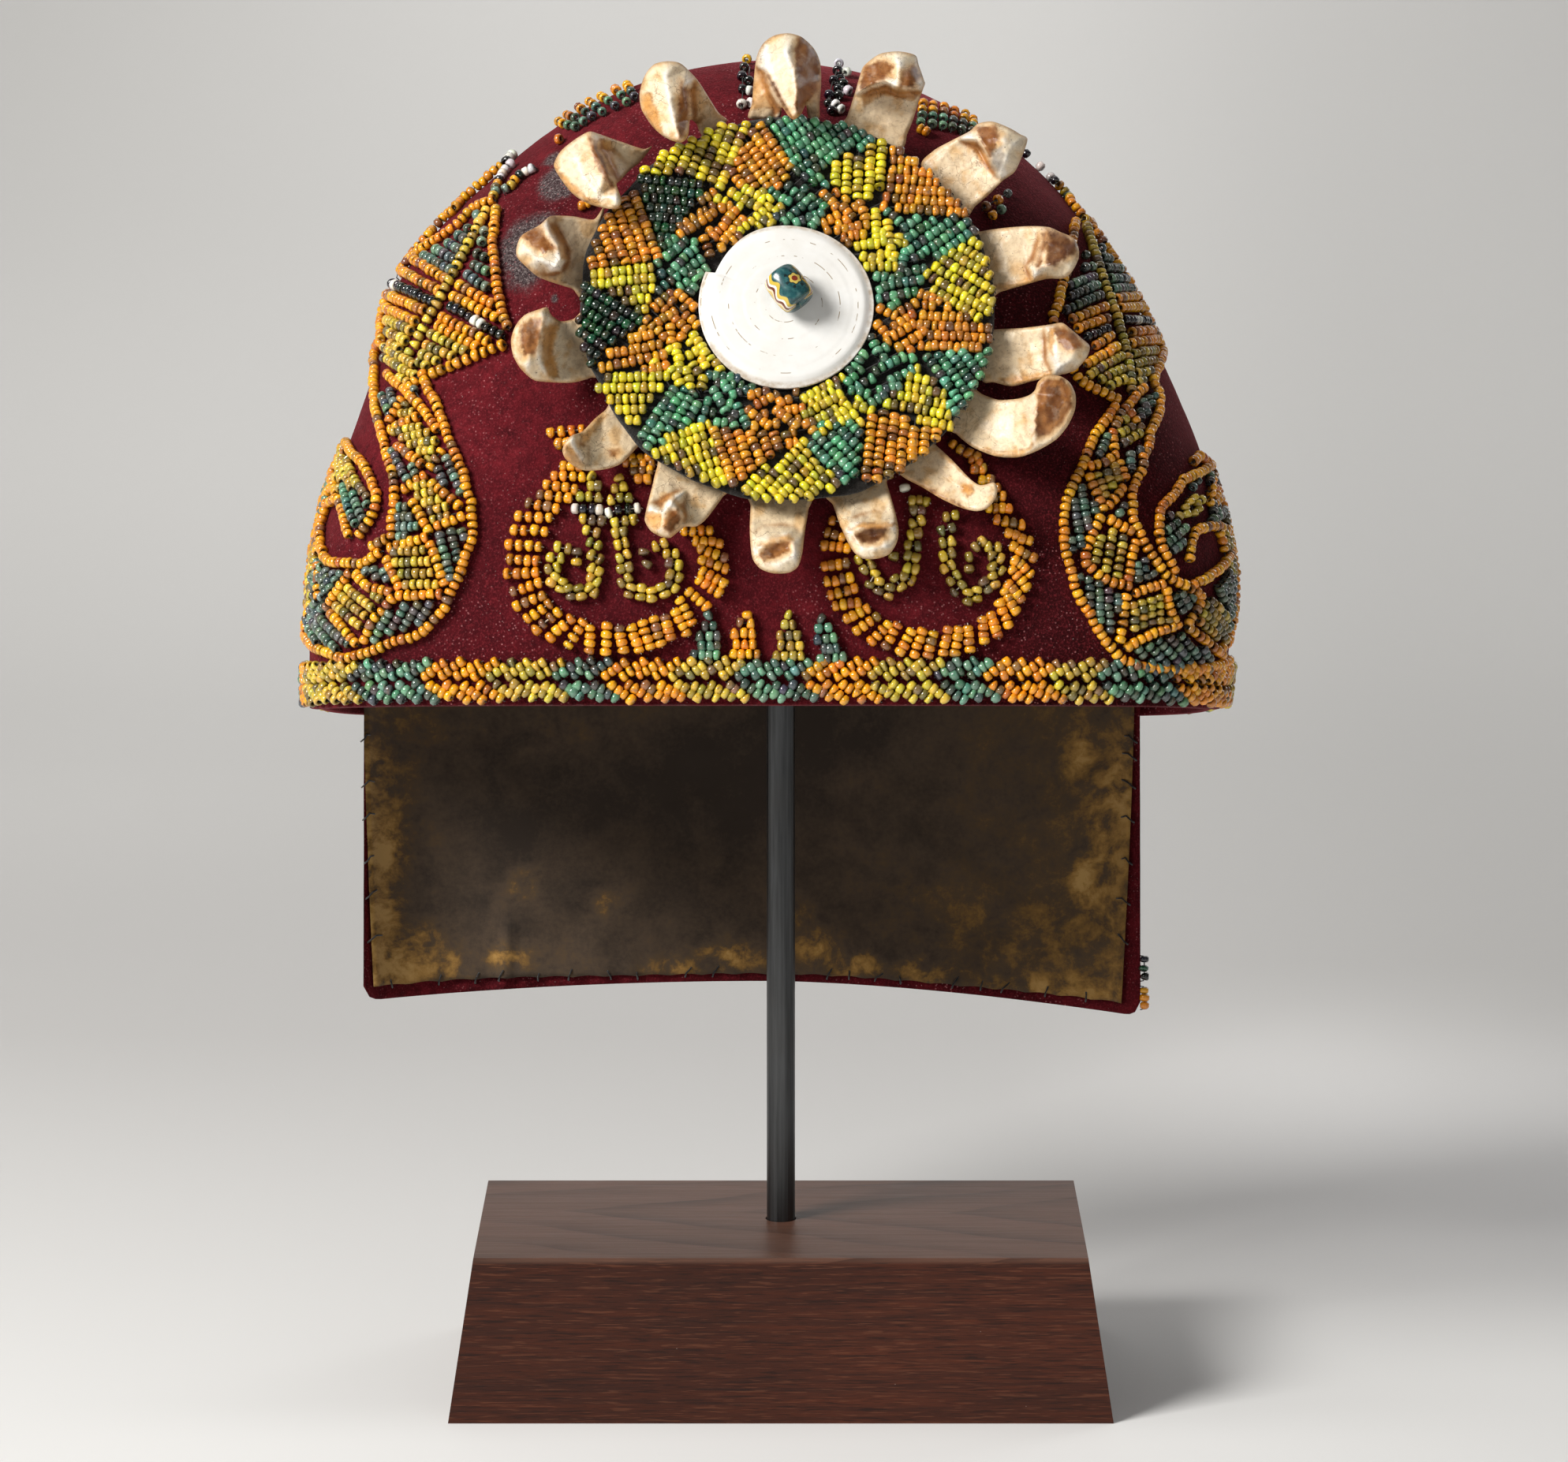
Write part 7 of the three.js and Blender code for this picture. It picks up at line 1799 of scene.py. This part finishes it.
def inside_of(points, poly):
    poly = np.asarray(poly, float)
    hit = np.zeros(len(points), bool)
    x, y = points[:, 0], points[:, 1]
    for (x0, y0), (x1, y1) in zip(poly, np.roll(poly, -1, axis=0)):
        cross = (y0 > y) != (y1 > y)
        with np.errstate(divide="ignore", invalid="ignore"):
            at = x0 + (y - y0) / (y1 - y0) * (x1 - x0)
        hit ^= cross & (x < at)
    return hit


def edge_distance(points, poly):
    poly = np.asarray(poly, float)
    best = np.full(len(points), 1e9)
    for a, b in zip(poly, np.roll(poly, -1, axis=0)):
        d = b - a
        t = np.clip(((points - a) @ d) / max(d @ d, 1e-9), 0, 1)
        best = np.minimum(best, np.linalg.norm(points - a - t[:, None] * d, axis=1))
    return best


def rose_view(x, y, level):
    """World places at pixels of the photograph's frame, at a height out from the rosette's plane."""
    d = FORWARD[None] + ((x - PICTURE[0] / 2) / FOCAL)[:, None] * SIDEWAYS - ((y - PICTURE[1] / 2) / FOCAL)[:, None] * UPWARD
    n = ROSE_AXES[2]
    t = ((ROSE - EYE) @ n + level) / (d @ n)
    return EYE + t[:, None] * d


def tooth_piece(number):
    (cx, cy), edge, lines, stains = TEETH[number]
    ring = closed_curve(edge, 6)
    m = len(ring)
    control = np.concatenate([ring, np.array(lines, float)])
    loop = [(k, (k + 1) % m) for k in range(m)]
    found = delaunay_2d_cdt([Vector(q[:2]) for q in control], loop, [], 0, 1e-5)
    flat = np.array([q[:] for q in found[0]])
    level = np.array([control[o[0], 2] if o else np.nan for o in found[3]])
    for k in np.flatnonzero(np.isnan(level)):
        level[k] = control[np.argmin(((control[:, :2] - flat[k]) ** 2).sum(1)), 2]
    tri = np.array([f[:] for f in found[2]])
    # fine mesh of the front
    low, high = ring[:, :2].min(0), ring[:, :2].max(0)
    step = 5.2
    pts = []
    for r, y in enumerate(np.arange(low[1] + 2, high[1], step * 0.866)):
        pts += [(x, y) for x in np.arange(low[0] + (r % 2) * step / 2, high[0], step)]
    pts = np.array(pts)
    pts = pts[inside_of(pts, ring[:, :2])]
    pts = pts[edge_distance(pts, ring[:, :2]) > 2.2]
    fine = delaunay_2d_cdt([Vector(q) for q in ring[:, :2]] + [Vector(q) for q in pts], loop, [], 1, 1e-5)
    xy = np.array([q[:] for q in fine[0]])
    faces = np.array([f[:] for f in fine[2]])
    h = np.full(len(xy), np.nan)
    for a, b, c in tri:
        pa, pb, pc = flat[a], flat[b], flat[c]
        det = (pb[0] - pa[0]) * (pc[1] - pa[1]) - (pc[0] - pa[0]) * (pb[1] - pa[1])
        if abs(det) < 1e-9:
            continue
        v = ((xy[:, 0] - pa[0]) * (pc[1] - pa[1]) - (pc[0] - pa[0]) * (xy[:, 1] - pa[1])) / det
        w = ((pb[0] - pa[0]) * (xy[:, 1] - pa[1]) - (xy[:, 0] - pa[0]) * (pb[1] - pa[1])) / det
        ok = (v >= -1e-3) & (w >= -1e-3) & (v + w <= 1.001)
        h = np.where(ok & np.isnan(h), level[a] + v * (level[b] - level[a]) + w * (level[c] - level[a]), h)
    for k in np.flatnonzero(np.isnan(h)):
        h[k] = control[np.argmin(((control[:, :2] - xy[k]) ** 2).sum(1)), 2]
    pairs = np.concatenate([faces[:, [0, 1]], faces[:, [1, 2]], faces[:, [2, 0]]])
    key = np.sort(pairs, 1)
    uniq, first, count = np.unique(key, axis=0, return_index=True, return_counts=True)
    rim = pairs[first[count == 1]]
    on_rim = np.zeros(len(xy), bool)
    on_rim[rim.ravel()] = True

    def blurred(z, times):
        z = z.copy()
        for _ in range(times):
            total, n = np.zeros(len(z)), np.zeros(len(z))
            for a, b in ((0, 1), (1, 0)):
                np.add.at(total, uniq[:, a], z[uniq[:, b]])
                np.add.at(n, uniq[:, a], 1)
            z = np.where(on_rim, z, 0.6 * z + 0.4 * total / np.maximum(n, 1))
        return z

    h = blurred(h, 2)
    broad = blurred(h, 18)
    h = broad + 1.4 * (h - broad)
    hollow = broad - h
    d = edge_distance(xy, ring[:, :2])
    h = h - 0.8 * (1 - smooth(0, 10, d)) ** 2
    q = np.concatenate([xy / 12.4, np.full((len(xy), 1), number * 9.0)], 1)
    h = h + 0.10 * wobble(q, 3.2, 50 + number) * smooth(0, 10, d) + 0.05 * wobble(q * np.array([1, 1, 1]), 1.1, 90 + number)
    back = h - (0.5 + 2.3 * smooth(0, 26, d))
    px, py = cx + (xy[:, 0] - 163) / 2.06, cy + (xy[:, 1] - 163) / 2.06
    verts = np.concatenate([rose_view(px, py, h), rose_view(px, py, back)])
    n = len(xy)
    tris = np.concatenate([faces, faces[:, ::-1] + n])
    quads = np.stack([rim[:, 1], rim[:, 0], rim[:, 0] + n, rim[:, 1] + n], 1)
    a, b, c = verts[faces[:, 0]], verts[faces[:, 1]], verts[faces[:, 2]]
    if (np.cross(b - a, c - a) @ ROSE_AXES[2]).sum() < 0:
        tris, quads = tris[:, ::-1], quads[:, ::-1]
    ob = mesh_object("tooth_%02d_worn" % number, verts, quads=quads, tris=tris, material=TOOTH)
    # colour: ivory, browner towards the outline and where it is stained; painted highlight makes the ridges whiter and
    # painted shade browns the hollows
    colour = np.repeat(np.array([[237.0, 217.0, 184.0]]), n, 0)

    def toward(tone, share):
        return (np.array(tone, float) - colour) * np.clip(share, 0, 1)[:, None]

    colour += toward((214, 168, 110), smooth(0.0, 0.9, wobble(q, 5.0, 20 + number)) * 0.65)
    colour += toward((212, 170, 118), smooth(-1.5, -4.5, h) * 0.22)
    # painted highlight on the ridges, painted shade in the hollows
    colour += toward((255, 250, 240), smooth(0.05, 0.7, -hollow) * 0.9)
    colour += toward((146, 90, 46), smooth(0.12, 1.0, hollow) * 0.85)
    colour += toward((170, 116, 62), smooth(8.0, 0.0, d) * 0.5)
    rough = wobble(q, 1.6, 120 + number)
    for tone, amount, poly in stains:
        sd = np.where(inside_of(xy, poly), 1, -1) * edge_distance(xy, poly) + 3.5 * rough
        mask = smooth(-6.5, 6.0, sd) * min(1.0, amount * 1.2)
        if tone in ("brown", "dark"):
            colour += toward((214, 156, 92), smooth(-20.0, 0.0, sd) * 0.55 * amount)
        fade = 0.88 + 0.12 * np.sin(wobble(q, 2.4, 160 + number) * 2.0)
        colour += toward(STAINS[tone], mask * fade)
        if tone != "grey":
            line = np.exp(-((sd - 1.0) / 2.2) ** 2) * smooth(-0.2, 0.5, wobble(q, 3.0, 200 + number)) * (0.6 if tone != "tan" else 0.35)
            colour += toward((84, 46, 20), line)
    colour = linear(np.clip(colour, 0, 255))
    # painted shade: the back faces take 0.8 of the front's colour
    put_colour(ob, "col", np.concatenate([colour, colour * 0.8]))
    put_vector(ob, "grain", np.concatenate([q, q]))
    return finish_piece(ob, ("tooth_%02d" % number,))


for number in TEETH:
    tooth_piece(number)

# ------------------------------------------------------------------ stand
def repaint(node, material):
    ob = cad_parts[node]
    ob.data.materials.clear()
    ob.data.materials.append(material)
    return ob


base = repaint("base_block", WOOD)
bevel = base.modifiers.new("eased_edges", "BEVEL")
bevel.width = 0.0007
bevel.segments = 3
bevel.limit_method = "ANGLE"
bevel.angle_limit = math.radians(40)
repaint("rod", STEEL)

# ------------------------------------------------------------------ floor, backdrop and light
def stage():
    m = Mat("pale_floor")
    m.set(Roughness=0.75, Specular_IOR_Level=0.2)
    # painted light and shade: the floor's tone ramps from bright at the front to darkest behind the object, standing in
    # for the fall-off of the light
    depth = m.span(m.separate(m.coord())[1], -1.0, 2.0, 0.0, 1.0)
    tone = m.ramp(depth, (0.28, (0.86, 0.855, 0.845, 1)), (0.36, (0.72, 0.715, 0.705, 1)), (0.45, (0.57, 0.56, 0.55, 1)), (0.6, (0.53, 0.522, 0.51, 1)), (0.86, (0.62, 0.612, 0.598, 1)))
    fx, fy, fz = m.separate(m.coord())
    # painted shade: darker towards the far sides of the backdrop
    corner = m.math("MULTIPLY", m.step(m.math("ABSOLUTE", fx), 0.1, 0.4), m.step(fz, 0.05, 0.3))
    tone = m.mix(m.math("MULTIPLY", corner, 0.45), tone, (0.40, 0.393, 0.38, 1.0))
    tone = m.mix(m.span(m.noise(3.0, 2.0), 0.3, 0.7, 0.0, 0.06), tone, (0.5, 0.49, 0.48, 1.0))
    # painted light: a bright patch on the floor just in front of the base, lifting the base's shade
    near = m.math("MULTIPLY", m.step(m.math("ABSOLUTE", fx), 0.2, 0.02), m.step(fy, -0.02, -0.06))
    # painted light: lightens the floor on the right where the cap's shadow falls
    right = m.math("MULTIPLY", m.step(fx, 0.05, 0.17), m.math("MULTIPLY", m.step(fy, 0.0, 0.14), m.step(fy, 0.46, 0.2)))
    tone = m.mix(m.math("MULTIPLY", right, 0.9), tone, (0.97, 0.96, 0.95, 1.0))
    # painted shade: darker on the right towards the back of the floor
    far = m.math("MULTIPLY", m.step(fx, 0.06, 0.26), m.math("MULTIPLY", m.step(fy, 0.24, 0.4), m.step(fz, 0.5, 0.1)))
    tone = m.mix(m.math("MULTIPLY", far, 0.4), tone, (0.38, 0.374, 0.364, 1.0))
    # painted light: lighter on the left towards the back of the floor
    left = m.math("MULTIPLY", m.step(fx, 0.0, -0.25), m.math("MULTIPLY", m.step(fy, 0.45, 0.75), m.step(fz, 0.16, 0.04)))
    tone = m.mix(m.math("MULTIPLY", left, 0.28), tone, (0.76, 0.75, 0.735, 1.0))
    m.feed("Base Color", m.mix(m.math("MULTIPLY", near, 0.8), tone, (0.98, 0.975, 0.965, 1.0)))
    prof = [(-2.6, 0.0), (0.9, 0.0)]
    for k in range(1, 13):
        a = math.pi / 2 * k / 12
        prof.append((0.9 + 0.7 * math.sin(a), 0.7 * (1 - math.cos(a))))
    prof.append((1.6, 3.2))
    verts, quads = [], []
    for px, pz in prof:
        verts += [(-3200, px * 1000, pz * 1000), (3200, px * 1000, pz * 1000)]
    for k in range(len(prof) - 1):
        quads.append((2 * k, 2 * k + 1, 2 * k + 3, 2 * k + 2))
    ob = mesh_object("floor_sweep", np.array(verts, float) - np.array([0, 0, 0.05]), quads=np.array(quads), material=m.m)


stage()


def area_light(name, place, aim, size, power, colour=(1, 1, 1)):
    data = bpy.data.lights.new(name, "AREA")
    data.shape = "RECTANGLE"
    data.size, data.size_y = size
    data.energy = power
    data.color = colour
    ob = bpy.data.objects.new(name, data)
    ob.location = place
    ob.rotation_euler = (Vector(aim) - Vector(place)).to_track_quat("-Z", "Y").to_euler()
    scene.collection.objects.link(ob)
    return ob


area_light("key", (-1.08, -0.80, 1.08), (0.0, 0.0, 0.2), (0.62, 0.62), 34.0, (1.0, 0.985, 0.955))
area_light("fill", (0.9, -1.7, 0.6), (0.0, 0.0, 0.2), (1.0, 1.0), 2.4, (1.0, 0.99, 0.975))
area_light("side", (0.9, 0.9, 0.7), (0.17, 0.2, 0.0), (0.5, 0.5), 1.8)
area_light("top", (0.0, 0.6, 1.5), (0.0, 0.55, 0.0), (1.6, 0.9), 3.6)
area_light("glow", (0.1, 0.95, 0.85), (0.1, 1.5, 0.1), (0.5, 0.4), 2.6)

world = bpy.data.worlds.new("studio")
scene.world = world
world.use_nodes = True
background = world.node_tree.nodes["Background"]
background.inputs["Color"].default_value = (1.0, 0.99, 0.975, 1.0)
background.inputs["Strength"].default_value = 0.12
